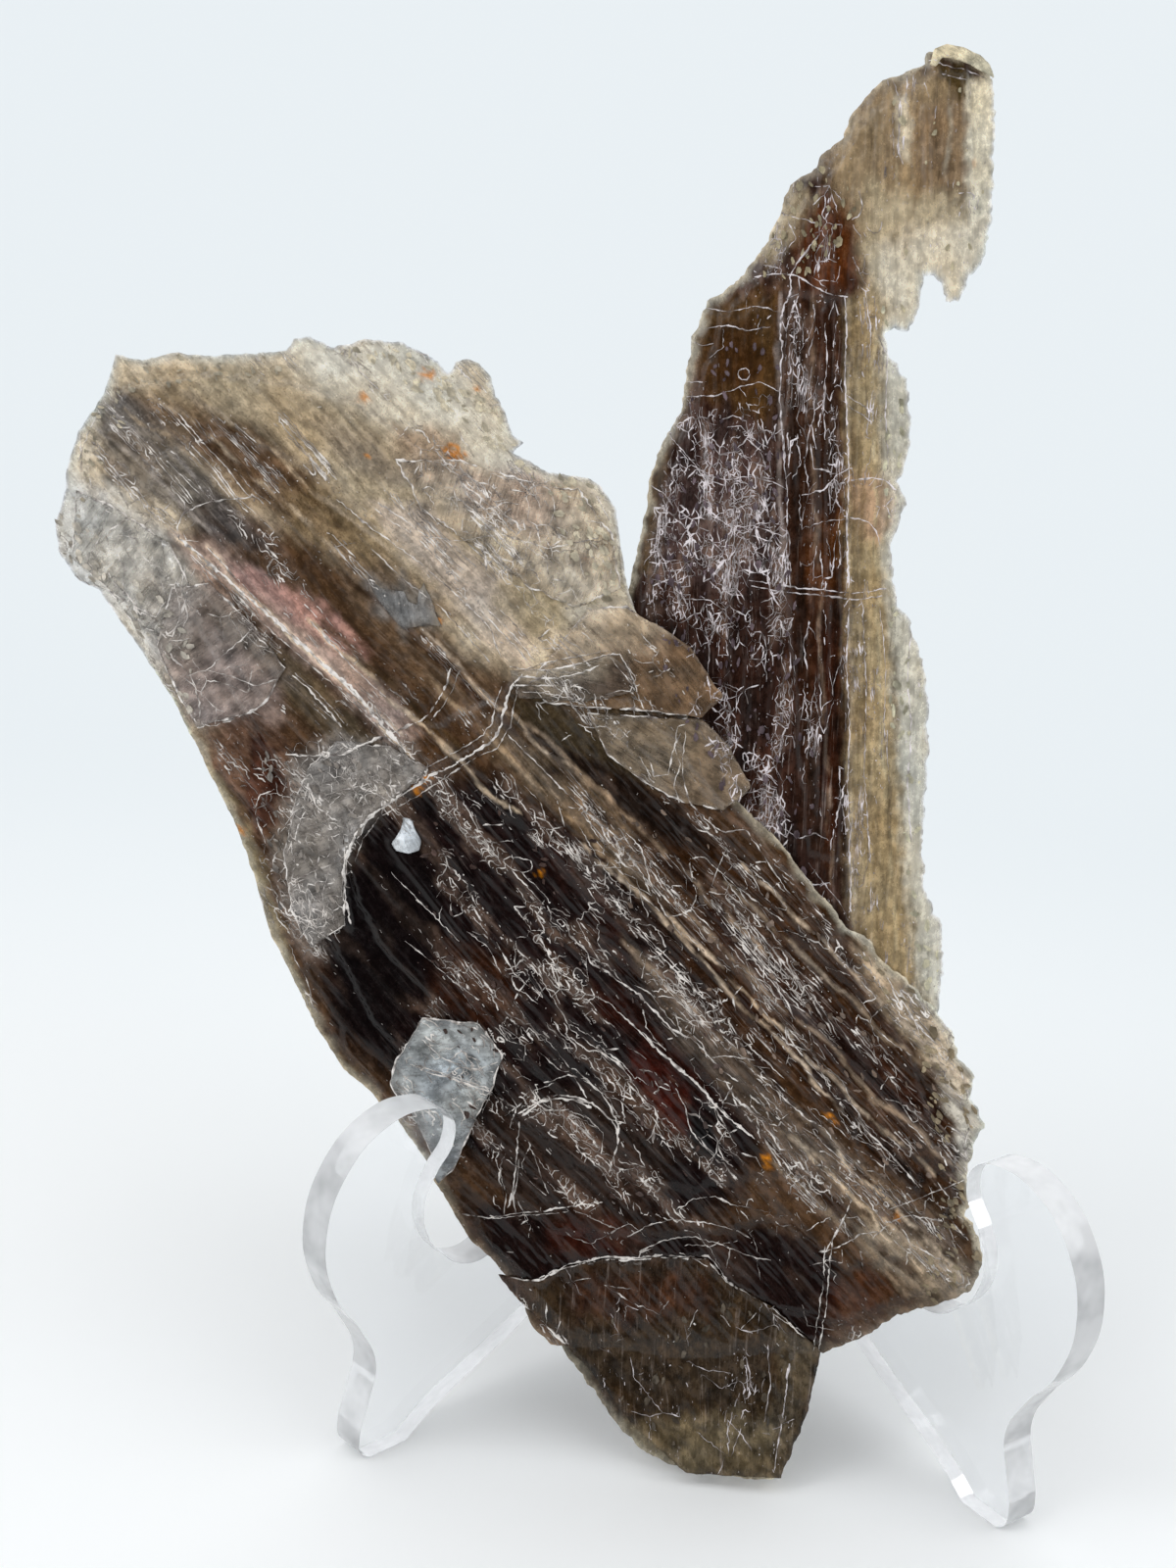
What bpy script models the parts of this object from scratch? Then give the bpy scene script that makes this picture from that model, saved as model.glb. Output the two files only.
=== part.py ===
"""Mica crystal leaning on a clear two-plate display stand.

The crystal is one solid of intergrown mica books: a broad slanting blade in
front, a tall upright blade behind it that ends in the tail at the bottom, and
the cleavage ledges and grain ridges that stand on both.  Each book is a stack
of flat ragged sheets, fused.  The stand is two equal acrylic plates, mirrored
and halved into each other behind the crystal.

Units are metres, +Z up, front of the crystal towards -Y.  The origin is the
middle of the whole model's footprint, on the surface it stands on.
"""
import math
import random

import bpy
import bmesh
from mathutils import Matrix, Vector

MM = 0.001

# ---- driving dimensions (millimetres and degrees) ----
LEAN = 20.0                  # the crystal leans back by this much
DATUM = (-13.1, 20.9, 56.75)  # crystal datum from the stand's front foot line
EDGE_PITCH = 3.4             # spacing of the broken teeth along a sheet's edge
POINT_JITTER = 0.06          # small unevenness of every outline point
PLATE_THICKNESS = 3.2        # acrylic sheet
PLATE_TURN = 42.0            # each plate is turned this far from the stand's axis
FOOT_HALF_SPAN = 26.5        # axis to the inner face of a plate at its front foot
LAP_HEIGHT = 40.0            # where the two half-lap slots meet
LAP_AT = 41.4                # distance along a plate from its front foot to the lap
CLEARANCE = 0.3              # air kept between pieces that touch

# ---- crystal sheets, points (across, along the lean) in mm from the datum ----
FRONT_BLADE = [
    (-45, 32.5), (-42.5, 32.5), (-39.5, 33.5), (-36.5, 33.5), (-32.5, 33.5), (-29.5, 34.5),
    (-29, 35.5), (-26, 35), (-23, 36), (-20, 36), (-17.5, 36), (-17, 35), (-15, 33.5),
    (-15, 34.5), (-13, 34.5), (-12, 32.5), (-10.5, 31), (-9.5, 28.5), (-8.5, 28.5), (-9.5, 27),
    (-7.5, 26), (-6, 25.5), (-2.5, 25.5), (-1.5, 25), (0.5, 23), (1, 20.5), (1.5, 16.5),
    (3.5, 15), (5.5, 13), (7.5, 11.5), (9.5, 9), (10.5, 7.5), (9, 5.5), (10.5, 4.5), (13.5, 0.5),
    (13.5, -0.5), (15.5, -2), (17, -4), (19, -6.5), (20, -8), (22.5, -10.5), (24, -11.5),
    (25, -12), (26, -13.5), (28.5, -15), (31, -17.5), (33, -19.5), (33.5, -21.5), (35, -22.5),
    (35, -24.5), (36, -27), (35.5, -29), (35, -31.5), (36, -33.5), (35, -34.5), (36.5, -36.5),
    (37, -38.5), (36.5, -41.5), (33.5, -42.5), (30, -44), (28, -45.5), (24.5, -47.5),
    (21, -47.5), (12.5, -49), (6, -48.5), (1, -49.5), (-1, -48), (-2.5, -45), (-5, -42.5),
    (-7, -41), (-9.5, -37), (-14, -32), (-16.5, -29.5), (-19, -27.5), (-21.5, -24.5),
    (-24, -20.5), (-26.5, -16), (-28, -12), (-30.5, -7), (-34, -1.5), (-37, 3), (-39.5, 6.5),
    (-42.5, 9.5), (-44.5, 12), (-46.5, 13), (-48.5, 15), (-49, 17.5), (-48.5, 20.5),
    (-48.5, 22.5), (-47.5, 26), (-46.5, 28), (-45.5, 29)]
REAR_BLADE = [
    (2, 19.5), (2.5, 24), (3, 26.5), (3.5, 29), (5, 31.5), (5, 35), (5.5, 38), (6.5, 41.5),
    (8.5, 43), (10, 45), (11, 47.5), (12, 49.5), (12.5, 52), (14.5, 53.5), (15, 54.5),
    (16.5, 56.5), (17, 58), (18.5, 60), (19.5, 61.5), (23, 63), (23, 64), (24.5, 64.5),
    (28, 63.5), (29, 62), (29.5, 57), (30, 51), (29.5, 47.5), (28.5, 45), (28, 43.5), (27.5, 43),
    (25.5, 45), (24.5, 44.5), (24, 40), (22, 41), (21.5, 40), (22, 38), (24, 36), (25, 32.5),
    (24.5, 29), (24, 27), (25, 25.5), (24, 22), (24.5, 19), (25.5, 16.5), (26.5, 15.5),
    (27.5, 12.5), (28.5, 11.5), (29.5, 4), (29.5, 0.5), (29.5, -3.5), (30, -7), (31.5, -10),
    (32, -12), (31.5, -13.5), (32, -17.5), (31.5, -25), (30.5, -33.5), (28.5, -40.5), (25, -45),
    (23.5, -49), (23, -51), (22, -56.5), (21.5, -59), (18.5, -59.5), (15, -59), (12.5, -59),
    (10, -58), (7, -56), (4.5, -53), (2.5, -50.5), (0.5, -48), (0.5, -43.5), (0.5, -30.5),
    (1, -18), (1, -5), (1, 7.5), (1, 12.5)]
SLANTING_TERRACE = [
    (-46.5, 23.5), (-43.5, 30), (-36, 31.5), (-29, 31.5), (-22, 29.5), (-16.5, 26), (-9, 22),
    (-4, 19.5), (-1.5, 14), (3, 12), (7.5, 9), (8.5, 7), (7, 4.5), (11, 2), (12.5, -0.5),
    (14.5, -2.5), (17, -6), (22, -11.5), (26, -15), (30, -18.5), (32, -21.5), (33, -24),
    (34.5, -27), (33.5, -31.5), (34, -33.5), (33, -35.5), (35.5, -39), (34, -41), (30, -43),
    (25, -45), (19.5, -44), (15.5, -42.5), (13.5, -40.5), (5.5, -41.5), (1.5, -42.5),
    (-0.5, -44.5), (-3.5, -42.5), (-8, -38.5), (-13, -32), (-18.5, -26), (-23, -19.5),
    (-26, -13.5), (-28, -8), (-32.5, -2), (-35.5, 3.5), (-40, 8), (-43.5, 13), (-47, 17)]
CORE_TERRACE = [
    (-41.5, 23.5), (-34.5, 27), (-28.5, 24.5), (-19, 19.5), (-12, 15), (-6.5, 10.5), (2.5, 7.5),
    (7, 3.5), (11.5, -0.5), (15.5, -4.5), (20, -10), (25.5, -16.5), (30, -22), (31.5, -27.5),
    (31, -32.5), (28.5, -34.5), (31, -38.5), (25.5, -40.5), (20, -36.5), (15, -38), (7.5, -39.5),
    (0, -39.5), (-5.5, -35.5), (-11.5, -28.5), (-17, -23), (-22, -16), (-25, -10), (-26, -3.5),
    (-30.5, 2.5), (-35, 9.5), (-39, 16)]
DARK_CORE = [
    (-21, 2), (-15, 3.5), (-9, 6.5), (-4, 1.5), (3.5, -5), (11, -11), (18.5, -18.5), (24, -26),
    (26.5, -31), (19.5, -32.5), (11.5, -35), (3, -34), (-4.5, -30), (-11, -21.5), (-17.5, -16),
    (-20.5, -9.5)]
UPPER_LEAF = [
    (-4.5, 10), (2, 13.5), (5.5, 12), (7.5, 11), (9, 9), (10, 7.5), (8.5, 6), (4.5, 6), (-1.5, 6)]
LOWER_LEAF = [(2.5, 4), (8.5, 5), (11, 3), (13, 0), (11.5, -2), (7.5, -1)]
CURLED_FLAKE = [
    (-19.5, 2.5), (-15, 6), (-13, 10.5), (-10, 11.5), (-6.5, 8), (-8, 5.5), (-8, 3), (-9.5, 1),
    (-13.5, -1.5), (-17, -2.5)]
PALE_FLAKE = [
    (-12.5, -22.5), (-7.5, -22.5), (-5.5, -25), (-7, -30), (-9, -35), (-10, -36), (-14, -29.5),
    (-15, -28.5), (-14, -24.5)]
CRACKLED_SHEET = [
    (-27.5, -3.5), (-22.5, 0), (-17.5, -1.5), (-19, -7), (-20.5, -11), (-20, -15.5),
    (-23, -17.5), (-26, -13), (-28, -8)]
LEFT_WING = [
    (-43, 19.5), (-38, 16.5), (-34.5, 14), (-30.5, 10), (-31.5, 4.5), (-34.5, 2), (-37, 5),
    (-40, 9), (-43, 13)]
TAIL_SHEET = [
    (0, -45), (1.5, -43), (5.5, -42), (13.5, -41), (15.5, -43), (20.5, -44.5), (22.5, -49),
    (21.5, -54), (20.5, -58), (18.5, -58.5), (13, -57.5), (8.5, -55.5), (5, -51), (2, -48.5)]
TAIL_LEDGE = [(3, -46.5), (9, -44), (15.5, -44.5), (20, -48), (19, -53), (13, -54.5), (8, -52.5)]
UPRIGHT_TERRACE = [
    (3.5, 19.5), (5, 27.5), (6.5, 33.5), (8, 40), (11.5, 45), (13.5, 49.5), (16, 52.5),
    (17.5, 57), (22, 60.5), (23.5, 62), (26.5, 62.5), (28, 52), (25.5, 50.5), (21, 48),
    (21, 40.5), (19, 38), (20.5, 21), (22.5, 1), (23.5, -12.5), (21.5, -16), (14, -8), (7, 3),
    (3, 13)]
FOLD_STRIP = [
    (13.5, 42.5), (18, 42.5), (19, 32), (20, 17.5), (21.5, 2.5), (22, -6), (19, -5), (17, 9),
    (15, 20.5)]
SHOULDER_SHEET = [(7, 38.5), (12, 42.5), (13, 32), (13, 24), (6.5, 20), (5, 23), (6, 31)]
OLIVE_STRIP = [
    (20, 47), (21.5, 47.5), (21.5, 39.5), (23.5, 21.5), (25, 9.5), (27.5, 5), (27.5, -5),
    (29, -15), (24.5, -14), (22, 9.5), (19.5, 33)]
TIP_BLOCK = [
    (23.5, 62.5), (23.5, 63.5), (24.5, 64), (27.5, 63.5), (28.5, 61.5), (28.5, 58),
    (27.5, 53.5), (24.5, 57.5)]
BACK_SLANTING = [
    (-45.5, 22.5), (-42.5, 28.5), (-32.5, 30.5), (-20, 29), (-9, 23), (-3, 19), (0, 11),
    (7.5, 6.5), (11.5, 0), (20, -11), (29.5, -20), (33, -27.5), (33.5, -38), (28, -43),
    (14, -45.5), (3, -45.5), (-5.5, -39), (-15, -27), (-21.5, -19), (-26, -10), (-31, -0.5),
    (-39, 9), (-45, 15)]
BACK_CORE = [
    (-40, 21), (-28, 24), (-15.5, 18), (-4.5, 9), (8.5, -4.5), (20, -17), (27.5, -28),
    (26.5, -36.5), (15, -39.5), (-0.5, -37.5), (-11.5, -25), (-20.5, -14), (-26, -1.5),
    (-35, 11.5)]
BACK_UPRIGHT = [
    (4.5, 19.5), (6, 28.5), (7.5, 37.5), (12.5, 46.5), (17, 54.5), (23, 61), (26.5, 61),
    (27.5, 51), (21, 47), (21, 34.5), (21.5, 21), (23.5, 4.5), (27, -12), (27.5, -25.5),
    (25, -36), (13.5, -38.5), (6, -32.5), (4.5, -17.5), (4.5, -0.5), (4, 9.5)]
BACK_RIB = [
    (7.5, 20), (9, 30), (12, 40), (17, 40), (18.5, 21), (21, 1), (23, -15.5), (21.5, -27.5),
    (12.5, -30.5), (9, -17), (8, 1.5)]

# name: outline, back level, front level (mm from the datum plane, front positive), tooth depth
SHEETS = {
    "front_blade": (FRONT_BLADE, -0.90, 0.55, 0.28),
    "rear_blade": (REAR_BLADE, -1.60, -0.70, 0.28),
    "slanting_terrace": (SLANTING_TERRACE, -0.50, 1.05, 0.45),
    "core_terrace": (CORE_TERRACE, 0.20, 1.60, 0.50),
    "dark_core": (DARK_CORE, 0.80, 2.15, 0.50),
    "upper_leaf": (UPPER_LEAF, -0.30, 1.35, 0.30),
    "lower_leaf": (LOWER_LEAF, -0.25, 1.25, 0.30),
    "curled_flake": (CURLED_FLAKE, 0.10, 2.30, 0.30),
    "pale_flake": (PALE_FLAKE, 0.00, 2.00, 0.20),
    "crackled_sheet": (CRACKLED_SHEET, 0.05, 1.80, 0.40),
    "left_wing": (LEFT_WING, 0.15, 1.45, 0.40),
    "tail_sheet": (TAIL_SHEET, -1.30, -0.05, 0.25),
    "tail_ledge": (TAIL_LEDGE, -1.10, 0.30, 0.30),
    "upright_terrace": (UPRIGHT_TERRACE, -1.25, -0.15, 0.35),
    "fold_strip": (FOLD_STRIP, -1.00, 0.25, 0.25),
    "shoulder_sheet": (SHOULDER_SHEET, -0.95, 0.10, 0.30),
    "olive_strip": (OLIVE_STRIP, -1.15, -0.35, 0.25),
    "tip_block": (TIP_BLOCK, -2.30, 0.35, 0.10),
    "back_slanting": (BACK_SLANTING, -2.15, -0.40, 0.50),
    "back_core": (BACK_CORE, -2.75, -0.80, 0.50),
    "back_upright": (BACK_UPRIGHT, -2.50, -1.20, 0.40),
    "back_rib": (BACK_RIB, -3.05, -1.40, 0.40),
}

# ridges that run with the grain: start, end, width, back level, front level (mm)
RIDGES = [
    ((-35.5, 17), (-18.5, 3), 1.3, 1.00, 2.15),
    ((-31, 18), (-12.5, 3.5), 1.6, 0.90, 1.95),
    ((-19, 23), (-7, 12.5), 1.4, 0.60, 1.90),
    ((-14, 19.5), (-6, 11), 1.2, 0.70, 1.85),
    ((-3, 5), (28, -23.5), 1.5, 0.90, 2.45),
    ((-1, -1), (30.5, -31), 1.7, 0.85, 2.70),
    ((2.5, -9.5), (29, -36.5), 1.4, 0.95, 2.55),
    ((7, -18), (31.5, -41), 1.6, 0.75, 2.40),
    ((13, -9.5), (33, -28.5), 1.2, 0.65, 2.00),
    ((-5, -12), (9, -26.5), 1.5, 1.20, 2.75),
    ((-12, -1.5), (0, -13), 1.3, 1.10, 2.60),
    ((9, 41), (8, 22), 0.9, -0.60, 0.40),
    ((16, 40), (18.5, 8), 1.0, -0.50, 0.55),
    ((22, 34), (23.5, 6), 0.8, -0.80, 0.05),
    ((25.5, 12), (27.5, -9), 0.8, -0.90, -0.10),
    ((-31, 20), (14, -22), 1.8, -3.10, -1.50),
    ((-22, 12), (22, -31), 2.0, -3.15, -1.60),
    ((-14, -2), (12, -34), 1.6, -3.05, -1.70),
    ((11, 44), (15, -20), 1.6, -3.20, -1.90),
]

# ---- stand plate outline: (distance back from the front foot, height, corner) in mm ----
PLATE_OUTLINE = [
    (-0.6, 0.0, True), (3.4, 0.0, True), (6.5, 2.2, False), (11.0, 4.4, False),
    (15.5, 6.5, False), (21.0, 9.3, False), (28.0, 12.0, False), (36.0, 13.2, False),
    (44.0, 11.5, False), (51.0, 6.2, False), (55.8, 0.0, True), (61.0, 0.0, True),
    (58.6, 8.0, False), (55.6, 20.0, False), (53.4, 34.0, False), (51.6, 50.0, False),
    (49.6, 61.0, False), (46.4, 64.6, False), (41.0, 65.0, False), (37.2, 63.2, False),
    (34.0, 58.3, True), (14.2, 17.8, True), (12.2, 15.7, False), (9.4, 15.6, False),
    (6.6, 17.6, False), (4.8, 20.4, False), (4.5, 23.0, False), (5.6, 25.6, False),
    (7.4, 28.2, False), (7.0, 30.8, False), (4.2, 32.2, False), (0.1, 31.8, False),
    (-3.7, 28.9, False), (-5.8, 23.4, False), (-4.7, 17.5, False), (-1.8, 13.0, False),
    (-0.2, 9.2, False), (-0.9, 5.6, False), (-1.7, 2.6, False), (-1.5, 0.8, False)]


def remove_everything():
    """Start from an empty file."""
    for thing in list(bpy.data.objects):
        bpy.data.objects.remove(thing, do_unlink=True)


def new_collection(name):
    """Add a collection to the scene."""
    group = bpy.data.collections.new(name)
    bpy.context.scene.collection.children.link(group)
    return group


def make_material(name, colour, roughness, transmission, ior, alpha):
    """Principled material with the piece's colour and clearness."""
    material = bpy.data.materials.new(name)
    material.use_nodes = True
    shader = material.node_tree.nodes["Principled BSDF"]
    shader.inputs["Base Color"].default_value = (*colour, 1.0)
    shader.inputs["Roughness"].default_value = roughness
    shader.inputs["Metallic"].default_value = 0.0
    shader.inputs["Transmission Weight"].default_value = transmission
    shader.inputs["IOR"].default_value = ior
    shader.inputs["Alpha"].default_value = alpha
    return material


def mesh_from_curve(source, group):
    """Replace a filled curve by a closed mesh object with the same name and place."""
    bpy.context.view_layer.update()
    name = source.name
    evaluated = source.evaluated_get(bpy.context.evaluated_depsgraph_get())
    mesh = bpy.data.meshes.new_from_object(evaluated)
    matrix = source.matrix_world.copy()
    bpy.data.objects.remove(source, do_unlink=True)
    body = bmesh.new()
    body.from_mesh(mesh)
    bmesh.ops.remove_doubles(body, verts=body.verts, dist=0.00001)
    bmesh.ops.recalc_face_normals(body, faces=body.faces)
    body.to_mesh(mesh)
    body.free()
    result = bpy.data.objects.new(name, mesh)
    mesh.name = name
    result.matrix_world = matrix
    group.objects.link(result)
    return result


def ragged(outline, tooth, chance):
    """Break the straight runs of an outline into small irregular teeth."""
    points = []
    for index, start in enumerate(outline):
        end = outline[(index + 1) % len(outline)]
        run = Vector((end[0] - start[0], end[1] - start[1]))
        uneven = (chance.uniform(-POINT_JITTER, POINT_JITTER) for _ in range(2))
        points.append(Vector(start) + Vector(tuple(uneven)))
        pieces = int(run.length // EDGE_PITCH)
        if pieces < 1:
            continue
        across = Vector((-run.y, run.x)).normalized()
        for step in range(1, pieces + 1):
            along = (step + chance.uniform(-0.3, 0.3)) / (pieces + 1)
            points.append(Vector(start) + run * along + across * chance.uniform(-tooth, tooth))
    return points


def flat_sheet(name, points, back, front, group):
    """A flat sheet with a straight edge all round, from a filled and extruded outline."""
    curve = bpy.data.curves.new(name, "CURVE")
    curve.dimensions = "2D"
    curve.fill_mode = "BOTH"
    curve.extrude = (front - back) / 2 * MM
    spline = curve.splines.new("POLY")
    spline.points.add(len(points) - 1)
    for slot, point in zip(spline.points, points):
        slot.co = (point[0] * MM, point[1] * MM, 0.0, 1.0)
    spline.use_cyclic_u = True
    sheet = bpy.data.objects.new(name, curve)
    group.objects.link(sheet)
    lean = Matrix.Rotation(math.radians(90.0 - LEAN), 4, "X")
    datum = Matrix.Translation(Vector(DATUM) * MM)
    sheet.matrix_world = datum @ lean @ Matrix.Translation((0.0, 0.0, (front + back) / 2 * MM))
    return mesh_from_curve(sheet, group)


def ridge_outline(start, end, width, chance):
    """A long tapering splinter from start to end, widest a third of the way along."""
    start = Vector(start)
    end = Vector(end)
    run = end - start
    across = Vector((-run.y, run.x)).normalized() * width / 2
    left = [0.10, 0.35, 0.70]
    right = [0.85, 0.50, 0.20]
    points = [start]
    for along in left:
        points.append(start + run * along + across * chance.uniform(0.6, 1.1))
    points.append(end)
    for along in right:
        points.append(start + run * along - across * chance.uniform(0.6, 1.1))
    points.reverse()
    return points


def apply_boolean(target, cutter, operation):
    """Join or cut with an exact Boolean and keep only the result."""
    modifier = target.modifiers.new(operation.lower(), "BOOLEAN")
    modifier.operation = operation
    modifier.solver = "EXACT"
    modifier.object = cutter
    bpy.context.view_layer.update()
    evaluated = target.evaluated_get(bpy.context.evaluated_depsgraph_get())
    mesh = bpy.data.meshes.new_from_object(evaluated)
    target.modifiers.clear()
    target.data = mesh
    bpy.data.objects.remove(cutter, do_unlink=True)


def build_crystal(group):
    """All the sheets and ridges, fused into the one crystal."""
    chance = random.Random(7)
    pieces = []
    for name, (outline, back, front, tooth) in SHEETS.items():
        pieces.append(flat_sheet(name, ragged(outline, tooth, chance), back, front, group))
    for number, (start, end, width, back, front) in enumerate(RIDGES):
        outline = ridge_outline(start, end, width, chance)
        pieces.append(flat_sheet(f"ridge_{number}", outline, back, front, group))
    crystal = pieces[0]
    for piece in pieces[1:]:
        apply_boolean(crystal, piece, "UNION")
    crystal.name = "mica_crystal"
    crystal.data.name = "mica_crystal"
    return crystal


def plate_matrix(side):
    """Place of a plate: its outline's plane stands upright, turned away from the axis."""
    turn = math.radians(90.0 - PLATE_TURN)
    upright = Matrix.Rotation(math.radians(90.0), 4, "X")
    plate = Matrix.Rotation(turn, 4, "Z") @ upright
    place = Matrix.Translation((-FOOT_HALF_SPAN * MM, 0.0, 0.0)) @ plate
    outward = Matrix.Translation((0.0, 0.0, -PLATE_THICKNESS / 2 * MM))
    if side > 0:
        return Matrix.Diagonal((-1.0, 1.0, 1.0, 1.0)) @ place @ outward
    return place @ outward


def build_plate(name, side, group):
    """One stand plate: hook, crook, back rest, two feet and the half-lap slot."""
    curve = bpy.data.curves.new(name, "CURVE")
    curve.dimensions = "2D"
    curve.fill_mode = "BOTH"
    curve.resolution_u = 3
    curve.extrude = PLATE_THICKNESS / 2 * MM
    spline = curve.splines.new("BEZIER")
    spline.bezier_points.add(len(PLATE_OUTLINE) - 1)
    for knot, (along, height, corner) in zip(spline.bezier_points, PLATE_OUTLINE):
        knot.co = (along * MM, height * MM, 0.0)
        knot.handle_left_type = "VECTOR" if corner else "AUTO"
        knot.handle_right_type = knot.handle_left_type
    spline.use_cyclic_u = True
    plate = bpy.data.objects.new(name, curve)
    group.objects.link(plate)
    plate.matrix_world = plate_matrix(side)
    return mesh_from_curve(plate, group)


def cut_lap(plate, low, high):
    """Cut the slot that the other plate passes through."""
    crossing = math.radians(2 * PLATE_TURN)
    width = PLATE_THICKNESS / math.sin(crossing) + PLATE_THICKNESS / math.tan(crossing)
    width += 2 * CLEARANCE
    bpy.ops.mesh.primitive_cube_add(size=1.0)
    cutter = bpy.context.active_object
    cutter.name = "lap_cutter"
    cutter.hide_render = True
    cutter.display_type = "WIRE"
    size = Matrix.Diagonal((width * MM, (high - low) * MM, 4 * PLATE_THICKNESS * MM, 1.0))
    middle = Matrix.Translation((LAP_AT * MM, (low + high) / 2 * MM, 0.0))
    cutter.data.transform(plate.matrix_world @ middle @ size)
    if plate.matrix_world.determinant() < 0:
        cutter.data.flip_normals()
    apply_boolean(plate, cutter, "DIFFERENCE")


def settle(pieces):
    """Shift all pieces so that the footprint's middle is the origin, at floor level."""
    bpy.context.view_layer.update()
    corners = [piece.matrix_world @ v.co for piece in pieces for v in piece.data.vertices]
    low = [min(c[axis] for c in corners) for axis in range(3)]
    high = [max(c[axis] for c in corners) for axis in range(3)]
    shift = Vector((-(low[0] + high[0]) / 2, -(low[1] + high[1]) / 2, -low[2]))
    for piece in pieces:
        piece.data.transform(Matrix.Translation(shift) @ piece.matrix_world)
        if piece.matrix_world.determinant() < 0:
            piece.data.flip_normals()
        piece.matrix_world = Matrix.Identity(4)
    return shift


def build():
    """Make the crystal and its stand."""
    remove_everything()
    group = new_collection("mica_crystal_display")
    mica = make_material("smoky_mica", (0.16, 0.12, 0.09), 0.25, 0.6, 1.58, 1.0)
    acrylic = make_material("clear_acrylic", (0.92, 0.95, 0.97), 0.03, 1.0, 1.49, 0.35)
    crystal = build_crystal(group)
    left = build_plate("left_stand_plate", -1, group)
    right = build_plate("right_stand_plate", 1, group)
    cut_lap(left, -5.0, LAP_HEIGHT)
    cut_lap(right, LAP_HEIGHT - CLEARANCE, 80.0)
    settle([crystal, left, right])
    crystal.data.materials.clear()
    crystal.data.materials.append(mica)
    for plate in (left, right):
        plate.data.materials.clear()
        plate.data.materials.append(acrylic)


build()
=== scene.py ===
"""Looks of the mica crystal and its clear stand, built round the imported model.

The crystal's own plane carries flat coordinates in millimetres: p runs across,
q up the leaning face, and n out of its front.  Outlines and marks are written
in the pixels of a 1200 x 1600 view, and on_plane() carries them onto the stone.
"""
import math

import bmesh
import bpy
import numpy as np
from mathutils import Matrix, Vector
from mathutils.geometry import delaunay_2d_cdt
from mathutils.kdtree import KDTree


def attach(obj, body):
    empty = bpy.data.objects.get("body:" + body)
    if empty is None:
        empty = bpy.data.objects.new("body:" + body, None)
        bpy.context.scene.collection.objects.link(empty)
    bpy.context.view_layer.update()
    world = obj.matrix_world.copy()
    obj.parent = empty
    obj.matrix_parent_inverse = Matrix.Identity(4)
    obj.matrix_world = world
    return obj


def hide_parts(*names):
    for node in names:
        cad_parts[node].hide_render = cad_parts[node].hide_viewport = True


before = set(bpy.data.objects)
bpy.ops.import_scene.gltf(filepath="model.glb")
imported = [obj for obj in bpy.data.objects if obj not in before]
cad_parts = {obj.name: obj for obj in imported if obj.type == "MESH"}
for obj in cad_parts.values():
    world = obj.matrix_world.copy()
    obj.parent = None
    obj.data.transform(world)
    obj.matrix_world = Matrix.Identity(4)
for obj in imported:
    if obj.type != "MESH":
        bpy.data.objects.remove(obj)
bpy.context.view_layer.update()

MM = 0.001

# ---- the crystal's plane and the camera (mm, degrees) ----
DATUM = np.array([1.579, -0.681, 56.75])
LEAN = math.radians(20.0)
ACROSS = np.array([1.0, 0.0, 0.0])
UPWARD = np.array([0.0, math.sin(LEAN), math.cos(LEAN)])
OUTWARD = np.array([0.0, -math.cos(LEAN), math.sin(LEAN)])

VIEW_SIZE = (1200.0, 1600.0)
CAMERA_LENS = 55.0
CAMERA_SENSOR = 36.0
PIXELS_PER_MM = 12.0
CAMERA_RISE = math.radians(20.0)
CAMERA_TURN = math.radians(4.54)
CAMERA_ROLL = math.radians(3.6)
CAMERA_TARGET = np.array([1.579, -3.641, 56.75])
CAMERA_BACK = np.array([math.cos(CAMERA_RISE) * math.sin(CAMERA_TURN),
                        -math.cos(CAMERA_RISE) * math.cos(CAMERA_TURN),
                        math.sin(CAMERA_RISE)])
LEVEL_RIGHT = np.array([math.cos(CAMERA_TURN), math.sin(CAMERA_TURN), 0.0])
LEVEL_UP = np.cross(CAMERA_BACK, LEVEL_RIGHT)
CAMERA_RIGHT = math.cos(CAMERA_ROLL) * LEVEL_RIGHT + math.sin(CAMERA_ROLL) * LEVEL_UP
CAMERA_UP = -math.sin(CAMERA_ROLL) * LEVEL_RIGHT + math.cos(CAMERA_ROLL) * LEVEL_UP
CAMERA_DISTANCE = VIEW_SIZE[1] * CAMERA_LENS / (CAMERA_SENSOR * PIXELS_PER_MM)
FOCAL_PIXELS = PIXELS_PER_MM * CAMERA_DISTANCE
EYE = CAMERA_TARGET + CAMERA_DISTANCE * CAMERA_BACK


def on_plane(pixels, level=0.0):
    """Plane coordinates (p, q) of view points, for a face at that level."""
    pixels = np.atleast_2d(np.asarray(pixels, float))
    ray = ((pixels[:, :1] - VIEW_SIZE[0] / 2) / FOCAL_PIXELS * CAMERA_RIGHT
           - (pixels[:, 1:2] - VIEW_SIZE[1] / 2) / FOCAL_PIXELS * CAMERA_UP - CAMERA_BACK)
    start = DATUM + level * OUTWARD
    reach = ((start - EYE) @ OUTWARD) / (ray @ OUTWARD)
    hit = EYE + reach[:, None] * ray - start
    return np.stack([hit @ ACROSS, hit @ UPWARD], 1)


def in_space(p, q, n):
    """World points in metres from plane coordinates in mm."""
    spots = (DATUM + np.multiply.outer(p, ACROSS) + np.multiply.outer(q, UPWARD)
             + np.multiply.outer(n, OUTWARD))
    return spots * MM


# ---------------------------------------------------------------- noise
def lattice(ix, iy, seed):
    """Repeatable random angle for each lattice corner."""
    h = (ix.astype(np.int64) * 374761393 + iy.astype(np.int64) * 668265263
         + seed * 1442695041) & 0x7FFFFFFF
    h = ((h ^ (h >> 13)) * 1274126177) & 0x7FFFFFFF
    return ((h ^ (h >> 16)) & 0xFFFF) / 65536.0 * 2 * math.pi


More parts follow.
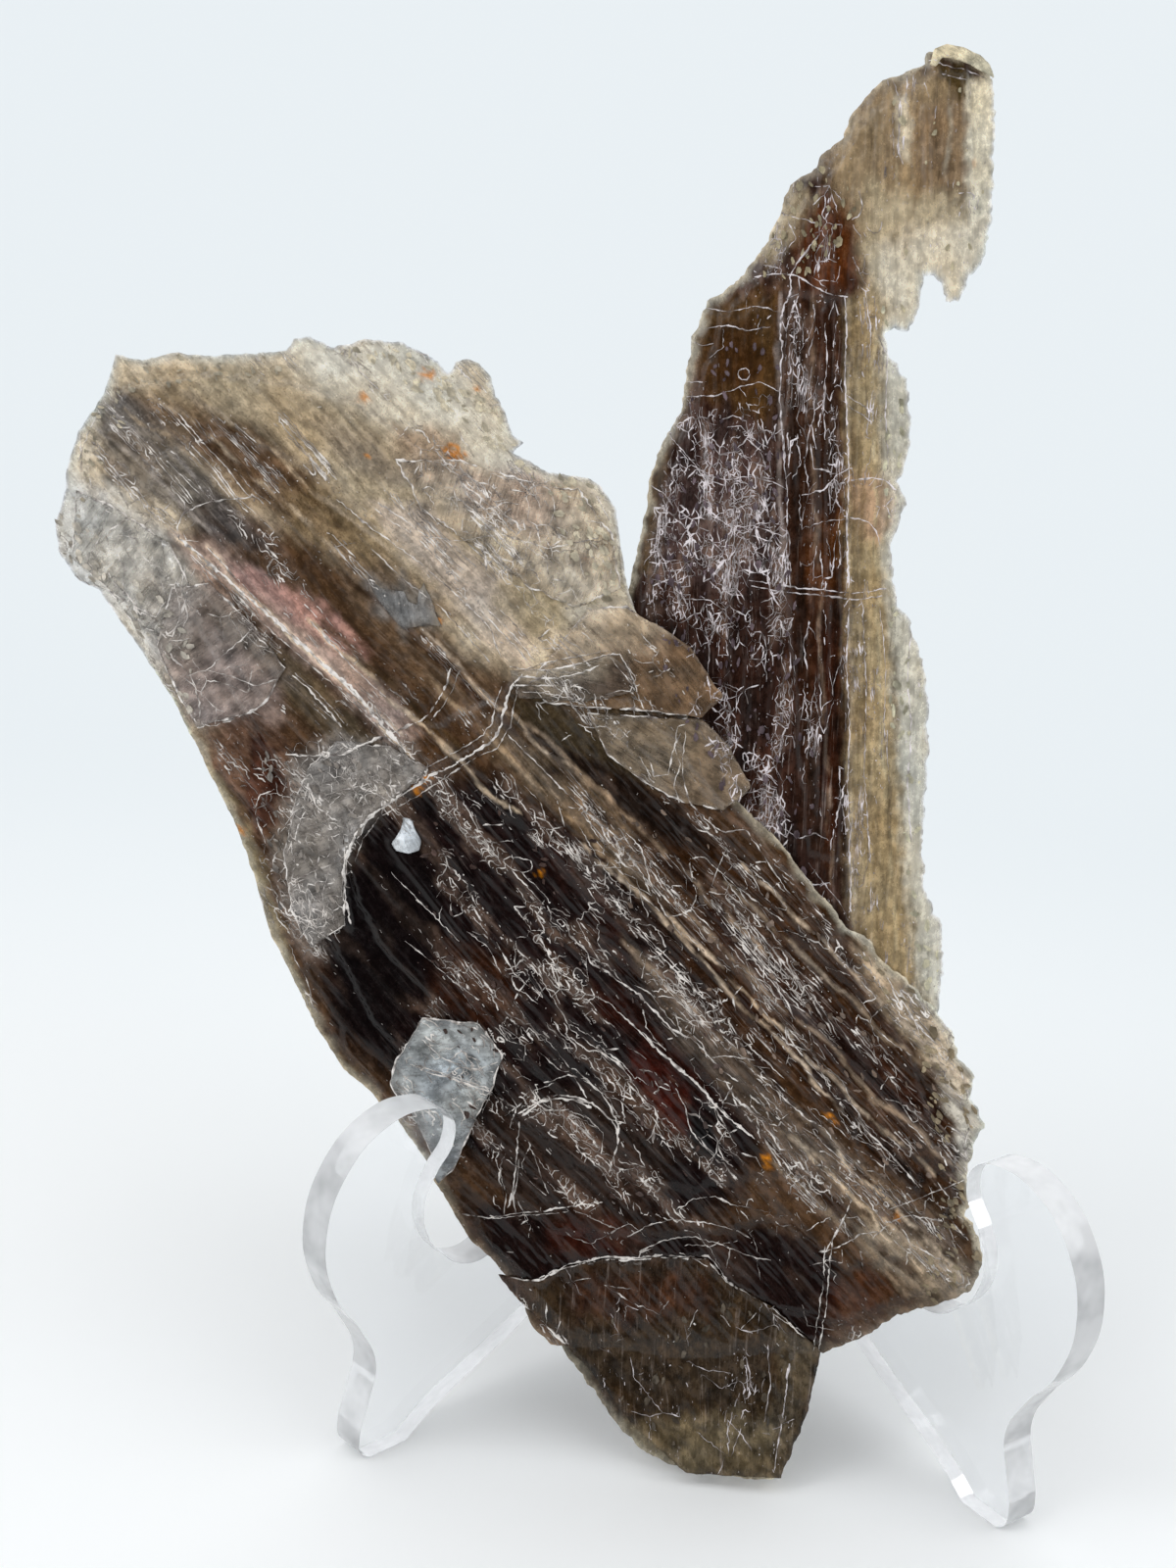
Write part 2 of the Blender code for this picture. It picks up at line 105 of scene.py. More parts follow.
def noise(x, y, seed=0):
    """Gradient noise, about -0.7 to 0.7."""
    x = np.asarray(x, float)
    y = np.asarray(y, float)
    ix = np.floor(x)
    iy = np.floor(y)
    fx = x - ix
    fy = y - iy
    sx = fx * fx * fx * (fx * (fx * 6 - 15) + 10)
    sy = fy * fy * fy * (fy * (fy * 6 - 15) + 10)

    def corner(dx, dy):
        angle = lattice(ix + dx, iy + dy, seed)
        return np.cos(angle) * (fx - dx) + np.sin(angle) * (fy - dy)

    low = corner(0, 0) * (1 - sx) + corner(1, 0) * sx
    high = corner(0, 1) * (1 - sx) + corner(1, 1) * sx
    return low * (1 - sy) + high * sy


def fractal(x, y, seed=0, octaves=4):
    """Sum of finer and finer noise, about -1 to 1."""
    total = np.zeros(np.broadcast(x, y).shape)
    weight = 1.0
    for octave in range(octaves):
        total += weight * noise(x * 2.03 ** octave, y * 2.03 ** octave, seed + 17 * octave)
        weight *= 0.5
    return total


def smooth(x, low, high):
    """0 below low, 1 above high, smooth between."""
    t = np.clip((x - low) / (high - low), 0.0, 1.0)
    return t * t * (3 - 2 * t)


# ---------------------------------------------------------------- outlines and distances
def line_distance(p, q, line, closed=False):
    """Distance from points to a polyline."""
    start = line if closed else line[:-1]
    end = np.roll(line, -1, 0) if closed else line[1:]
    best = np.full(p.shape, 1e9)
    for a, b in zip(start, end):
        run = b - a
        along = ((p - a[0]) * run[0] + (q - a[1]) * run[1]) / (run @ run + 1e-12)
        along = np.clip(along, 0.0, 1.0)
        best = np.minimum(best, (p - a[0] - along * run[0]) ** 2 + (q - a[1] - along * run[1]) ** 2)
    return np.sqrt(best)


def inside(p, q, ring):
    """Even-odd test of points against a closed outline."""
    odd = np.zeros(p.shape, bool)
    for a, b in zip(ring, np.roll(ring, -1, 0)):
        if a[1] == b[1]:
            continue
        crosses = (a[1] > q) != (b[1] > q)
        odd ^= crosses & (p < (b[0] - a[0]) * (q - a[1]) / (b[1] - a[1]) + a[0])
    return odd


def depth_in(p, q, ring, margin=5.0):
    """Signed distance to a closed outline, positive inside, clipped far outside."""
    result = np.full(p.shape, -margin)
    low = ring.min(0) - margin
    high = ring.max(0) + margin
    near = (p > low[0]) & (p < high[0]) & (q > low[1]) & (q < high[1])
    away = line_distance(p[near], q[near], ring, True)
    result[near] = np.where(inside(p[near], q[near], ring), away, -away)
    return result


def resample(line, step, closed=True):
    """Points every step mm along a polyline."""
    ring = np.vstack([line, line[:1]]) if closed else line
    lengths = np.r_[0, np.cumsum(np.hypot(*np.diff(ring, axis=0).T))]
    count = max(int(lengths[-1] / step), 2)
    spots = np.linspace(0, lengths[-1], count + (0 if closed else 1), endpoint=not closed)
    return np.stack([np.interp(spots, lengths, ring[:, k]) for k in (0, 1)], 1)


def weathered(pixels, rough, seed, step=0.3, level=0.0):
    """A broken edge: the outline resampled and pushed in and out by fine noise."""
    ring = resample(on_plane(pixels, level), step)
    after = np.roll(ring, -1, 0)
    if (ring[:, 0] * after[:, 1] - ring[:, 1] * after[:, 0]).sum() < 0:
        ring = ring[::-1]
    run = np.roll(ring, -1, 0) - np.roll(ring, 1, 0)
    across = np.stack([-run[:, 1], run[:, 0]], 1)
    across /= np.linalg.norm(across, axis=1)[:, None] + 1e-9
    amount = rough(ring[:, 0], ring[:, 1]) if callable(rough) else rough
    push = 0.9 * fractal(ring[:, 0] * 0.8, ring[:, 1] * 0.8, seed, 4)
    push += 0.4 * noise(ring[:, 0] * 2.6, ring[:, 1] * 2.6, seed + 5)
    return ring + across * np.reshape(amount * push, (-1, 1))


def edge_distance(p, q, ring):
    """Distance of points to the nearest point of a fine ring."""
    tree = KDTree(len(ring))
    for index, (x, y) in enumerate(ring):
        tree.insert((x, y, 0.0), index)
    tree.balance()
    flat = [tree.find((x, y, 0.0))[2] for x, y in zip(p.ravel(), q.ravel())]
    return np.array(flat).reshape(p.shape)


# ---------------------------------------------------------------- grain
def turned(angle):
    """Rows are the directions along and across a grain at that angle in degrees."""
    turn = math.radians(angle)
    return np.array([[math.cos(turn), math.sin(turn)], [-math.sin(turn), math.cos(turn)]])


def grain_coordinates(p, q, angle, seed, sway):
    """Along and across the cleavage grain, swaying a little."""
    turn = math.radians(angle)
    along = p * math.cos(turn) + q * math.sin(turn)
    across = -p * math.sin(turn) + q * math.cos(turn)
    across = across + sway * fractal(along * 0.045, across * 0.06, seed, 3)
    return along, across


# ---------------------------------------------------------------- outlines, as seen
# the two blades' edges, then the terraces that stand out of their fronts and backs
MAIN_EDGE = [
    (118, 362), (145, 368), (180, 360), (215, 363), (260, 361), (292, 358), (300, 346),
    (316, 342), (328, 349), (340, 355), (372, 346), (410, 350), (436, 362), (458, 380),
    (466, 370), (478, 366), (490, 371), (499, 384), (504, 400), (513, 418),
    (524, 444), (534, 451), (524, 462), (545, 474), (560, 483), (600, 488), (612, 496),
    (629, 520), (632, 550), (639, 595), (646, 618), (662, 652), (684, 676), (700, 702),
    (704, 722), (700, 744), (726, 776), (742, 806), (770, 836), (796, 858), (818, 888),
    (832, 907), (858, 939), (873, 954), (890, 960), (900, 980), (927, 1002), (955, 1032),
    (973, 1058), (979, 1082), (995, 1098), (991, 1120), (1003, 1150), (991, 1175),
    (986, 1200), (992, 1225), (983, 1240), (999, 1262), (1002, 1290), (990, 1318),
    (955, 1331), (915, 1341), (890, 1359), (842, 1380), (800, 1376), (700, 1382),
    (620, 1372), (562, 1372), (543, 1353), (526, 1313), (500, 1282), (480, 1265),
    (450, 1215), (405, 1150), (380, 1115), (350, 1090), (325, 1050), (300, 1000),
    (275, 950), (262, 900), (240, 840), (205, 770), (178, 716), (150, 672), (122, 632),
    (102, 603), (78, 590), (60, 562), (57, 535), (67, 498), (67, 480), (80, 440),
    (97, 416), (105, 404)]
UPRIGHT_EDGE = [
    (650, 560), (660, 510), (664, 480), (676, 448), (694, 420), (700, 380), (706, 345),
    (722, 305), (750, 288), (768, 265), (785, 238), (797, 212), (807, 185), (834, 168),
    (838, 155), (860, 138), (866, 118), (885, 95), (900, 80), (945, 62), (946, 50),
    (962, 46), (1003, 59), (1015, 80), (1016, 140), (1012, 225), (1007, 242), (1008, 256),
    (1000, 272), (988, 280), (986, 294), (981, 303), (970, 303), (962, 288), (953, 277),
    (944, 278), (940, 298), (934, 326), (928, 336), (912, 330), (904, 340),
    (908, 360), (925, 385), (930, 430), (925, 470), (916, 490), (924, 512), (910, 552),
    (911, 590), (918, 620), (930, 634), (938, 668), (946, 690), (948, 770), (944, 815),
    (942, 860), (944, 905), (960, 940), (963, 985), (960, 1030), (945, 1120), (925, 1220),
    (896, 1300), (850, 1350), (829, 1395), (822, 1420), (804, 1486), (797, 1512),
    (758, 1512), (720, 1504), (691, 1500), (658, 1486), (628, 1456), (602, 1417),
    (577, 1384), (556, 1352), (565, 1300), (575, 1150), (595, 1000), (612, 850),
    (625, 700), (630, 640)]
HEAD_TERRACE = [
    (88, 470), (130, 392), (220, 382), (300, 392), (380, 418), (440, 468), (520, 520),
    (575, 556), (600, 620), (650, 650), (690, 690), (700, 716), (690, 745), (720, 790),
    (775, 848), (800, 886), (850, 952), (895, 998), (940, 1046), (962, 1080), (968, 1110),
    (985, 1150), (970, 1200), (972, 1225), (958, 1250), (985, 1290), (962, 1314),
    (915, 1330), (850, 1352), (790, 1330), (742, 1308), (722, 1284), (622, 1284),
    (577, 1294), (551, 1312), (515, 1282), (470, 1230), (420, 1150), (360, 1075),
    (315, 990), (285, 920), (268, 850), (225, 780), (195, 712), (150, 655), (115, 590),
    (76, 540)]
SLANT_TERRACE = [
    (150, 470), (230, 440), (300, 470), (400, 540), (480, 600), (540, 660), (640, 710),
    (690, 762), (730, 812), (780, 862), (830, 934), (890, 1014), (935, 1084), (950, 1150),
    (940, 1210), (905, 1232), (930, 1280), (860, 1296), (800, 1240), (740, 1256),
    (650, 1262), (560, 1256), (500, 1200), (440, 1110), (380, 1040), (330, 950),
    (304, 880), (296, 800), (250, 730), (205, 640), (170, 560)]
CORE_TERRACE = [
    (362, 760), (430, 745), (505, 715), (560, 765), (640, 850), (720, 932), (800, 1030),
    (860, 1120), (882, 1188), (800, 1196), (700, 1214), (600, 1190), (520, 1136),
    (450, 1030), (384, 960), (352, 880)]
BACK_TERRACE = [
    (100, 480), (140, 410), (260, 400), (400, 430), (520, 510), (585, 570), (585, 640),
    (560, 760), (545, 900), (535, 1050), (520, 1200), (500, 1235), (400, 1090),
    (330, 990), (290, 880), (240, 760), (160, 640), (100, 570)]
BACK_CORE = [
    (160, 500), (300, 480), (440, 560), (540, 660), (520, 850), (500, 1010), (480, 1130),
    (440, 1070), (350, 930), (300, 780), (210, 620)]
UPRIGHT_TERRACE = [
    (664, 560), (690, 470), (714, 400), (738, 322), (790, 270), (815, 215), (850, 180),
    (874, 128), (930, 90), (950, 74), (988, 72), (990, 200), (960, 215), (905, 240),
    (896, 330), (868, 360), (868, 560), (874, 800), (870, 960), (840, 1000), (760, 900),
    (690, 760), (652, 640)]
FOLD_STRIP = [
    (806, 300), (862, 304), (864, 430), (858, 600), (862, 780), (856, 880), (824, 870),
    (812, 700), (800, 560)]
SHOULDER = [
    (730, 340), (788, 300), (792, 420), (784, 520), (700, 560), (688, 520), (706, 430)]
OLIVE_STRIP = [
    (890, 250), (908, 246), (902, 340), (904, 560), (908, 700), (930, 760), (922, 880),
    (926, 1000), (882, 980), (876, 700), (872, 420)]
TAIL_TERRACE = [
    (553, 1316), (577, 1300), (622, 1290), (722, 1290), (742, 1312), (800, 1338),
    (815, 1396), (800, 1450), (785, 1496), (760, 1500), (696, 1486), (645, 1452),
    (606, 1398), (575, 1362)]
UPRIGHT_BACK = [
    (680, 560), (705, 460), (730, 350), (800, 250), (860, 160), (940, 90), (985, 90),
    (985, 210), (900, 250), (890, 400), (880, 560), (890, 760), (910, 960), (900, 1120),
    (860, 1240), (720, 1260), (640, 1180), (640, 1000), (655, 800), (660, 680)]
UPRIGHT_RIB = [
    (715, 560), (740, 440), (790, 330), (850, 330), (846, 560), (852, 800), (860, 1000),
    (830, 1140), (720, 1160), (690, 1000), (700, 780)]

MAIN_GRAIN = -42.5
UPRIGHT_GRAIN = -86.5


def main_rough(p, q):
    """The head's left edge is smooth; the right ends are torn."""
    return 0.14 + 0.22 * smooth(p, 5.0, 25.0) + 0.12 * smooth(q, 20.0, 35.0)


def upright_rough(p, q):
    """The right-hand side of the upright blade is the most torn."""
    return 0.26 + 0.16 * smooth(p, 20.0, 28.0)


MAIN_RING = weathered(MAIN_EDGE, main_rough, 3)
UPRIGHT_RING = weathered(UPRIGHT_EDGE, upright_rough, 8)


# ---------------------------------------------------------------- relief
MAIN_RIDGES = [
    # line, half width, height
    ([(186, 551), (277, 630), (364, 706), (420, 768), (470, 820)], 0.55, 0.55),
    ([(213, 560), (280, 620), (360, 690), (430, 760)], 0.35, 0.30),
    ([(317, 634), (400, 715), (470, 780), (520, 830)], 0.55, 0.40),
    ([(345, 510), (420, 575), (480, 620), (520, 670)], 0.45, 0.30),
    ([(250, 590), (340, 665), (430, 745), (500, 800)], 0.45, 0.35),
    ([(520, 750), (600, 830), (680, 905), (780, 1010), (860, 1100)], 0.70, 0.45),
    ([(560, 770), (650, 860), (740, 960), (830, 1060), (930, 1170)], 0.50, 0.40),
    ([(620, 960), (700, 1040), (790, 1130), (880, 1220), (985, 1310)], 0.65, 0.50),
    ([(680, 900), (760, 980), (850, 1070), (940, 1160), (990, 1215)], 0.55, 0.40),
    ([(700, 850), (790, 930), (880, 1010), (960, 1080)], 0.55, 0.35),
    ([(740, 850), (820, 930), (900, 1000)], 0.35, 0.25),
    ([(640, 1000), (730, 1100), (820, 1190), (900, 1270)], 0.45, 0.30),
    ([(75, 430), (80, 455), (82, 480)], 0.35, 0.15),
    ([(400, 860), (470, 950), (540, 1020)], 0.40, 0.20),
]
MAIN_CREASES = [
    ([(461, 681), (454, 703), (438, 729), (416, 742), (384, 755), (352, 770), (292, 770)],
     0.22, 0.22),
    ([(534, 688), (518, 713), (512, 745), (492, 764), (445, 790), (419, 806), (378, 834),
      (359, 866), (352, 895), (359, 943)], 0.45, 0.40),
    ([(200, 742), (262, 725)], 0.2, 0.2),
    ([(300, 690), (325, 712), (345, 735)], 0.25, 0.25),
]
UPRIGHT_RIDGES = [
    ([(800, 300), (797, 420), (800, 600)], 0.30, 0.22),
    ([(866, 300), (864, 480), (866, 700), (868, 940)], 0.35, 0.28),
    ([(840, 320), (838, 480), (842, 640), (838, 860)], 0.45, 0.15),
    ([(985, 80), (990, 150), (986, 240)], 0.40, 0.20),
    ([(945, 110), (948, 200)], 0.45, 0.18),
    ([(835, 240), (812, 270)], 0.25, 0.15),
    ([(805, 1390), (790, 1500)], 0.30, 0.20),
    ([(742, 1308), (800, 1338)], 0.30, 0.15),
]


def plane_lines(features):
    """The features' lines on the crystal's plane."""
    return [(on_plane(line), width, height) for line, width, height in features]


MAIN_RIDGES = plane_lines(MAIN_RIDGES)
MAIN_CREASES = plane_lines(MAIN_CREASES)
UPRIGHT_RIDGES = plane_lines(UPRIGHT_RIDGES)
SMOOTH_CORE = on_plane([(384, 850), (440, 862), (460, 940), (450, 1010), (410, 1070), (350, 1060),
                        (330, 985), (348, 900)], 1.6)
RINGS = {name: on_plane(points, level) for name, points, level in [
    ("head", HEAD_TERRACE, 0.8), ("slant", SLANT_TERRACE, 1.2), ("core", CORE_TERRACE, 1.7),
    ("back", BACK_TERRACE, -1.5), ("back_core", BACK_CORE, -2.0),
    ("upright", UPRIGHT_TERRACE, -0.2), ("fold", FOLD_STRIP, 0.1),
    ("shoulder", SHOULDER, 0.0), ("olive", OLIVE_STRIP, -0.4), ("tail", TAIL_TERRACE, -0.2),
    ("upright_back", UPRIGHT_BACK, -2.4), ("rib", UPRIGHT_RIB, -2.8)]}


def add_ridges(p, q, relief, ridges, seed):
    """Raise long ridges, a little uneven along their length."""
    for number, (line, width, height) in enumerate(ridges):
        away = line_distance(p, q, line)
        uneven = 1.0 + 0.5 * noise(p * 0.5, q * 0.5, seed + number)
        relief = relief + height * uneven * np.clip(1 - away / width, 0, 1)
    return relief


def stepped(value, steps):
    """Flatten a smooth field into terraces with short risers."""
    scaled = value * steps
    floor = np.floor(scaled)
    return (floor + smooth(scaled - floor, 0.42, 0.58)) / steps


def main_top(p, q, edge=None):
    """Front level of the main blade in mm."""
    along, across = grain_coordinates(p, q, MAIN_GRAIN, 21, 1.2)
    torn = 0.55 * fractal(along * 0.22, across * 0.9, 33, 3)
    relief = np.full(p.shape, 0.30)
    for name, rise in (("head", 0.50), ("slant", 0.50), ("core", 0.42)):
        relief = relief + rise * smooth(depth_in(p, q, RINGS[name], 3.0) + torn, -0.12, 0.14)
    lower = smooth(-q, -18.0, 8.0)
    flutes = fractal(along * 0.035, across * 0.55, 51, 3)
    fine = fractal(along * 0.09, across * 1.5, 57, 3)
    smooth_core = 1 - 0.8 * smooth(depth_in(p, q, SMOOTH_CORE, 3.0) + 0.5 * torn, -0.6, 1.2)
    relief = relief + (0.26 + 0.16 * lower) * smooth_core * stepped(flutes, 5)
    relief = relief + (0.09 + 0.07 * lower) * smooth_core * stepped(fine, 2.5)
    relief = relief + 0.14 * smooth_core * stepped(fractal(p * 0.25, q * 0.25, 63, 5), 4)
    relief = relief + 0.05 * stepped(fractal(along * 0.5, across * 0.8, 65, 4), 2.5)
    relief = add_ridges(p, q, relief, MAIN_RIDGES, 70)
    relief = add_ridges(p, q, relief, MAIN_CREASES, 90)
    relief = relief + 0.012 * fractal(p * 0.9, q * 0.9, 77, 2)
    if edge is not None:
        thin = smooth(edge + 0.25 * noise(p * 1.1, q * 1.1, 66), 0.0, 1.5)
        rim = 0.02 + 0.10 * stepped(np.clip(edge, 0, 1.2), 4)
        relief = rim + (relief - rim) * thin
    return np.clip(relief, -0.25, 2.7)


def main_bottom(p, q):
    """Back level of the main blade in mm."""
    along, across = grain_coordinates(p, q, MAIN_GRAIN, 23, 1.2)
    torn = 0.7 * fractal(along * 0.2, across * 0.7, 35, 3)
    relief = np.full(p.shape, -0.66)
    for name, fall in (("back", 1.0), ("back_core", 0.5)):
        relief = relief - fall * smooth(depth_in(p, q, RINGS[name], 3.0) + torn, -0.5, 0.5)
    grooves = 0.5 + 0.5 * np.clip(fractal(along * 0.05, across * 0.6, 53, 3), -1, 1)
    relief = relief + 0.16 * stepped(grooves, 4)
    return -0.16 + (relief + 0.16) * smooth(edge_distance(p, q, MAIN_FINE), 0.0, 1.6)


def under_main(p, q):
    """1 where the main blade lies in front of the upright one."""
    away = edge_distance(p, q, MAIN_FINE)
    return smooth(np.where(inside(p, q, MAIN_RING), away, -away), -0.32, -0.12)


def upright_top(p, q, edge=None):
    """Front level of the upright blade in mm."""
    along, across = grain_coordinates(p, q, UPRIGHT_GRAIN, 25, 0.7)
    torn = 0.45 * fractal(along * 0.25, across * 1.1, 37, 3)
    relief = np.full(p.shape, -0.62)
    for name, rise in (("upright", 0.30), ("fold", 0.22), ("shoulder", 0.12),
                       ("olive", 0.20), ("tail", 0.35)):
        relief = relief + rise * smooth(depth_in(p, q, RINGS[name], 3.0) + torn, -0.12, 0.14)
    relief = relief + 0.18 * stepped(fractal(along * 0.04, across * 0.7, 55, 3), 5)
    relief = relief + 0.08 * stepped(fractal(along * 0.11, across * 1.6, 59, 3), 2.5)
    relief = relief + 0.15 * stepped(fractal(p * 0.35, q * 0.35, 64, 5), 4)
    relief = relief + 0.05 * stepped(fractal(along * 0.5, across * 0.8, 67, 4), 2.5)
    relief = add_ridges(p, q, relief, UPRIGHT_RIDGES, 80)
    relief = relief + 0.012 * fractal(p * 0.9, q * 0.9, 79, 2)
    if edge is not None:
        thin = smooth(edge + 0.25 * noise(p * 1.1, q * 1.1, 68), 0.0, 1.3)
        rim = -1.0 + 0.12 * stepped(np.clip(edge, 0, 1.2), 4)
        relief = rim + (relief - rim) * thin
    covered = under_main(p, q)
    below = np.minimum(relief, main_bottom(p, q) - 0.10)
    return np.clip(relief * (1 - covered) + below * covered, -1.5, 0.3)


def upright_bottom(p, q):
    """Back level of the upright blade in mm."""
    along, across = grain_coordinates(p, q, UPRIGHT_GRAIN, 27, 0.7)
    torn = 0.5 * fractal(along * 0.25, across * 0.9, 39, 3)
    relief = np.full(p.shape, -1.60)
    for name, fall in (("upright_back", 0.85), ("rib", 0.40)):
        relief = relief - fall * smooth(depth_in(p, q, RINGS[name], 3.0) + torn, -0.4, 0.4)
    grooves = 0.5 + 0.5 * np.clip(fractal(along * 0.05, across * 0.6, 54, 3), -1, 1)
    return relief + 0.16 * stepped(grooves, 4)


MAIN_FINE = resample(MAIN_RING, 0.1)
UPRIGHT_FINE = resample(UPRIGHT_RING, 0.1)


# ---------------------------------------------------------------- meshes
JITTER = 0.22        # share of a step by which lattice points stray
LEAST_THICK = 0.12   # mm of stone left at a margin
SIDE_STRAY = (-0.10, 0.02)   # mm in and out by which the layers of a side stray


def in_scene(name, data):
    """A new object linked to the scene."""
    made = bpy.data.objects.new(name, data)
    bpy.context.scene.collection.objects.link(made)
    return made


def make_object(name, vertices, faces):
    """A mesh object from an array of points in metres and a list of faces."""
    mesh = bpy.data.meshes.new(name)
    mesh.from_pydata(vertices.tolist(), [], faces)
    mesh.update()
    return in_scene(name, mesh)


def lattice_points(ring, angle, along_step, across_step, seed, clear):
    """Uneven lattice inside a ring, finer across the grain than along it."""
    grain = turned(angle)
    local = ring @ grain.T
    low = local.min(0)
    high = local.max(0)
    u = np.arange(low[0], high[0], along_step)
    v = np.arange(low[1], high[1], across_step)
    grid_u, grid_v = np.meshgrid(u, v)
    grid_u = grid_u + (np.arange(len(v)) % 2)[:, None] * along_step / 2
    chance = np.random.default_rng(seed)
    grid_u = grid_u + chance.uniform(-JITTER, JITTER, grid_u.shape) * along_step
    grid_v = grid_v + chance.uniform(-JITTER, JITTER, grid_v.shape) * across_step
    spots = np.stack([grid_u.ravel(), grid_v.ravel()], 1) @ grain
    kept = spots[inside(spots[:, 0], spots[:, 1], ring)]
    away = edge_distance(kept[:, 0], kept[:, 1], resample(ring, 0.1))
    return kept[away > clear]


def triangulate(ring, spots, angle, stretch):
    """Triangles over a ring and the points inside it, in grain-stretched space."""
    every = np.vstack([ring, spots])
    local = every @ turned(angle).T
    local[:, 0] /= stretch
    count = len(ring)
    edges = [(i, (i + 1) % count) for i in range(count)]
    points, _, faces, origin, _, _ = delaunay_2d_cdt(
        [Vector(xy) for xy in local.tolist()], edges, [], 0, 1e-7, True)
    back = np.array([o[0] if o else -1 for o in origin])
    if (back < 0).any() or len(points) != len(every):
        raise ValueError("an outline crosses itself: %d of %d points" % (len(points), len(every)))
    faces = back[np.array(faces)]
    middle = every[faces].mean(1)
    faces = faces[inside(middle[:, 0], middle[:, 1], ring)]
    a, b, c = (every[faces[:, k]] for k in range(3))
    flip = (b[:, 0] - a[:, 0]) * (c[:, 1] - a[:, 1]) - (b[:, 1] - a[:, 1]) * (c[:, 0] - a[:, 0]) < 0
    faces[flip] = faces[flip][:, ::-1]
    return every, faces


def slab(name, ring, angle, top, bottom, steps, back_steps, seed, layers=3):
    """A closed sheet: fine front, coarser back and a side built up in thin layers.

    Steps are the lattice's spacing in mm along and across the grain.  Returns
    the object and its points' plane coordinates.
    """
    front_spots = lattice_points(ring, angle, steps[0], steps[1], seed, 0.12)
    back_spots = lattice_points(ring, angle, back_steps[0], back_steps[1], seed + 1, 0.3)
    front, front_faces = triangulate(ring, front_spots, angle, steps[0] / steps[1] / 1.15)
    back, back_faces = triangulate(ring, back_spots, angle, 1.0)
    fine = resample(ring, 0.1)
    front_n = top(front[:, 0], front[:, 1], edge_distance(front[:, 0], front[:, 1], fine))
    back_n = bottom(back[:, 0], back[:, 1])
    count = len(ring)
    gap = np.minimum(back_n[:count], front_n[:count] - LEAST_THICK)
    back_n[:count] = gap
    chance = np.random.default_rng(seed + 2)
    centre_side = np.roll(ring, -1, 0) - np.roll(ring, 1, 0)
    outward = np.stack([centre_side[:, 1], -centre_side[:, 0]], 1)
    outward /= np.linalg.norm(outward, axis=1)[:, None] + 1e-9
    rows = []
    for layer in range(1, layers + 1):
        share = layer / (layers + 1)
        shift = chance.uniform(*SIDE_STRAY, count)[:, None]
        rows.append((ring + outward * shift, front_n[:count] * (1 - share) + gap * share))
    flat = np.vstack([front] + [r[0] for r in rows] + [back])
    level = np.concatenate([front_n] + [r[1] for r in rows] + [back_n])
    faces = front_faces.tolist()
    starts = [0] + [len(front) + layer * count for layer in range(layers + 1)]
    index = np.arange(count)
    after = (index + 1) % count
    for upper, lower in zip(starts[:-1], starts[1:]):
        faces += np.stack([upper + index, lower + index, lower + after], 1).tolist()
        faces += np.stack([upper + index, lower + after, upper + after], 1).tolist()
    faces += (back_faces[:, ::-1] + starts[-1]).tolist()
    made = make_object(name, in_space(flat[:, 0], flat[:, 1], level), faces)
    made.data.shade_smooth()
    return made, flat


# ---------------------------------------------------------------- colour
CONTRAST = 1.30
PIVOT = 0.165
RICHNESS = 1.22


def tone(red, green, blue):
    """Linear colour from values of 0 to 255."""
    value = np.array([red, green, blue]) / 255.0
    value = np.where(value <= 0.04045, value / 12.92, ((value + 0.055) / 1.055) ** 2.4)
    grey = value.mean()
    depth = min(max((0.10 - grey) / 0.08, 0.0), 1.0)
    value = np.clip(grey + (value - grey) * (RICHNESS + 0.60 * depth), 0.0008, 1.0)
    value = value * (grey / PIVOT) ** (CONTRAST - 1.0)
    return np.clip(value * min(1.0, 0.95 / value.max()), 0.0012, 0.95)


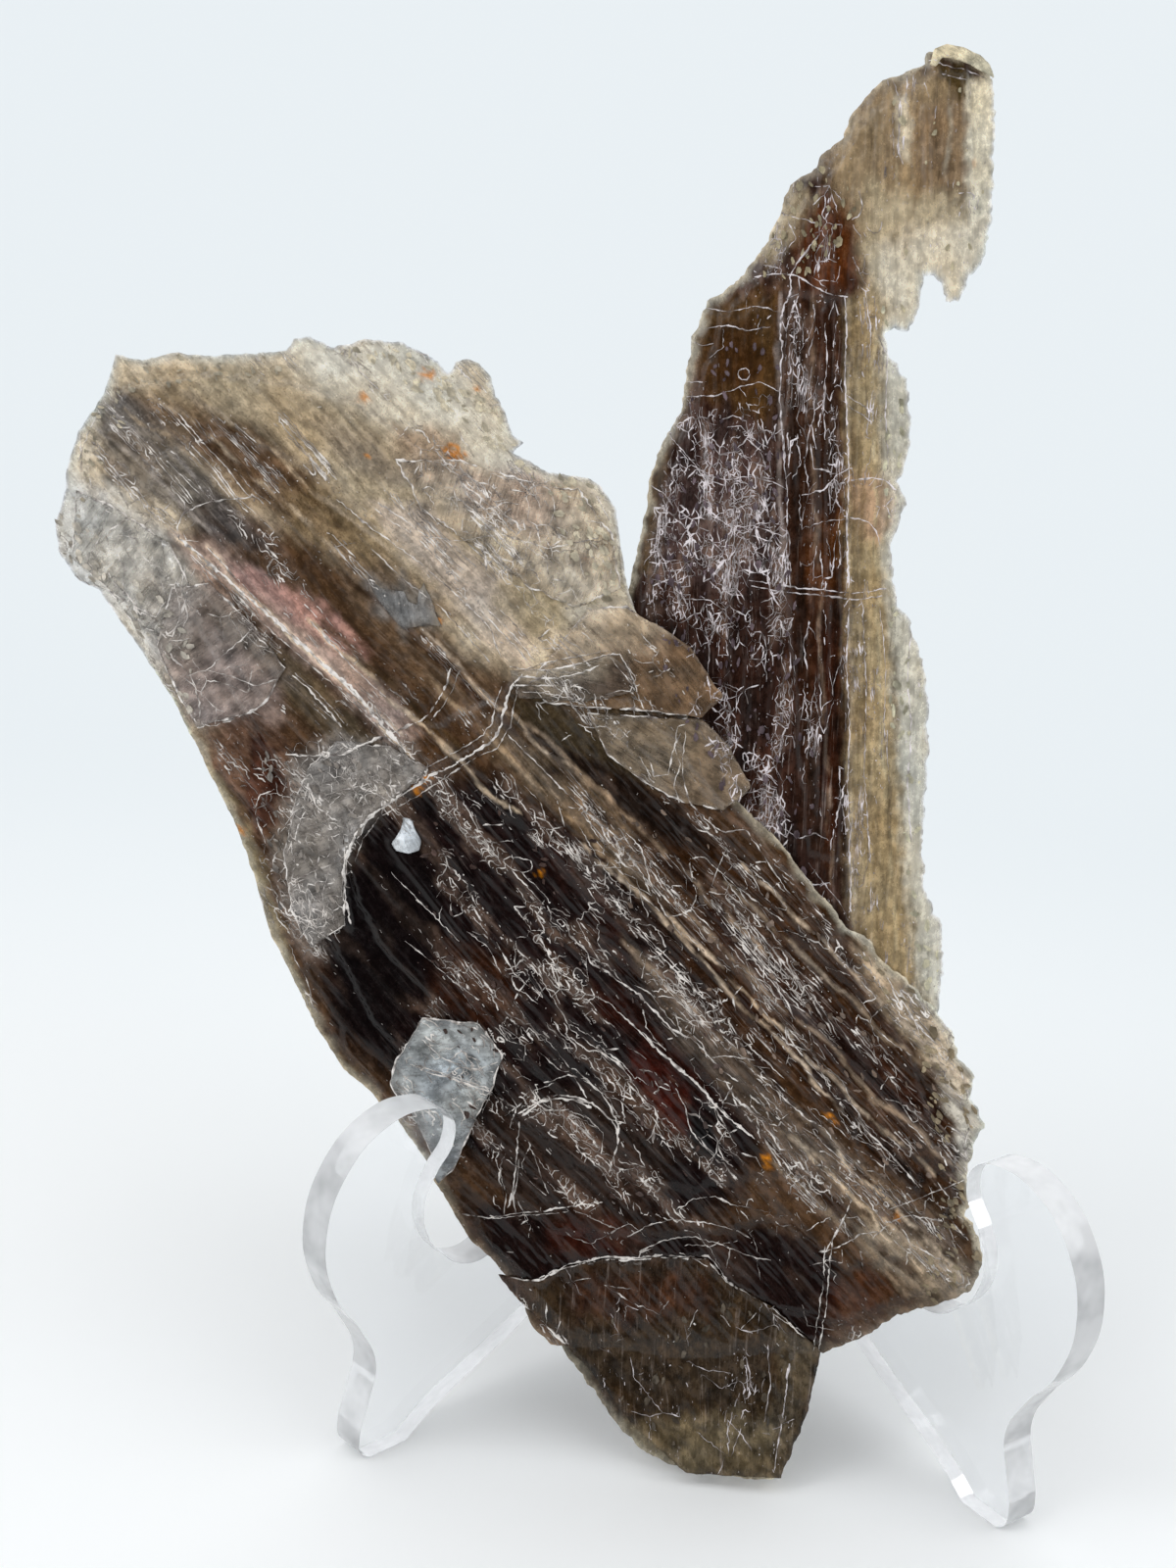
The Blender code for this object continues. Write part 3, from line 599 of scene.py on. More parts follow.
MAIN_BASE = (78, 60, 47)
MAIN_PATCHES = [
    # colour, softness mm, strength, clearness, cracks, speckle, streaks, outline
    # the head: pale along its top and right, brown wedges within
    ((212, 193, 165), 2.2, 1.0, 0.45, 0.35, 0.9, 0.8, [
        (60, 330), (700, 330), (680, 640), (560, 700), (440, 640), (330, 545), (225, 505),
        (150, 560), (215, 760), (150, 760), (30, 620)]),
    ((158, 140, 112), 1.4, 0.55, 0.38, 0.30, 1.0, 0.5, [
        (118, 372), (250, 364), (420, 372), (500, 452), (440, 470), (330, 405), (200, 392)]),
    ((214, 203, 182), 1.6, 0.8, 0.60, 0.35, 0.7, 0.6, [
        (300, 340), (420, 340), (470, 380), (520, 440), (640, 500), (650, 610), (600, 640),
        (500, 560), (420, 470), (300, 400)]),
    ((140, 121, 92), 1.6, 0.7, 0.28, 0.25, 1.0, 0.7, [
        (118, 385), (220, 375), (330, 395), (400, 440), (470, 520), (520, 600), (500, 640),
        (400, 590), (330, 545), (240, 500), (150, 440)]),
    ((98, 79, 63), 1.3, 0.85, 0.12, 0.40, 0.8, 0.9, [
        (112, 395), (170, 400), (250, 430), (330, 490), (390, 560), (470, 625), (440, 650),
        (380, 600), (317, 553), (238, 500), (170, 450), (120, 420)]),
    ((82, 62, 49), 0.9, 0.7, 0.1, 0.40, 0.8, 1.0, [
        (200, 425), (262, 440), (320, 490), (360, 540), (330, 545), (262, 500), (205, 465)]),
    ((132, 112, 84), 1.2, 0.6, 0.2, 0.15, 1.0, 0.2, [
        (290, 500), (350, 500), (400, 560), (370, 585), (300, 545)]),
    ((86, 82, 80), 1.1, 0.85, 0.15, 0.65, 0.4, 1.0, [
        (92, 410), (130, 400), (175, 440), (230, 500), (280, 560), (240, 560), (170, 520),
        (110, 500)]),
    # milky left edge, and the slanting grey, pink and brown bands
    ((224, 220, 211), 1.3, 0.95, 0.55, 0.45, 0.2, 0.4, [
        (60, 480), (110, 500), (170, 545), (205, 590), (200, 650), (170, 690), (125, 640),
        (70, 600), (50, 540)]),
    ((142, 127, 116), 1.2, 0.7, 0.25, 0.6, 0.2, 0.5, [
        (150, 590), (200, 590), (230, 660), (220, 720), (190, 735), (160, 680)]),
    ((176, 154, 142), 1.0, 0.8, 0.12, 0.55, 0.3, 0.9, [
        (180, 545), (225, 556), (290, 610), (350, 665), (400, 712), (430, 750), (400, 760),
        (340, 700), (270, 640), (205, 590)]),
    ((168, 131, 122), 0.7, 0.75, 0.08, 0.45, 0.3, 0.9, [
        (236, 575), (300, 600), (350, 632), (378, 668), (350, 668), (300, 632), (250, 606)]),
    ((118, 104, 84), 0.8, 0.7, 0.10, 0.30, 0.3, 0.9, [
        (215, 605), (262, 640), (340, 706), (400, 770), (360, 770), (290, 705), (230, 650)]),
    ((102, 83, 66), 1.0, 0.8, 0.08, 0.30, 0.4, 0.9, [
        (350, 560), (420, 620), (500, 690), (520, 730), (480, 740), (420, 690), (360, 620)]),
    # painted sheen: the grey patch under the silver flake, standing in for its reflected sheen
    ((128, 128, 126), 0.8, 0.6, 0.15, 0.55, 0.2, 0.8, [
        (378, 588), (400, 604), (416, 586), (424, 606), (452, 604), (440, 622), (456, 644),
        (430, 636), (412, 650), (404, 628), (384, 626)]),
    # the head's crackled right half and its pale right end
    ((188, 171, 156), 0.8, 0.7, 0.25, 0.75, 0.3, 0.9, [
        (380, 512), (440, 520), (470, 560), (530, 600), (545, 690), (500, 660), (450, 600),
        (400, 550)]),
    ((170, 142, 116), 0.8, 0.55, 0.25, 0.6, 0.7, 0.3, [
        (400, 435), (450, 440), (500, 500), (560, 500), (590, 550), (560, 570), (490, 530),
        (430, 480)]),
    ((150, 128, 108), 0.9, 0.7, 0.25, 0.5, 1.0, 0.5, [
        (404, 446), (440, 430), (470, 446), (476, 480), (440, 500), (410, 484)]),
    ((190, 164, 150), 1.0, 0.7, 0.30, 0.8, 0.5, 0.6, [
        (470, 486), (540, 478), (590, 500), (580, 540), (520, 540), (476, 520)]),
    ((216, 210, 194), 0.9, 0.6, 0.45, 0.4, 0.6, 0.7, [
        (300, 356), (420, 352), (470, 384), (500, 430), (470, 440), (400, 392), (320, 380)]),
    ((134, 122, 110), 1.0, 0.6, 0.25, 0.4, 0.9, 0.8, [
        (320, 430), (380, 446), (420, 490), (400, 500), (350, 470)]),
    ((138, 120, 86), 0.9, 0.7, 0.30, 0.3, 1.0, 0.4, [
        (510, 600), (545, 580), (580, 600), (578, 640), (540, 650), (512, 630)]),
    ((202, 184, 158), 1.0, 0.7, 0.50, 0.30, 0.9, 0.3, [
        (560, 490), (610, 495), (640, 560), (640, 610), (600, 620), (575, 560)]),
    # left wing, the brown below it and the crackled sheet
    ((148, 129, 120), 1.0, 0.8, 0.15, 0.55, 0.3, 0.4, [
        (178, 672), (250, 668), (292, 690), (285, 735), (230, 742), (195, 740)]),
    ((98, 75, 62), 1.0, 0.9, 0.06, 0.45, 0.4, 0.6, [
        (200, 748), (262, 730), (300, 755), (296, 840), (266, 860), (228, 830)]),
    ((78, 68, 56), 0.9, 0.7, 0.05, 0.35, 0.4, 0.9, [
        (285, 655), (345, 715), (400, 770), (380, 790), (320, 745), (280, 700)]),
    ((138, 130, 122), 1.1, 0.9, 0.10, 1.0, 0.3, 0.5, [
        (304, 776), (340, 754), (420, 760), (440, 800), (400, 830), (362, 870), (350, 950),
        (320, 975), (298, 940), (284, 880), (292, 830)]),
    # rust-brown left margin
    ((56, 33, 25), 0.45, 0.95, 0.0, 0.20, 0.2, 0.5, [
        (264, 748), (284, 764), (292, 800), (284, 838), (268, 850), (254, 834), (252, 790)]),
    ((104, 72, 60), 0.3, 0.6, 0.05, 0.2, 0.2, 0.5, [
        (256, 786), (266, 770), (272, 800), (266, 836), (258, 826)]),
    ((126, 114, 88), 0.5, 0.7, 0.35, 0.3, 0.5, 0.2, [
        (198, 765), (222, 790), (258, 850), (276, 910), (300, 980), (320, 1040), (300, 1010),
        (262, 930), (230, 850)]),
    # the dark core, with its blackest part, redder spots and streaks
    ((32, 18, 11), 1.6, 1.0, 0.0, 0.75, 0.1, 0.5, [
        (372, 838), (430, 800), (505, 790), (600, 850), (700, 960), (770, 1060), (790, 1130),
        (760, 1230), (660, 1250), (560, 1240), (480, 1180), (420, 1110), (350, 1060),
        (322, 980), (348, 900)]),
    ((21, 13, 11), 1.2, 1.0, 0.0, 0.12, 0.0, 0.25, [
        (384, 850), (440, 862), (452, 940), (440, 1010), (400, 1060), (350, 1050),
        (335, 985), (352, 900)]),
    ((74, 60, 52), 1.0, 0.5, 0.0, 1.0, 0.2, 0.6, [
        (490, 1120), (620, 1108), (690, 1180), (664, 1232), (520, 1240)]),
    ((62, 40, 24), 1.2, 0.7, 0.0, 0.4, 0.1, 0.8, [
        (455, 960), (520, 975), (530, 1030), (480, 1045), (450, 1010)]),
    ((52, 30, 20), 0.8, 0.9, 0.0, 0.15, 0.0, 0.5, [
        (600, 1000), (640, 1012), (680, 1052), (716, 1092), (716, 1112), (690, 1094),
        (650, 1056), (612, 1030)]),
    ((66, 34, 19), 0.7, 0.9, 0.0, 0.15, 0.0, 0.4, [
        (640, 1066), (676, 1082), (700, 1110), (703, 1150), (684, 1156), (660, 1124),
        (646, 1096)]),
    ((12, 8, 7), 0.5, 0.9, 0.0, 0.1, 0.0, 0.2, [
        (706, 1134), (728, 1140), (730, 1172), (708, 1180), (700, 1160)]),
    ((48, 28, 19), 0.9, 0.8, 0.0, 0.2, 0.0, 0.6, [
        (560, 860), (610, 905), (650, 950), (636, 968), (596, 930), (560, 890)]),
    ((44, 27, 19), 0.9, 0.8, 0.0, 0.3, 0.0, 0.6, [
        (600, 930), (650, 985), (700, 1030), (690, 1044), (640, 1000), (596, 950)]),
    # the streaked right-hand side, palest at its torn ends
    ((74, 65, 52), 1.0, 0.85, 0.05, 0.5, 0.3, 0.5, [
        (528, 712), (600, 712), (690, 730), (720, 760), (700, 800), (640, 800), (560, 760),
        (525, 740)]),
    ((33, 23, 17), 0.9, 0.95, 0.0, 0.35, 0.1, 0.5, [
        (540, 748), (600, 770), (680, 812), (760, 870), (790, 920), (740, 910), (660, 850),
        (580, 800)]),
    ((118, 101, 82), 0.8, 0.8, 0.05, 0.6, 0.2, 1.0, [
        (505, 735), (560, 770), (620, 820), (680, 880), (720, 930), (700, 940), (630, 880),
        (560, 820), (500, 765)]),
    ((60, 41, 29), 1.2, 0.85, 0.06, 0.52, 0.2, 1.0, [
        (640, 860), (740, 860), (820, 900), (900, 980), (975, 1060), (1000, 1140),
        (990, 1230), (900, 1200), (800, 1100), (700, 980)]),
    ((48, 29, 19), 0.7, 0.80, 0.0, 0.4, 0.1, 1.0, [
        (700, 900), (790, 960), (880, 1050), (960, 1130), (950, 1160), (860, 1090),
        (760, 990)]),
    ((110, 93, 78), 0.7, 0.7, 0.10, 0.8, 0.2, 1.0, [
        (640, 960), (720, 1040), (810, 1130), (900, 1215), (880, 1240), (780, 1160),
        (690, 1060)]),
    ((102, 86, 72), 1.0, 0.75, 0.12, 0.8, 0.2, 1.0, [
        (800, 1130), (880, 1180), (960, 1240), (990, 1300), (950, 1325), (880, 1270),
        (800, 1190)]),
    ((156, 140, 120), 0.8, 0.8, 0.30, 0.6, 0.2, 1.0, [
        (862, 1238), (930, 1262), (985, 1290), (990, 1318), (950, 1328), (900, 1290)]),
    ((206, 196, 178), 0.6, 0.8, 0.40, 0.4, 0.3, 0.7, [
        (950, 1016), (985, 1035), (1000, 1090), (1004, 1160), (985, 1180), (966, 1130),
        (946, 1070)]),
    ((186, 168, 144), 0.9, 0.7, 0.20, 0.6, 0.3, 0.9, [
        (870, 950), (930, 1010), (985, 1080), (1000, 1130), (950, 1090), (890, 1010)]),
    # the dark foot above the tail, and the pale lower left margin
    ((28, 14, 7), 1.2, 0.95, 0.0, 0.16, 0.2, 0.3, [
        (470, 1215), (560, 1236), (700, 1250), (820, 1250), (860, 1290), (850, 1370),
        (760, 1376), (620, 1370), (550, 1350), (500, 1280)]),
    ((72, 40, 22), 0.9, 0.5, 0.0, 0.3, 0.1, 0.3, [
        (560, 1240), (620, 1238), (660, 1262), (610, 1280), (560, 1270)]),
    ((80, 46, 25), 1.0, 0.5, 0.0, 0.3, 0.1, 0.3, [
        (846, 1305), (900, 1296), (912, 1330), (870, 1345), (846, 1340)]),
    ((98, 80, 56), 0.6, 0.7, 0.3, 0.4, 0.2, 0.2, [
        (330, 1060), (380, 1110), (430, 1190), (480, 1262), (530, 1330), (505, 1310),
        (440, 1220), (370, 1130)]),
]
UPRIGHT_BASE = (66, 50, 44)
UPRIGHT_PATCHES = [
    # the crackled, violet-brown lower left
    ((62, 44, 38), 1.6, 1.0, 0.0, 1.0, 0.3, 0.8, [
        (660, 560), (680, 480), (710, 400), (790, 400), (800, 500), (804, 640), (820, 800),
        (850, 930), (800, 900), (740, 800), (690, 700), (650, 640)]),
    ((92, 78, 76), 1.1, 0.40, 0.0, 1.0, 0.1, 0.7, [
        (660, 560), (690, 470), (730, 420), (780, 430), (792, 500), (790, 580), (740, 600),
        (690, 600)]),
    ((46, 30, 25), 0.6, 0.8, 0.0, 0.3, 0.2, 0.4, [
        (672, 462), (688, 436), (712, 440), (712, 472), (694, 488), (676, 484)]),
    ((50, 35, 30), 0.9, 0.45, 0.0, 0.7, 0.2, 0.5, [
        (730, 640), (770, 620), (800, 640), (806, 720), (776, 740), (740, 700)]),
    # the brown shoulder and the slope above it
    ((92, 70, 49), 1.2, 0.9, 0.08, 0.45, 0.5, 0.4, [
        (712, 330), (760, 296), (796, 296), (798, 400), (780, 430), (720, 400)]),
    ((64, 44, 31), 0.9, 0.7, 0.02, 0.4, 0.4, 0.4, [
        (722, 340), (768, 330), (784, 370), (760, 400), (722, 392)]),
    ((94, 57, 39), 1.2, 0.85, 0.05, 0.35, 0.3, 0.7, [
        (822, 205), (880, 195), (890, 240), (868, 290), (824, 292), (812, 250)]),
    ((162, 145, 118), 0.9, 0.85, 0.30, 0.55, 0.2, 0.3, [
        (790, 210), (812, 190), (830, 200), (812, 240), (790, 266), (770, 262)]),
    # the pale top with its dark window, bright edge and tab
    ((144, 121, 92), 1.3, 0.9, 0.42, 0.35, 0.3, 0.9, [
        (840, 150), (870, 110), (905, 76), (950, 62), (990, 90), (992, 200), (940, 230),
        (880, 240), (850, 190)]),
    ((124, 96, 72), 0.9, 0.6, 0.38, 0.3, 0.3, 0.9, [
        (935, 110), (985, 104), (988, 180), (965, 200), (935, 180)]),
    ((66, 54, 30), 0.4, 0.9, 0.05, 0.2, 0.2, 0.5, [
        (954, 62), (990, 72), (990, 92), (980, 100), (962, 84)]),
    ((214, 200, 174), 0.35, 0.8, 0.40, 0.4, 0.1, 0.9, [
        (912, 92), (924, 90), (930, 130), (926, 164), (916, 150)]),
    ((180, 163, 133), 1.4, 0.9, 0.45, 0.35, 0.4, 0.4, [
        (885, 190), (960, 200), (1010, 210), (1010, 300), (930, 340), (900, 330),
        (880, 260)]),
    ((250, 240, 214), 0.5, 0.95, 0.22, 0.2, 0.1, 0.2, [
        (990, 76), (1020, 80), (1020, 240), (992, 240), (986, 160)]),
    ((236, 221, 194), 0.9, 0.85, 0.40, 0.4, 0.2, 0.4, [
        (900, 240), (1012, 215), (1012, 310), (930, 345), (902, 335), (895, 290)]),
    # the dark fold strip
    ((60, 41, 32), 1.0, 0.85, 0.0, 0.65, 0.3, 0.8, [
        (800, 300), (866, 300), (866, 480), (864, 640), (868, 920), (820, 860),
        (806, 640), (798, 460)]),
    ((84, 54, 37), 0.9, 0.7, 0.03, 0.4, 0.2, 0.6, [
        (822, 535), (862, 530), (864, 600), (826, 604)]),
    ((60, 37, 29), 0.6, 0.8, 0.0, 0.3, 0.2, 1.0, [
        (830, 636), (862, 636), (864, 880), (836, 860)]),
    # the olive and the pale strips down the right
    ((160, 139, 106), 1.0, 0.95, 0.28, 0.35, 0.6, 0.9, [
        (866, 300), (908, 300), (912, 480), (910, 640), (920, 760), (940, 900), (950, 1060),
        (900, 1000), (868, 930), (866, 600)]),
    ((200, 195, 178), 0.8, 0.85, 0.5, 0.35, 0.3, 0.6, [
        (902, 340), (940, 380), (930, 500), (926, 620), (960, 690), (960, 860), (976, 960),
        (976, 1060), (940, 1020), (922, 880), (914, 700), (902, 560)]),
    ((176, 142, 120), 0.8, 0.6, 0.25, 0.45, 0.3, 0.3, [
        (868, 488), (908, 486), (914, 540), (880, 552)]),
    # the thin left margin
    ((96, 78, 58), 0.5, 0.7, 0.2, 0.4, 0.3, 0.3, [
        (645, 590), (658, 510), (690, 410), (708, 330), (735, 290), (745, 300), (716, 350),
        (700, 420), (672, 500), (662, 590)]),
    # the tail
    ((52, 40, 29), 1.4, 1.0, 0.08, 0.30, 0.2, 0.6, [
        (540, 1290), (740, 1280), (840, 1330), (830, 1520), (640, 1520), (540, 1380)]),
    ((36, 23, 15), 1.0, 0.8, 0.05, 0.3, 0.1, 0.4, [
        (545, 1285), (640, 1278), (730, 1284), (744, 1330), (650, 1352), (580, 1345)]),
    ((76, 42, 23), 1.1, 0.45, 0.10, 0.2, 0.1, 0.3, [
        (580, 1305), (650, 1300), (720, 1305), (724, 1345), (640, 1356), (590, 1340)]),
    ((56, 48, 41), 1.2, 0.7, 0.12, 0.35, 0.1, 0.6, [
        (580, 1340), (700, 1350), (790, 1360), (780, 1430), (680, 1430), (600, 1400)]),
    ((118, 105, 82), 0.9, 0.8, 0.35, 0.25, 0.2, 0.4, [
        (640, 1455), (700, 1440), (790, 1450), (800, 1515), (700, 1515), (640, 1490)]),
    ((104, 92, 74), 0.5, 0.7, 0.28, 0.4, 0.2, 0.9, [
        (790, 1350), (842, 1370), (820, 1440), (796, 1512), (780, 1500), (796, 1420)]),
]


# grain angle, plain tone, patches, seed
MAIN_PAINT = (MAIN_GRAIN, MAIN_BASE, MAIN_PATCHES, 41)
UPRIGHT_PAINT = (UPRIGHT_GRAIN, UPRIGHT_BASE, UPRIGHT_PATCHES, 51)


def coloured(p, q, paint, clear):
    """Tone and mark strengths of points, from feathered patches warped along the grain."""
    angle, base, patches, seed = paint
    along, across = grain_coordinates(p, q, angle, seed, 1.0)
    turn = math.radians(angle)
    stretch = 1.3 * fractal(along * 0.16, across * 0.55, seed + 1, 4)
    shake = 0.5 * fractal(p * 0.8, q * 0.8, seed + 2, 3)
    p2 = p + stretch * math.cos(turn) - shake * math.sin(turn)
    q2 = q + stretch * math.sin(turn) + shake * math.cos(turn)
    ragged = 0.5 * fractal(along * 0.3, across * 1.6, seed + 3, 3)
    values = np.empty(p.shape + (7,))
    values[..., :3] = tone(*base)
    values[..., 3:] = (clear, 0.5, 0.3, 0.5)
    for colour, soft, strength, clearness, cracks, speckle, streaks, outline in patches:
        ring = on_plane(outline)
        depth = depth_in(p2, q2, ring, soft + 3.0) + ragged * min(soft, 1.0)
        weight = (strength * smooth(depth, -soft, soft))[..., None]
        target = np.concatenate([tone(*colour), (clearness, cracks, speckle, streaks)])
        values = values * (1 - weight) + target * weight
    return values


# tone, half width mm, strength, line
MAIN_STRIPES = [
    ((206, 188, 166), 0.16, 0.8, [(186, 551), (277, 630), (364, 706), (396, 745), (440, 790)]),
    ((196, 178, 158), 0.12, 0.7, [(213, 560), (280, 630), (360, 702), (410, 750)]),
    ((60, 46, 36), 0.30, 0.8, [(215, 590), (290, 655), (375, 735), (420, 785)]),
    ((74, 60, 46), 0.35, 0.8, [(330, 640), (400, 700), (470, 765)]),
    ((188, 170, 148), 0.14, 0.7, [(317, 634), (400, 712), (470, 775), (530, 830)]),
    ((52, 38, 30), 0.30, 0.8, [(400, 620), (470, 690), (540, 760)]),
    ((176, 158, 138), 0.12, 0.7, [(345, 560), (430, 640), (510, 720), (600, 800)]),
    ((66, 50, 40), 0.25, 0.7, [(360, 590), (440, 662), (505, 728)]),
    ((150, 130, 108), 0.20, 0.7, [(440, 690), (520, 770), (600, 850), (660, 920)]),
    ((40, 26, 20), 0.40, 0.8, [(545, 770), (640, 850), (740, 930), (800, 990)]),
    ((158, 138, 118), 0.18, 0.7, [(540, 740), (620, 812), (700, 890), (780, 975)]),
    ((44, 30, 22), 0.45, 0.8, [(660, 930), (760, 1030), (860, 1130), (930, 1200)]),
    ((150, 132, 114), 0.16, 0.7, [(690, 920), (790, 1015), (900, 1120), (985, 1200)]),
    ((146, 128, 110), 0.20, 0.7, [(640, 960), (740, 1060), (840, 1155), (960, 1270)]),
    ((42, 26, 20), 0.35, 0.8, [(620, 990), (720, 1095), (810, 1190), (870, 1250)]),
    ((150, 134, 116), 0.15, 0.7, [(740, 900), (840, 990), (930, 1080), (985, 1130)]),
    ((50, 34, 26), 0.35, 0.7, [(760, 900), (860, 1000), (960, 1100)]),
    ((168, 150, 130), 0.16, 0.7, [(800, 1150), (880, 1225), (960, 1300)]),
    ((58, 42, 32), 0.25, 0.8, [(830, 1150), (900, 1215), (975, 1285)]),
    ((54, 38, 28), 0.30, 0.85, [(820, 1190), (880, 1252), (950, 1318)]),
    ((62, 44, 33), 0.22, 0.8, [(850, 1130), (920, 1200), (985, 1262)]),
    ((206, 188, 166), 0.12, 0.8, [(840, 1160), (905, 1224), (980, 1300)]),
    ((200, 182, 160), 0.12, 0.8, [(810, 1160), (870, 1220), (940, 1296)]),
    ((44, 28, 20), 0.40, 0.8, [(700, 960), (790, 1050), (880, 1140), (940, 1200)]),
    ((190, 172, 152), 0.12, 0.8, [(680, 930), (770, 1020), (860, 1110), (950, 1196)]),
    ((186, 168, 148), 0.12, 0.7, [(600, 860), (690, 950), (780, 1046), (860, 1130)]),
    ((198, 180, 160), 0.12, 0.7, [(760, 880), (850, 972), (940, 1060), (990, 1110)]),
    ((40, 26, 18), 0.35, 0.8, [(590, 880), (680, 975), (770, 1080), (850, 1170)]),
    ((150, 132, 112), 0.15, 0.6, [(790, 1180), (850, 1240), (930, 1320)]),
    ((176, 158, 136), 0.14, 0.7, [(150, 398), (215, 446), (290, 512), (350, 566)]),
    ((168, 150, 128), 0.12, 0.7, [(185, 400), (250, 440), (330, 506), (400, 566)]),
    ((160, 142, 120), 0.12, 0.6, [(130, 420), (190, 462), (262, 520)]),
    ((52, 38, 30), 0.18, 0.6, [(160, 412), (226, 462), (300, 528)]),
    ((60, 44, 32), 0.16, 0.6, [(210, 418), (280, 476), (352, 540)]),
    ((178, 164, 148), 0.12, 0.6, [(420, 560), (480, 612), (530, 668)]),
    ((186, 172, 156), 0.14, 0.6, [(400, 540), (470, 590), (520, 640)]),
    ((160, 150, 142), 0.14, 0.6, [(95, 430), (150, 480), (215, 545)]),
    ((150, 142, 136), 0.12, 0.6, [(110, 415), (180, 470), (250, 530)]),
    ((64, 52, 44), 0.22, 0.6, [(100, 425), (170, 485), (240, 545)]),
]
UPRIGHT_STRIPES = [
    ((150, 138, 132), 0.16, 0.6, [(797, 300), (794, 400), (800, 600)]),
    ((40, 28, 22), 0.30, 0.7, [(812, 310), (812, 450), (818, 640), (836, 880)]),
    ((128, 108, 92), 0.14, 0.6, [(828, 300), (830, 460), (836, 640), (850, 900)]),
    ((44, 30, 24), 0.25, 0.7, [(850, 310), (852, 500), (856, 700), (862, 920)]),
    ((176, 160, 134), 0.12, 0.6, [(866, 300), (866, 500), (868, 800), (874, 960)]),
    ((118, 98, 70), 0.20, 0.6, [(880, 330), (880, 520), (884, 760), (900, 980)]),
    ((186, 170, 138), 0.14, 0.6, [(892, 340), (894, 540), (900, 760), (916, 980)]),
    ((120, 104, 78), 0.16, 0.6, [(904, 360), (906, 560), (914, 760), (934, 960)]),
    ((190, 174, 144), 0.12, 0.5, [(920, 130), (914, 200), (900, 280)]),
    ((118, 94, 68), 0.18, 0.5, [(940, 110), (936, 200), (922, 260)]),
    ((190, 178, 156), 0.14, 0.5, [(968, 110), (966, 200)]),
]


def add_stripes(p, q, values, stripes, seed):
    """Long thin streaks of lighter or darker stone that come and go."""
    for number, (colour, width, strength, line) in enumerate(stripes):
        shift = 0.5 * fractal(p * 0.25, q * 0.25, seed + number, 2)
        away = line_distance(p + shift, q + shift, on_plane(line))
        broken = smooth(fractal(p * 0.45, q * 0.45, seed + 40 + number, 3), -0.45, 0.05)
        swell = width * (1 + 0.8 * noise(p * 0.6, q * 0.6, seed + 80 + number))
        weight = (strength * broken * (1 - smooth(away, 0.6 * swell, 1.8 * swell)))[..., None]
        values[..., :3] = values[..., :3] * (1 - weight) + tone(*colour) * weight
    return values


# x, y and radius of the rust spots
RUST = [
    (463, 464, 11), (466, 474, 7), (435, 381, 7), (441, 384, 5), (487, 399, 4), (594, 571, 9),
    (372, 405, 6), (439, 488, 4), (376, 466, 3), (449, 634, 5), (785, 1185, 5), (781, 1178, 4),
    (845, 1135, 4), (852, 1142, 3), (915, 1240, 4), (552, 890, 3.5), (994, 165, 2.5),
    (436, 797, 7), (428, 804, 6), (246, 848, 5), (640, 655, 6), (655, 662, 5)]
RUST_TONE = tone(204, 134, 62)


def add_rust(p, q, values):
    """Small orange-brown stains."""
    for number, (x, y, radius) in enumerate(RUST):
        centre = on_plane([(x, y)])[0]
        away = np.hypot(p - centre[0], q - centre[1])
        uneven = fractal(p * 2.0, q * 2.0, 300 + number, 3)
        reach = radius / PIXELS_PER_MM * (0.85 + 1.3 * uneven)
        weight = (0.8 * smooth(reach - away, -0.14, 0.26))[..., None]
        values[..., :3] = values[..., :3] * (1 - weight) + RUST_TONE * weight
    return values


def mottled(p, q, angle, values, seed):
    """Vary the tone: broad clouds, streaks along the grain and fine grime."""
    along, across = grain_coordinates(p, q, angle, seed, 1.2)
    cloud = fractal(p * 0.30, q * 0.30, seed + 4, 4)
    layer = stepped(fractal(along * 0.20, across * 0.55, seed + 7, 4), 4)
    flake = stepped(fractal(along * 0.65, across * 1.3, seed + 8, 3), 3)
    streak = fractal(along * 0.06, across * 1.5, seed + 5, 4)
    grit = fractal(p * 1.9, q * 1.9, seed + 6, 3)
    calm = 1 - 0.9 * np.clip(values[..., 3], 0, 0.75)
    gain = 1.0 + 0.18 * cloud + calm * (0.40 * layer + 0.20 * flake + 0.08 * grit)
    gain = gain + 0.75 * streak * values[..., 6] * (0.45 + 0.55 * calm)
    values[..., :3] *= np.clip(gain, 0.30, 2.0)[..., None]
    warm = np.clip(fractal(p * 0.16, q * 0.16, seed + 9, 3), -1, 1)[..., None]
    values[..., :3] *= 1 + warm * np.array([0.10, 0.0, -0.14])
    values[..., 3] = np.clip(values[..., 3] * (1 + 0.5 * cloud), 0, 1)
    values[..., :3] = values[..., :3] ** (1 / (1 + 0.9 * values[..., 3:4]))
    return values


def bundles(p, q, angle):
    """Where fine cracks crowd together: long bands along the grain, from -1 to 1."""
    seed = 640 if angle == MAIN_GRAIN else 650
    along, across = grain_coordinates(p, q, angle, seed, 1.2)
    long_bands = fractal(along * 0.07, across * 0.42, seed + 1, 4)
    return np.clip(1.7 * long_bands + 0.5 * fractal(p * 0.45, q * 0.45, seed + 2, 3), -1, 1)


def banded(p, q, angle, values):
    """Paler where cracks crowd together, clean and dark between the bands."""
    band = bundles(p, q, angle)
    opaque = values[..., 4] * np.clip(1 - 1.6 * values[..., 3], 0, 1)
    pale = (0.34 * smooth(band, 0.05, 0.55) * opaque)[..., None]
    values[..., :3] = values[..., :3] * (1 - pale) + tone(142, 120, 106) * pale
    values[..., :3] *= (1 - 0.45 * smooth(-band, 0.0, 0.5) * opaque)[..., None]
    return values


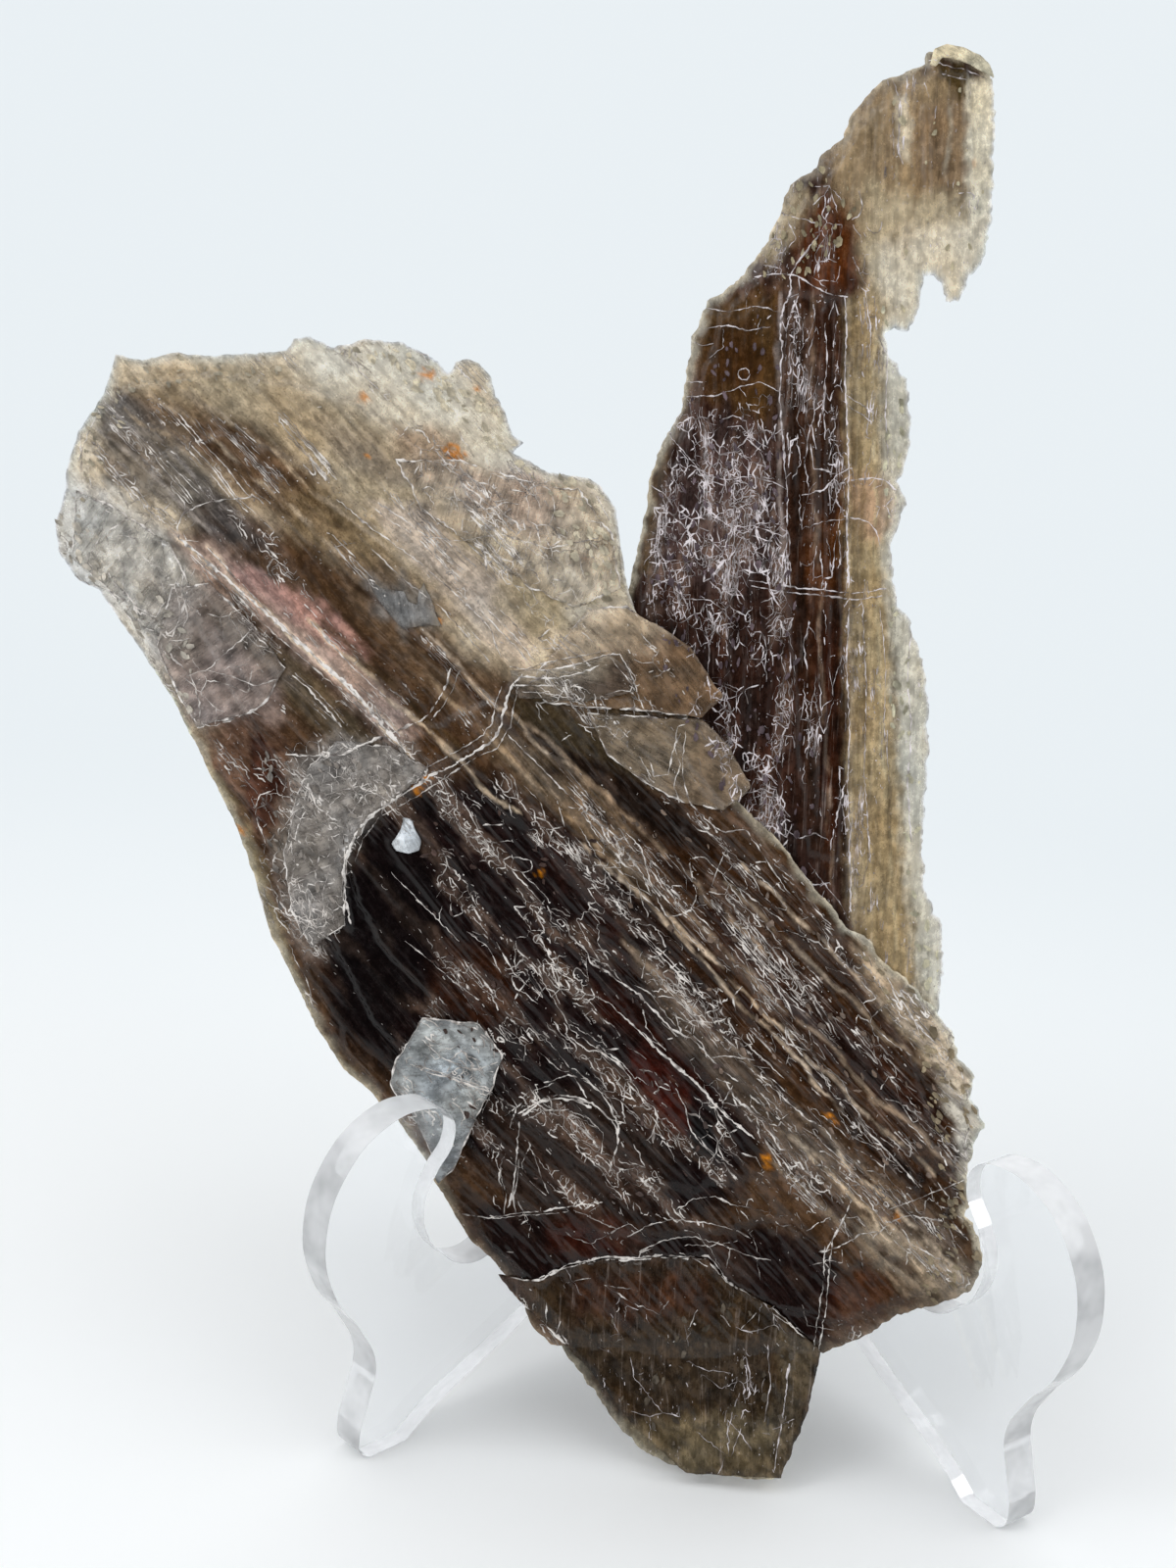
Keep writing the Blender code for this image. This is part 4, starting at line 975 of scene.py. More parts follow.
def pale_rim(p, q, ring, values, strength, seed):
    """Thin margins let the light through: paler, clearer and less cracked."""
    edge = edge_distance(p, q, ring)
    reach = 0.75 + 0.9 * np.clip(fractal(p * 0.5, q * 0.5, seed, 3), -0.6, 1)
    weight = (strength(p, q) * (1 - smooth(edge, 0.15 * reach, 1.1 * reach)))[..., None]
    target = np.concatenate([tone(206, 198, 176), (0.85, 0.35, 0.2, 0.3)])
    values[...] = values * (1 - weight) + target * weight
    brink = (1 - smooth(edge, 0.05, 0.30))[..., None]
    lighter = np.minimum(1.25 * values[..., :3] ** 0.85, 0.8)
    values[..., :3] = values[..., :3] * (1 - brink) + lighter * brink
    values[..., 3:4] *= 1 - 0.85 * brink
    return values


def main_rim(p, q):
    """The margin is palest round the head and at the torn right ends."""
    pale = 0.25 + 0.5 * smooth(q, 12.0, 24.0) + 0.35 * smooth(p + 0.4 * q, 12, 24)
    return np.clip(pale * (1 - 0.8 * smooth(-q, 34, 42)), 0, 0.85)


def upright_rim(p, q):
    """The margin is palest along the right-hand side and at the top."""
    pale = 0.35 + 0.5 * smooth(p, 17.0, 24.0) - 0.2 * smooth(-q, 30, 40)
    return np.clip(pale * (1 - 0.6 * smooth(q, 44.0, 52.0)), 0, 0.85)


def main_colours(p, q):
    """Tone and marks of the main blade."""
    values = banded(p, q, MAIN_GRAIN, coloured(p, q, MAIN_PAINT, clear=0.08))
    values = add_stripes(p, q, values, MAIN_STRIPES, 710)
    values = pale_rim(p, q, MAIN_FINE, values, main_rim, 91)
    return add_rust(p, q, mottled(p, q, MAIN_GRAIN, values, 43))


def upright_colours(p, q):
    """Tone and marks of the upright blade."""
    values = banded(p, q, UPRIGHT_GRAIN, coloured(p, q, UPRIGHT_PAINT, clear=0.08))
    values = add_stripes(p, q, values, UPRIGHT_STRIPES, 760)
    values = pale_rim(p, q, UPRIGHT_FINE, values, upright_rim, 93)
    return add_rust(p, q, mottled(p, q, UPRIGHT_GRAIN, values, 53))


def write_attributes(made, p, q, angle, values, seed, spin=0.0):
    """Store tone, marks and grain coordinates on a mesh for its material."""
    along, across = grain_coordinates(p, q, angle, seed, 1.0)
    count = len(p)
    for name, kind, data in (
            ("tone", "FLOAT_COLOR", np.column_stack([values[:, :3], np.ones(count)])),
            ("marks", "FLOAT_COLOR", values[:, 3:7]),
            ("grain", "FLOAT_VECTOR", np.column_stack([along, across, np.full(count, spin)]))):
        layer = made.data.attributes.new(name, kind, "POINT")
        slot = "color" if kind == "FLOAT_COLOR" else "vector"
        layer.data.foreach_set(slot, np.ascontiguousarray(data, np.float32).ravel())


# ---------------------------------------------------------------- materials
MICA_IOR = 1.58
ACRYLIC_IOR = 1.49


def new_material(name):
    """A new material with its node tree and its surface shader."""
    made = bpy.data.materials.new(name)
    made.use_nodes = True
    return made, made.node_tree, made.node_tree.nodes["Principled BSDF"]


def node(tree, kind, **settings):
    """A node with its settings; a name starting with in_ sets that socket."""
    made = tree.nodes.new(kind)
    for key, value in settings.items():
        if key.startswith("in_"):
            made.inputs[key[3:].replace("_", " ")].default_value = value
        else:
            setattr(made, key, value)
    return made


def ramp(tree, source, low, high, to_low=0.0, to_high=1.0):
    """Smooth rise from to_low to to_high as the source goes from low to high."""
    made = node(tree, "ShaderNodeMapRange", interpolation_type="SMOOTHSTEP", in_From_Min=low,
                in_From_Max=high, in_To_Min=to_low, in_To_Max=to_high)
    tree.links.new(source, made.inputs["Value"])
    return made.outputs["Result"]


def math_node(tree, operation, first, second):
    """Arithmetic on two sockets or numbers."""
    made = node(tree, "ShaderNodeMath", operation=operation)
    for slot, value in zip(made.inputs, (first, second)):
        if isinstance(value, (int, float)):
            slot.default_value = value
        else:
            tree.links.new(value, slot)
    return made.outputs[0]


def mix_colour(tree, factor, first, second, blend="MIX"):
    """Blend two colours, given as sockets or values."""
    made = node(tree, "ShaderNodeMix", data_type="RGBA", blend_type=blend)
    for slot, value in ((made.inputs[0], factor), (made.inputs[6], first),
                        (made.inputs[7], second)):
        if isinstance(value, bpy.types.NodeSocket):
            tree.links.new(value, slot)
        elif isinstance(value, (int, float)):
            slot.default_value = value
        else:
            slot.default_value = (*value, 1.0)
    return made.outputs[2]


def scaled(tree, source, scale, offset=(0.0, 0.0, 0.0)):
    """A vector scaled and shifted."""
    made = node(tree, "ShaderNodeMapping", in_Scale=scale, in_Location=offset)
    tree.links.new(source, made.inputs["Vector"])
    return made.outputs["Vector"]


def noise_node(tree, vector, detail, roughness):
    """Procedural noise on a vector."""
    made = node(tree, "ShaderNodeTexNoise", in_Scale=1.0, in_Detail=detail,
                in_Roughness=roughness)
    tree.links.new(vector, made.inputs["Vector"])
    return made.outputs["Fac"]


def attribute(tree, name, output):
    """A value stored on the mesh."""
    return node(tree, "ShaderNodeAttribute", attribute_name=name).outputs[output]


def object_place(tree):
    """The shaded point in metres."""
    return tree.nodes.new("ShaderNodeTexCoord").outputs["Object"]


def mica_material(name, absorb, density):
    """Layered smoky mica: tone and marks from the mesh, fine marks from noise."""
    made, tree, shader = new_material(name)
    tone_in = attribute(tree, "tone", "Color")
    split = tree.nodes.new("ShaderNodeSeparateColor")
    tree.links.new(attribute(tree, "marks", "Color"), split.inputs[0])
    clear, cracks, speckle = split.outputs[0], split.outputs[1], split.outputs[2]
    streaky = attribute(tree, "marks", "Alpha")
    grain = attribute(tree, "grain", "Vector")

    fibre = noise_node(tree, scaled(tree, grain, (0.30, 6.5, 1.0)), 5.0, 0.65)
    broad = noise_node(tree, scaled(tree, grain, (0.10, 1.4, 1.0), (3.0, 7.0, 0.0)), 5.0, 0.62)
    cloudy = noise_node(tree, scaled(tree, grain, (0.9, 1.2, 1.0), (1.0, 4.0, 0.0)), 5.0, 0.7)
    strong = math_node(tree, "MULTIPLY", streaky, streaky)
    wide = noise_node(tree, scaled(tree, grain, (0.16, 3.0, 1.0), (5.0, 2.0, 0.0)), 4.0, 0.6)
    pale_line = math_node(tree, "MAXIMUM", ramp(tree, fibre, 0.56, 0.66),
                          ramp(tree, wide, 0.57, 0.64))
    pale_line = math_node(tree, "MULTIPLY", pale_line, strong)
    pale_line = math_node(tree, "MULTIPLY", pale_line, ramp(tree, broad, 0.44, 0.58))
    dark_line = math_node(tree, "MAXIMUM", ramp(tree, fibre, 0.47, 0.36),
                          ramp(tree, wide, 0.45, 0.36))
    dark_line = math_node(tree, "MULTIPLY", dark_line, streaky)
    dark_line = math_node(tree, "MULTIPLY", dark_line, ramp(tree, broad, 0.56, 0.42))
    colour = mix_colour(tree, math_node(tree, "MULTIPLY", dark_line, 0.6), tone_in,
                        (0.30, 0.27, 0.25), "MULTIPLY")
    colour = mix_colour(tree, math_node(tree, "MULTIPLY", pale_line, 0.75), colour,
                        (0.20, 0.165, 0.145), "SCREEN")
    gain = node(tree, "ShaderNodeVectorMath", operation="SCALE")
    tree.links.new(colour, gain.inputs[0])
    rich = ramp(tree, cloudy, 0.34, 0.68, 0.60, 1.50)
    calm = ramp(tree, cloudy, 0.34, 0.68, 0.92, 1.07)
    swing = tree.nodes.new("ShaderNodeMix")
    for index, value in ((0, clear), (2, rich), (3, calm)):
        tree.links.new(value, swing.inputs[index])
    tree.links.new(swing.outputs[0], gain.inputs["Scale"])
    colour = gain.outputs[0]

    grit = noise_node(tree, scaled(tree, grain, (6.5, 8.5, 1.0)), 1.5, 0.5)
    dirt = math_node(tree, "MULTIPLY", ramp(tree, grit, 0.60, 0.68), speckle)
    dirt = math_node(tree, "MULTIPLY", dirt, ramp(tree, cloudy, 0.60, 0.48))
    colour = mix_colour(tree, math_node(tree, "MULTIPLY", dirt, 0.9), colour,
                        (0.22, 0.16, 0.11), "MULTIPLY")
    tree.links.new(colour, shader.inputs["Base Color"])

    rough = math_node(tree, "ADD", ramp(tree, cloudy, 0.35, 0.65, 0.10, 0.30),
                      math_node(tree, "MULTIPLY", cracks, 0.10))
    tree.links.new(rough, shader.inputs["Roughness"])
    through = math_node(tree, "MULTIPLY", clear, ramp(tree, fibre, 0.30, 0.70, 1.0, 0.7))
    tree.links.new(through, shader.inputs["Transmission Weight"])
    shader.inputs["IOR"].default_value = MICA_IOR
    shader.inputs["Specular IOR Level"].default_value = 0.20

    height = math_node(tree, "ADD", math_node(tree, "MULTIPLY", fibre, 0.3),
                       math_node(tree, "MULTIPLY", cloudy, 0.5))
    bump = node(tree, "ShaderNodeBump", in_Strength=0.35, in_Distance=0.08 * MM)
    tree.links.new(height, bump.inputs["Height"])
    tree.links.new(bump.outputs["Normal"], shader.inputs["Normal"])

    smoke = node(tree, "ShaderNodeVolumeAbsorption", in_Color=(*absorb, 1.0),
                 in_Density=density)
    tree.links.new(smoke.outputs["Volume"], tree.nodes["Material Output"].inputs["Volume"])
    return made


# ---------------------------------------------------------------- thin bright crack lines
MAIN_LINES = [
    # width in view pixels, brightness, points
    # bright cracks in the core
    (2.2, 0.9, [(577, 941), (584, 956), (600, 969), (603, 983), (620, 990), (631, 1000),
                (647, 1009), (660, 1022), (673, 1036), (687, 1050), (698, 1056), (711, 1062),
                (724, 1078), (740, 1093), (753, 1102)]),
    (2.0, 0.9, [(540, 949), (553, 958), (560, 973), (573, 992), (584, 998), (587, 1007),
                (598, 1013), (611, 1017), (624, 1024), (638, 1038), (651, 1049), (664, 1064)]),
    (2.4, 0.9, [(664, 1064), (678, 1076), (691, 1087), (704, 1098), (716, 1109), (727, 1122),
                (740, 1136), (753, 1147), (770, 1160)]),
    (1.6, 0.8, [(656, 1052), (670, 1068), (686, 1082), (700, 1095), (712, 1106)]),
    (1.9, 0.8, [(608, 1067), (620, 1076), (631, 1084), (642, 1096), (649, 1109), (658, 1124),
                (668, 1129), (671, 1140), (667, 1153), (667, 1164)]),
    (2.3, 0.85, [(584, 1098), (598, 1100), (613, 1113), (624, 1129), (631, 1147), (632, 1162),
                 (627, 1178)]),
    (2.6, 0.85, [(533, 1138), (551, 1123), (569, 1120), (587, 1121), (604, 1129)]),
    (1.8, 0.7, [(540, 1129), (553, 1122), (571, 1116), (589, 1118), (604, 1124)]),
    (2.0, 0.75, [(531, 1144), (528, 1164), (527, 1189), (524, 1213), (518, 1233)]),
    (1.6, 0.6, [(512, 1186), (510, 1204), (514, 1222)]),
    (2.0, 0.85, [(700, 1049), (704, 1041), (716, 1041), (729, 1043), (742, 1038)]),
    (1.8, 0.75, [(742, 1038), (753, 1056), (769, 1071), (784, 1084), (800, 1100)]),
    (2.0, 0.7, [(642, 942), (656, 956), (671, 971), (684, 984), (700, 1000), (716, 1016),
                (731, 1029), (742, 1038)]),
    (1.6, 0.7, [(650, 944), (664, 960), (680, 974), (694, 990), (708, 1004)]),
    (2.0, 0.85, [(729, 1156), (733, 1164), (731, 1176), (724, 1184)]),
    (1.5, 0.7, [(657, 1029), (660, 1047), (669, 1060), (678, 1069)]),
    (1.6, 0.75, [(648, 1004), (664, 1012), (676, 1030), (690, 1046)]),
    (1.8, 0.7, [(427, 1087), (440, 1094), (456, 1098), (478, 1105), (500, 1113)]),
    (1.3, 0.6, [(424, 1084), (440, 1090), (462, 1098), (480, 1108)]),
    (1.4, 0.6, [(456, 1098), (470, 1088), (490, 1090), (509, 1082)]),
    (1.6, 0.6, [(500, 1113), (499, 1122), (492, 1136)]),
    (1.5, 0.7, [(548, 962), (556, 948), (549, 934), (556, 918)]),
    (1.4, 0.7, [(549, 1018), (556, 1006), (566, 1010), (572, 1024)]),
    (1.7, 0.75, [(757, 1176), (772, 1180), (778, 1192), (772, 1204)]),
    # long lines of the slanting bands and the head
    (2.6, 0.9, [(186, 551), (215, 575), (245, 602), (277, 630), (320, 668), (364, 706),
                (396, 745), (425, 775)]),
    (1.8, 0.8, [(213, 560), (245, 592), (280, 630), (330, 676), (372, 716), (410, 752)]),
    (1.6, 0.7, [(196, 566), (235, 604), (290, 655), (350, 706), (405, 760)]),
    (1.6, 0.6, [(317, 634), (338, 656), (360, 680), (395, 712)]),
    (1.5, 0.7, [(345, 510), (380, 540), (430, 575), (480, 620), (500, 640), (512, 672)]),
    (1.4, 0.6, [(380, 560), (410, 590), (450, 620), (478, 650), (500, 676)]),
    (1.8, 0.9, [(385, 512), (400, 522), (418, 534), (436, 548)]),
    (1.4, 0.7, [(378, 516), (396, 530), (420, 545)]),
    (1.4, 0.7, [(428, 458), (430, 470), (431, 480)]),
    (1.4, 0.7, [(434, 460), (433, 470), (436, 482)]),
    (1.3, 0.6, [(470, 548), (500, 574), (530, 602)]),
    (1.5, 0.7, [(490, 622), (512, 645), (530, 664), (546, 684)]),
    (1.4, 0.7, [(498, 622), (524, 648), (548, 676)]),
    (1.3, 0.6, [(508, 620), (530, 642), (552, 668)]),
    (1.5, 0.8, [(522, 500), (536, 502), (540, 518), (538, 530), (548, 536), (552, 556)]),
    (1.3, 0.7, [(536, 502), (550, 494), (562, 500), (566, 520), (560, 536), (548, 536)]),
    (1.3, 0.6, [(560, 536), (576, 548), (590, 566), (596, 590)]),
    (1.3, 0.6, [(440, 548), (470, 552), (510, 545), (560, 560), (612, 548)]),
    (1.2, 0.5, [(500, 520), (515, 512), (530, 515)]),
    # the two creases, and short lines round them
    (2.2, 0.9, [(461, 681), (458, 692), (454, 703), (447, 716), (438, 729), (428, 737),
                (416, 742), (400, 749), (384, 755), (368, 762), (352, 770), (322, 771),
                (292, 770)]),
    (1.5, 0.7, [(470, 684), (464, 700), (452, 722), (440, 736)]),
    (2.4, 1.0, [(534, 688), (524, 700), (518, 713), (514, 730), (512, 745), (504, 756),
                (492, 764), (470, 778), (445, 790), (432, 798), (419, 806), (398, 820),
                (378, 834), (366, 850), (359, 866), (354, 880), (352, 895), (354, 920),
                (359, 943)]),
    (1.6, 0.8, [(530, 700), (524, 722), (522, 742), (508, 764), (484, 774), (450, 798),
                (424, 814), (388, 834), (372, 856), (364, 880)]),
    (1.5, 0.7, [(512, 700), (506, 720), (504, 738), (492, 752), (466, 768), (436, 784)]),
    (1.8, 0.9, [(300, 690), (312, 700), (326, 714), (340, 730), (350, 742)]),
    (1.4, 0.6, [(302, 688), (320, 702), (338, 720), (352, 738)]),
    (1.6, 0.7, [(200, 742), (220, 740), (242, 732), (262, 725), (276, 712)]),
    (1.5, 0.7, [(190, 690), (212, 684), (240, 660), (262, 640)]),
    (1.4, 0.6, [(212, 684), (236, 690), (262, 700), (284, 694)]),
    (1.3, 0.5, [(178, 672), (196, 690), (204, 716), (206, 742)]),
    # left edge and milky edge
    (1.6, 0.6, [(75, 430), (79, 446), (81, 462), (82, 480)]),
    (1.3, 0.6, [(105, 410), (88, 440), (78, 470)]),
    (1.5, 0.6, [(70, 585), (90, 596), (110, 600), (130, 616), (142, 640)]),
    (1.4, 0.6, [(118, 560), (128, 580), (126, 600), (140, 620), (160, 630), (170, 610),
                (164, 590)]),
    (1.8, 0.7, [(186, 551), (182, 538), (188, 524), (204, 516), (230, 510), (262, 508)]),
    (1.4, 0.6, [(150, 520), (170, 534), (186, 551)]),
    (1.4, 0.6, [(190, 575), (188, 600), (192, 630), (184, 650)]),
    # rims of the curled flake and of the two leaves
    (2.0, 0.9, [(520, 680), (540, 684), (562, 684), (584, 680), (606, 672), (622, 668)]),
    (1.8, 0.9, [(528, 690), (548, 692), (570, 692), (590, 688), (612, 680)]),
    (1.7, 0.9, [(524, 700), (548, 700), (574, 700), (596, 702)]),
    (1.5, 0.8, [(534, 706), (556, 708), (580, 712), (596, 716)]),
    (1.8, 0.9, [(622, 668), (632, 667), (641, 682), (646, 694), (650, 706), (656, 722),
                (668, 738)]),
    (1.4, 0.7, [(534, 684), (560, 676), (590, 670), (620, 664)]),
    (1.4, 0.7, [(540, 698), (556, 690), (566, 700), (580, 694), (594, 704)]),
    (1.9, 0.8, [(598, 622), (622, 620), (640, 620), (650, 628), (662, 638), (680, 643),
                (692, 652), (705, 661), (716, 678), (726, 695), (738, 710), (730, 722),
                (717, 732), (692, 728), (665, 725), (640, 722), (600, 720), (560, 716)]),
    (1.8, 0.8, [(692, 741), (704, 738), (717, 732), (730, 746), (744, 762), (752, 780),
                (766, 802), (760, 811), (748, 818), (738, 827)]),
    (1.4, 0.7, [(692, 741), (688, 760), (694, 780), (688, 800), (694, 818)]),
    (1.4, 0.7, [(664, 778), (668, 792), (682, 790), (686, 770), (694, 748)]),
    # lines along the torn right edge and down to the core
    (1.9, 0.8, [(760, 820), (775, 830), (790, 840), (802, 860), (812, 880), (820, 892),
                (830, 905), (842, 922), (855, 940), (873, 952), (888, 966), (899, 976),
                (905, 984), (912, 990), (930, 1005), (948, 1024), (964, 1042)]),
    (1.5, 0.8, [(700, 745), (697, 768), (697, 790), (700, 806), (705, 820), (722, 838),
                (740, 850), (752, 846), (762, 848), (776, 868), (790, 890), (806, 912)]),
    (1.7, 0.9, [(640, 850), (648, 858), (655, 865), (660, 882), (665, 900), (672, 918),
                (680, 935), (696, 932), (708, 926), (722, 922)]),
    (1.5, 0.8, [(640, 852), (630, 858), (632, 870), (646, 876), (656, 890), (664, 912)]),
    (1.5, 0.8, [(705, 876), (718, 874), (730, 885), (752, 904), (780, 926), (800, 940)]),
    (1.4, 0.7, [(704, 880), (706, 896), (712, 912), (706, 928)]),
    (1.4, 0.6, [(400, 890), (420, 910), (446, 936), (470, 960)]),
    (1.3, 0.6, [(415, 960), (440, 980), (466, 1002), (490, 1020)]),
    (1.3, 0.6, [(520, 750), (560, 790), (600, 830), (650, 870)]),
    (1.8, 0.9, [(530, 1135), (545, 1126), (563, 1120), (586, 1120), (607, 1126), (620, 1138),
                (630, 1149), (632, 1164), (626, 1182), (621, 1199)]),
    (1.5, 0.8, [(556, 1104), (580, 1096), (602, 1104), (622, 1120), (632, 1140)]),
    (1.3, 0.7, [(536, 1142), (556, 1132), (580, 1132), (602, 1140), (616, 1156), (614, 1176)]),
    (1.3, 0.6, [(520, 1150), (528, 1130), (546, 1112), (566, 1104)]),
    # the blade's foot and the start of the tail
    (1.7, 0.8, [(500, 1242), (530, 1238), (560, 1234), (590, 1229), (616, 1226)]),
    (1.4, 0.7, [(470, 1240), (500, 1244), (540, 1240), (580, 1236)]),
    (1.4, 0.6, [(505, 1180), (512, 1200), (516, 1222), (514, 1240)]),
    (1.4, 0.6, [(530, 1182), (528, 1204), (524, 1224), (526, 1240)]),
    (1.5, 0.7, [(640, 1262), (664, 1248), (690, 1244), (716, 1246), (744, 1252), (766, 1264)]),
    (1.5, 0.7, [(652, 1278), (676, 1266), (704, 1262), (732, 1268), (760, 1280), (786, 1286)]),
    (1.4, 0.7, [(690, 1234), (708, 1222), (730, 1220), (752, 1230), (764, 1244)]),
    (1.9, 0.9, [(551, 1305), (564, 1298), (577, 1292), (600, 1286), (622, 1282), (650, 1284),
                (672, 1281), (698, 1283), (722, 1282), (734, 1294), (742, 1308)]),
    (1.5, 0.8, [(849, 1264), (846, 1300), (842, 1340), (835, 1384)]),
    (1.3, 0.7, [(842, 1270), (840, 1310), (834, 1350), (830, 1380)]),
    (1.4, 0.7, [(835, 1278), (858, 1270), (880, 1258), (896, 1256)]),
    # short lines across the streaked side
    (1.5, 0.8, [(700, 1050), (716, 1062), (722, 1080), (734, 1076), (752, 1078), (770, 1080)]),
    (1.5, 0.7, [(760, 1085), (790, 1110), (822, 1140), (840, 1150)]),
    (1.4, 0.7, [(690, 1110), (700, 1130), (704, 1150), (716, 1166), (730, 1176), (722, 1192)]),
    (1.4, 0.7, [(730, 1130), (742, 1150), (732, 1166), (740, 1184)]),
    (1.4, 0.7, [(985, 1110), (980, 1130), (992, 1146), (984, 1170), (990, 1196)]),
    (1.4, 0.6, [(905, 1235), (930, 1226), (955, 1216), (985, 1205)]),
    (1.3, 0.6, [(890, 1262), (910, 1246), (930, 1240), (960, 1246), (985, 1262)]),
    (1.3, 0.6, [(960, 1240), (972, 1262), (980, 1290), (984, 1312)]),
    (1.4, 0.6, [(420, 1085), (446, 1092), (472, 1100), (500, 1110)]),
    (1.3, 0.6, [(432, 1060), (452, 1078), (478, 1090), (508, 1092)]),
    # crackled sheet and left margin
    (1.3, 0.6, [(340, 880), (330, 910), (334, 940), (348, 962)]),
    (1.3, 0.6, [(300, 900), (322, 888), (346, 880), (362, 866)]),
    (1.3, 0.6, [(286, 850), (300, 830), (322, 816), (350, 806), (380, 800)]),
    (1.3, 0.6, [(270, 920), (290, 936), (316, 944), (340, 960)]),
    (1.3, 0.5, [(292, 960), (300, 980), (312, 1000), (318, 1030)]),
    (1.3, 0.5, [(322, 1040), (318, 1062), (330, 1086)]),
]
UPRIGHT_LINES = [
    # the slope under the top
    (1.9, 0.9, [(770, 282), (786, 280), (800, 280), (815, 282), (830, 292), (845, 300),
                (865, 303)]),
    (1.7, 0.9, [(806, 280), (808, 296), (800, 312), (796, 330), (798, 360), (796, 400)]),
    (1.5, 0.8, [(815, 282), (816, 300), (808, 318), (804, 332)]),
    (1.6, 0.8, [(835, 240), (824, 255), (812, 270), (806, 282)]),
    (1.3, 0.7, [(790, 212), (812, 222), (835, 228), (836, 240)]),
    (1.4, 0.7, [(722, 334), (742, 332), (765, 338), (786, 334)]),
    (1.3, 0.6, [(716, 312), (744, 318), (772, 312), (794, 318)]),
    (1.4, 0.8, [(700, 404), (730, 404), (752, 396), (776, 390), (796, 400)]),
    (1.3, 0.7, [(704, 345), (716, 352), (728, 350)]),
    # along the fold strip
    (1.6, 0.8, [(796, 400), (797, 430), (800, 470), (804, 510), (802, 560), (806, 600)]),
    (1.6, 0.8, [(862, 300), (864, 340), (862, 380), (864, 430), (866, 480), (864, 540),
                (866, 600)]),
    (1.4, 0.7, [(866, 620), (864, 680), (867, 740), (865, 800), (867, 860), (868, 930)]),
    (1.3, 0.6, [(842, 330), (844, 370), (840, 410), (842, 450)]),
    (1.4, 0.7, [(860, 410), (875, 420), (890, 430)]),
    (1.4, 0.7, [(862, 402), (878, 412), (892, 422)]),
    # across it and the olive strip
    (1.7, 0.9, [(818, 505), (830, 503), (840, 500), (850, 490), (858, 482), (870, 477)]),
    (1.7, 0.9, [(855, 495), (868, 490), (880, 488), (893, 488), (905, 490), (915, 500)]),
    (1.5, 0.8, [(865, 528), (875, 529), (885, 532), (891, 538), (895, 545), (898, 556)]),
    (1.3, 0.6, [(828, 536), (846, 532), (862, 530)]),
    (1.6, 0.8, [(764, 592), (790, 596), (815, 600), (840, 602), (865, 605), (885, 604),
                (905, 600)]),
    (1.4, 0.7, [(766, 598), (800, 604), (840, 608), (872, 612), (900, 608)]),
    # the crackled lower left
    (1.3, 0.7, [(680, 438), (690, 452), (704, 468), (716, 484), (730, 492)]),
    (1.4, 0.8, [(716, 484), (742, 490), (762, 486), (790, 492), (804, 500)]),
    (1.4, 0.8, [(690, 520), (706, 530), (724, 524), (746, 538), (770, 536), (800, 548)]),
    (1.3, 0.7, [(664, 590), (684, 596), (700, 612), (722, 612), (740, 622)]),
    (1.3, 0.7, [(664, 494), (680, 506), (688, 520)]),
    (1.3, 0.7, [(734, 430), (748, 424), (762, 430), (764, 446), (752, 458)]),
    (1.3, 0.7, [(742, 436), (756, 434), (766, 446)]),
    (1.3, 0.6, [(720, 640), (724, 664), (722, 690), (726, 716)]),
    (1.3, 0.6, [(800, 846), (816, 856), (832, 850), (846, 858)]),
    (1.3, 0.6, [(825, 880), (840, 900), (856, 920), (866, 940)]),
    # down the right
    (1.3, 0.6, [(906, 346), (904, 420), (906, 480)]),
    (1.3, 0.6, [(898, 620), (904, 680), (902, 740), (908, 800)]),
    (1.3, 0.5, [(880, 610), (884, 700), (882, 790), (888, 880)]),
    (1.4, 0.7, [(930, 640), (926, 690), (930, 740), (926, 800), (930, 860)]),
    # the top
    (1.3, 0.6, [(948, 60), (966, 66), (986, 70), (1006, 78)]),
    (1.3, 0.6, [(950, 72), (972, 78), (996, 84)]),
    (1.3, 0.6, [(945, 66), (944, 84), (948, 100)]),
    (1.3, 0.5, [(912, 80), (920, 110), (916, 150), (922, 170)]),
    (1.4, 0.6, [(884, 230), (890, 238), (898, 236), (900, 226)]),
    # the tail
    (1.4, 0.8, [(805, 1390), (802, 1420), (796, 1460), (790, 1500)]),
    (1.3, 0.6, [(783, 1370), (786, 1410), (780, 1450)]),
    (1.2, 0.5, [(700, 1388), (724, 1398), (746, 1400)]),
    (1.2, 0.5, [(742, 1448), (756, 1462), (768, 1480)]),
]
CIRCLE_MARK = (759, 382, 6.0)   # x, y and radius of a small round mark

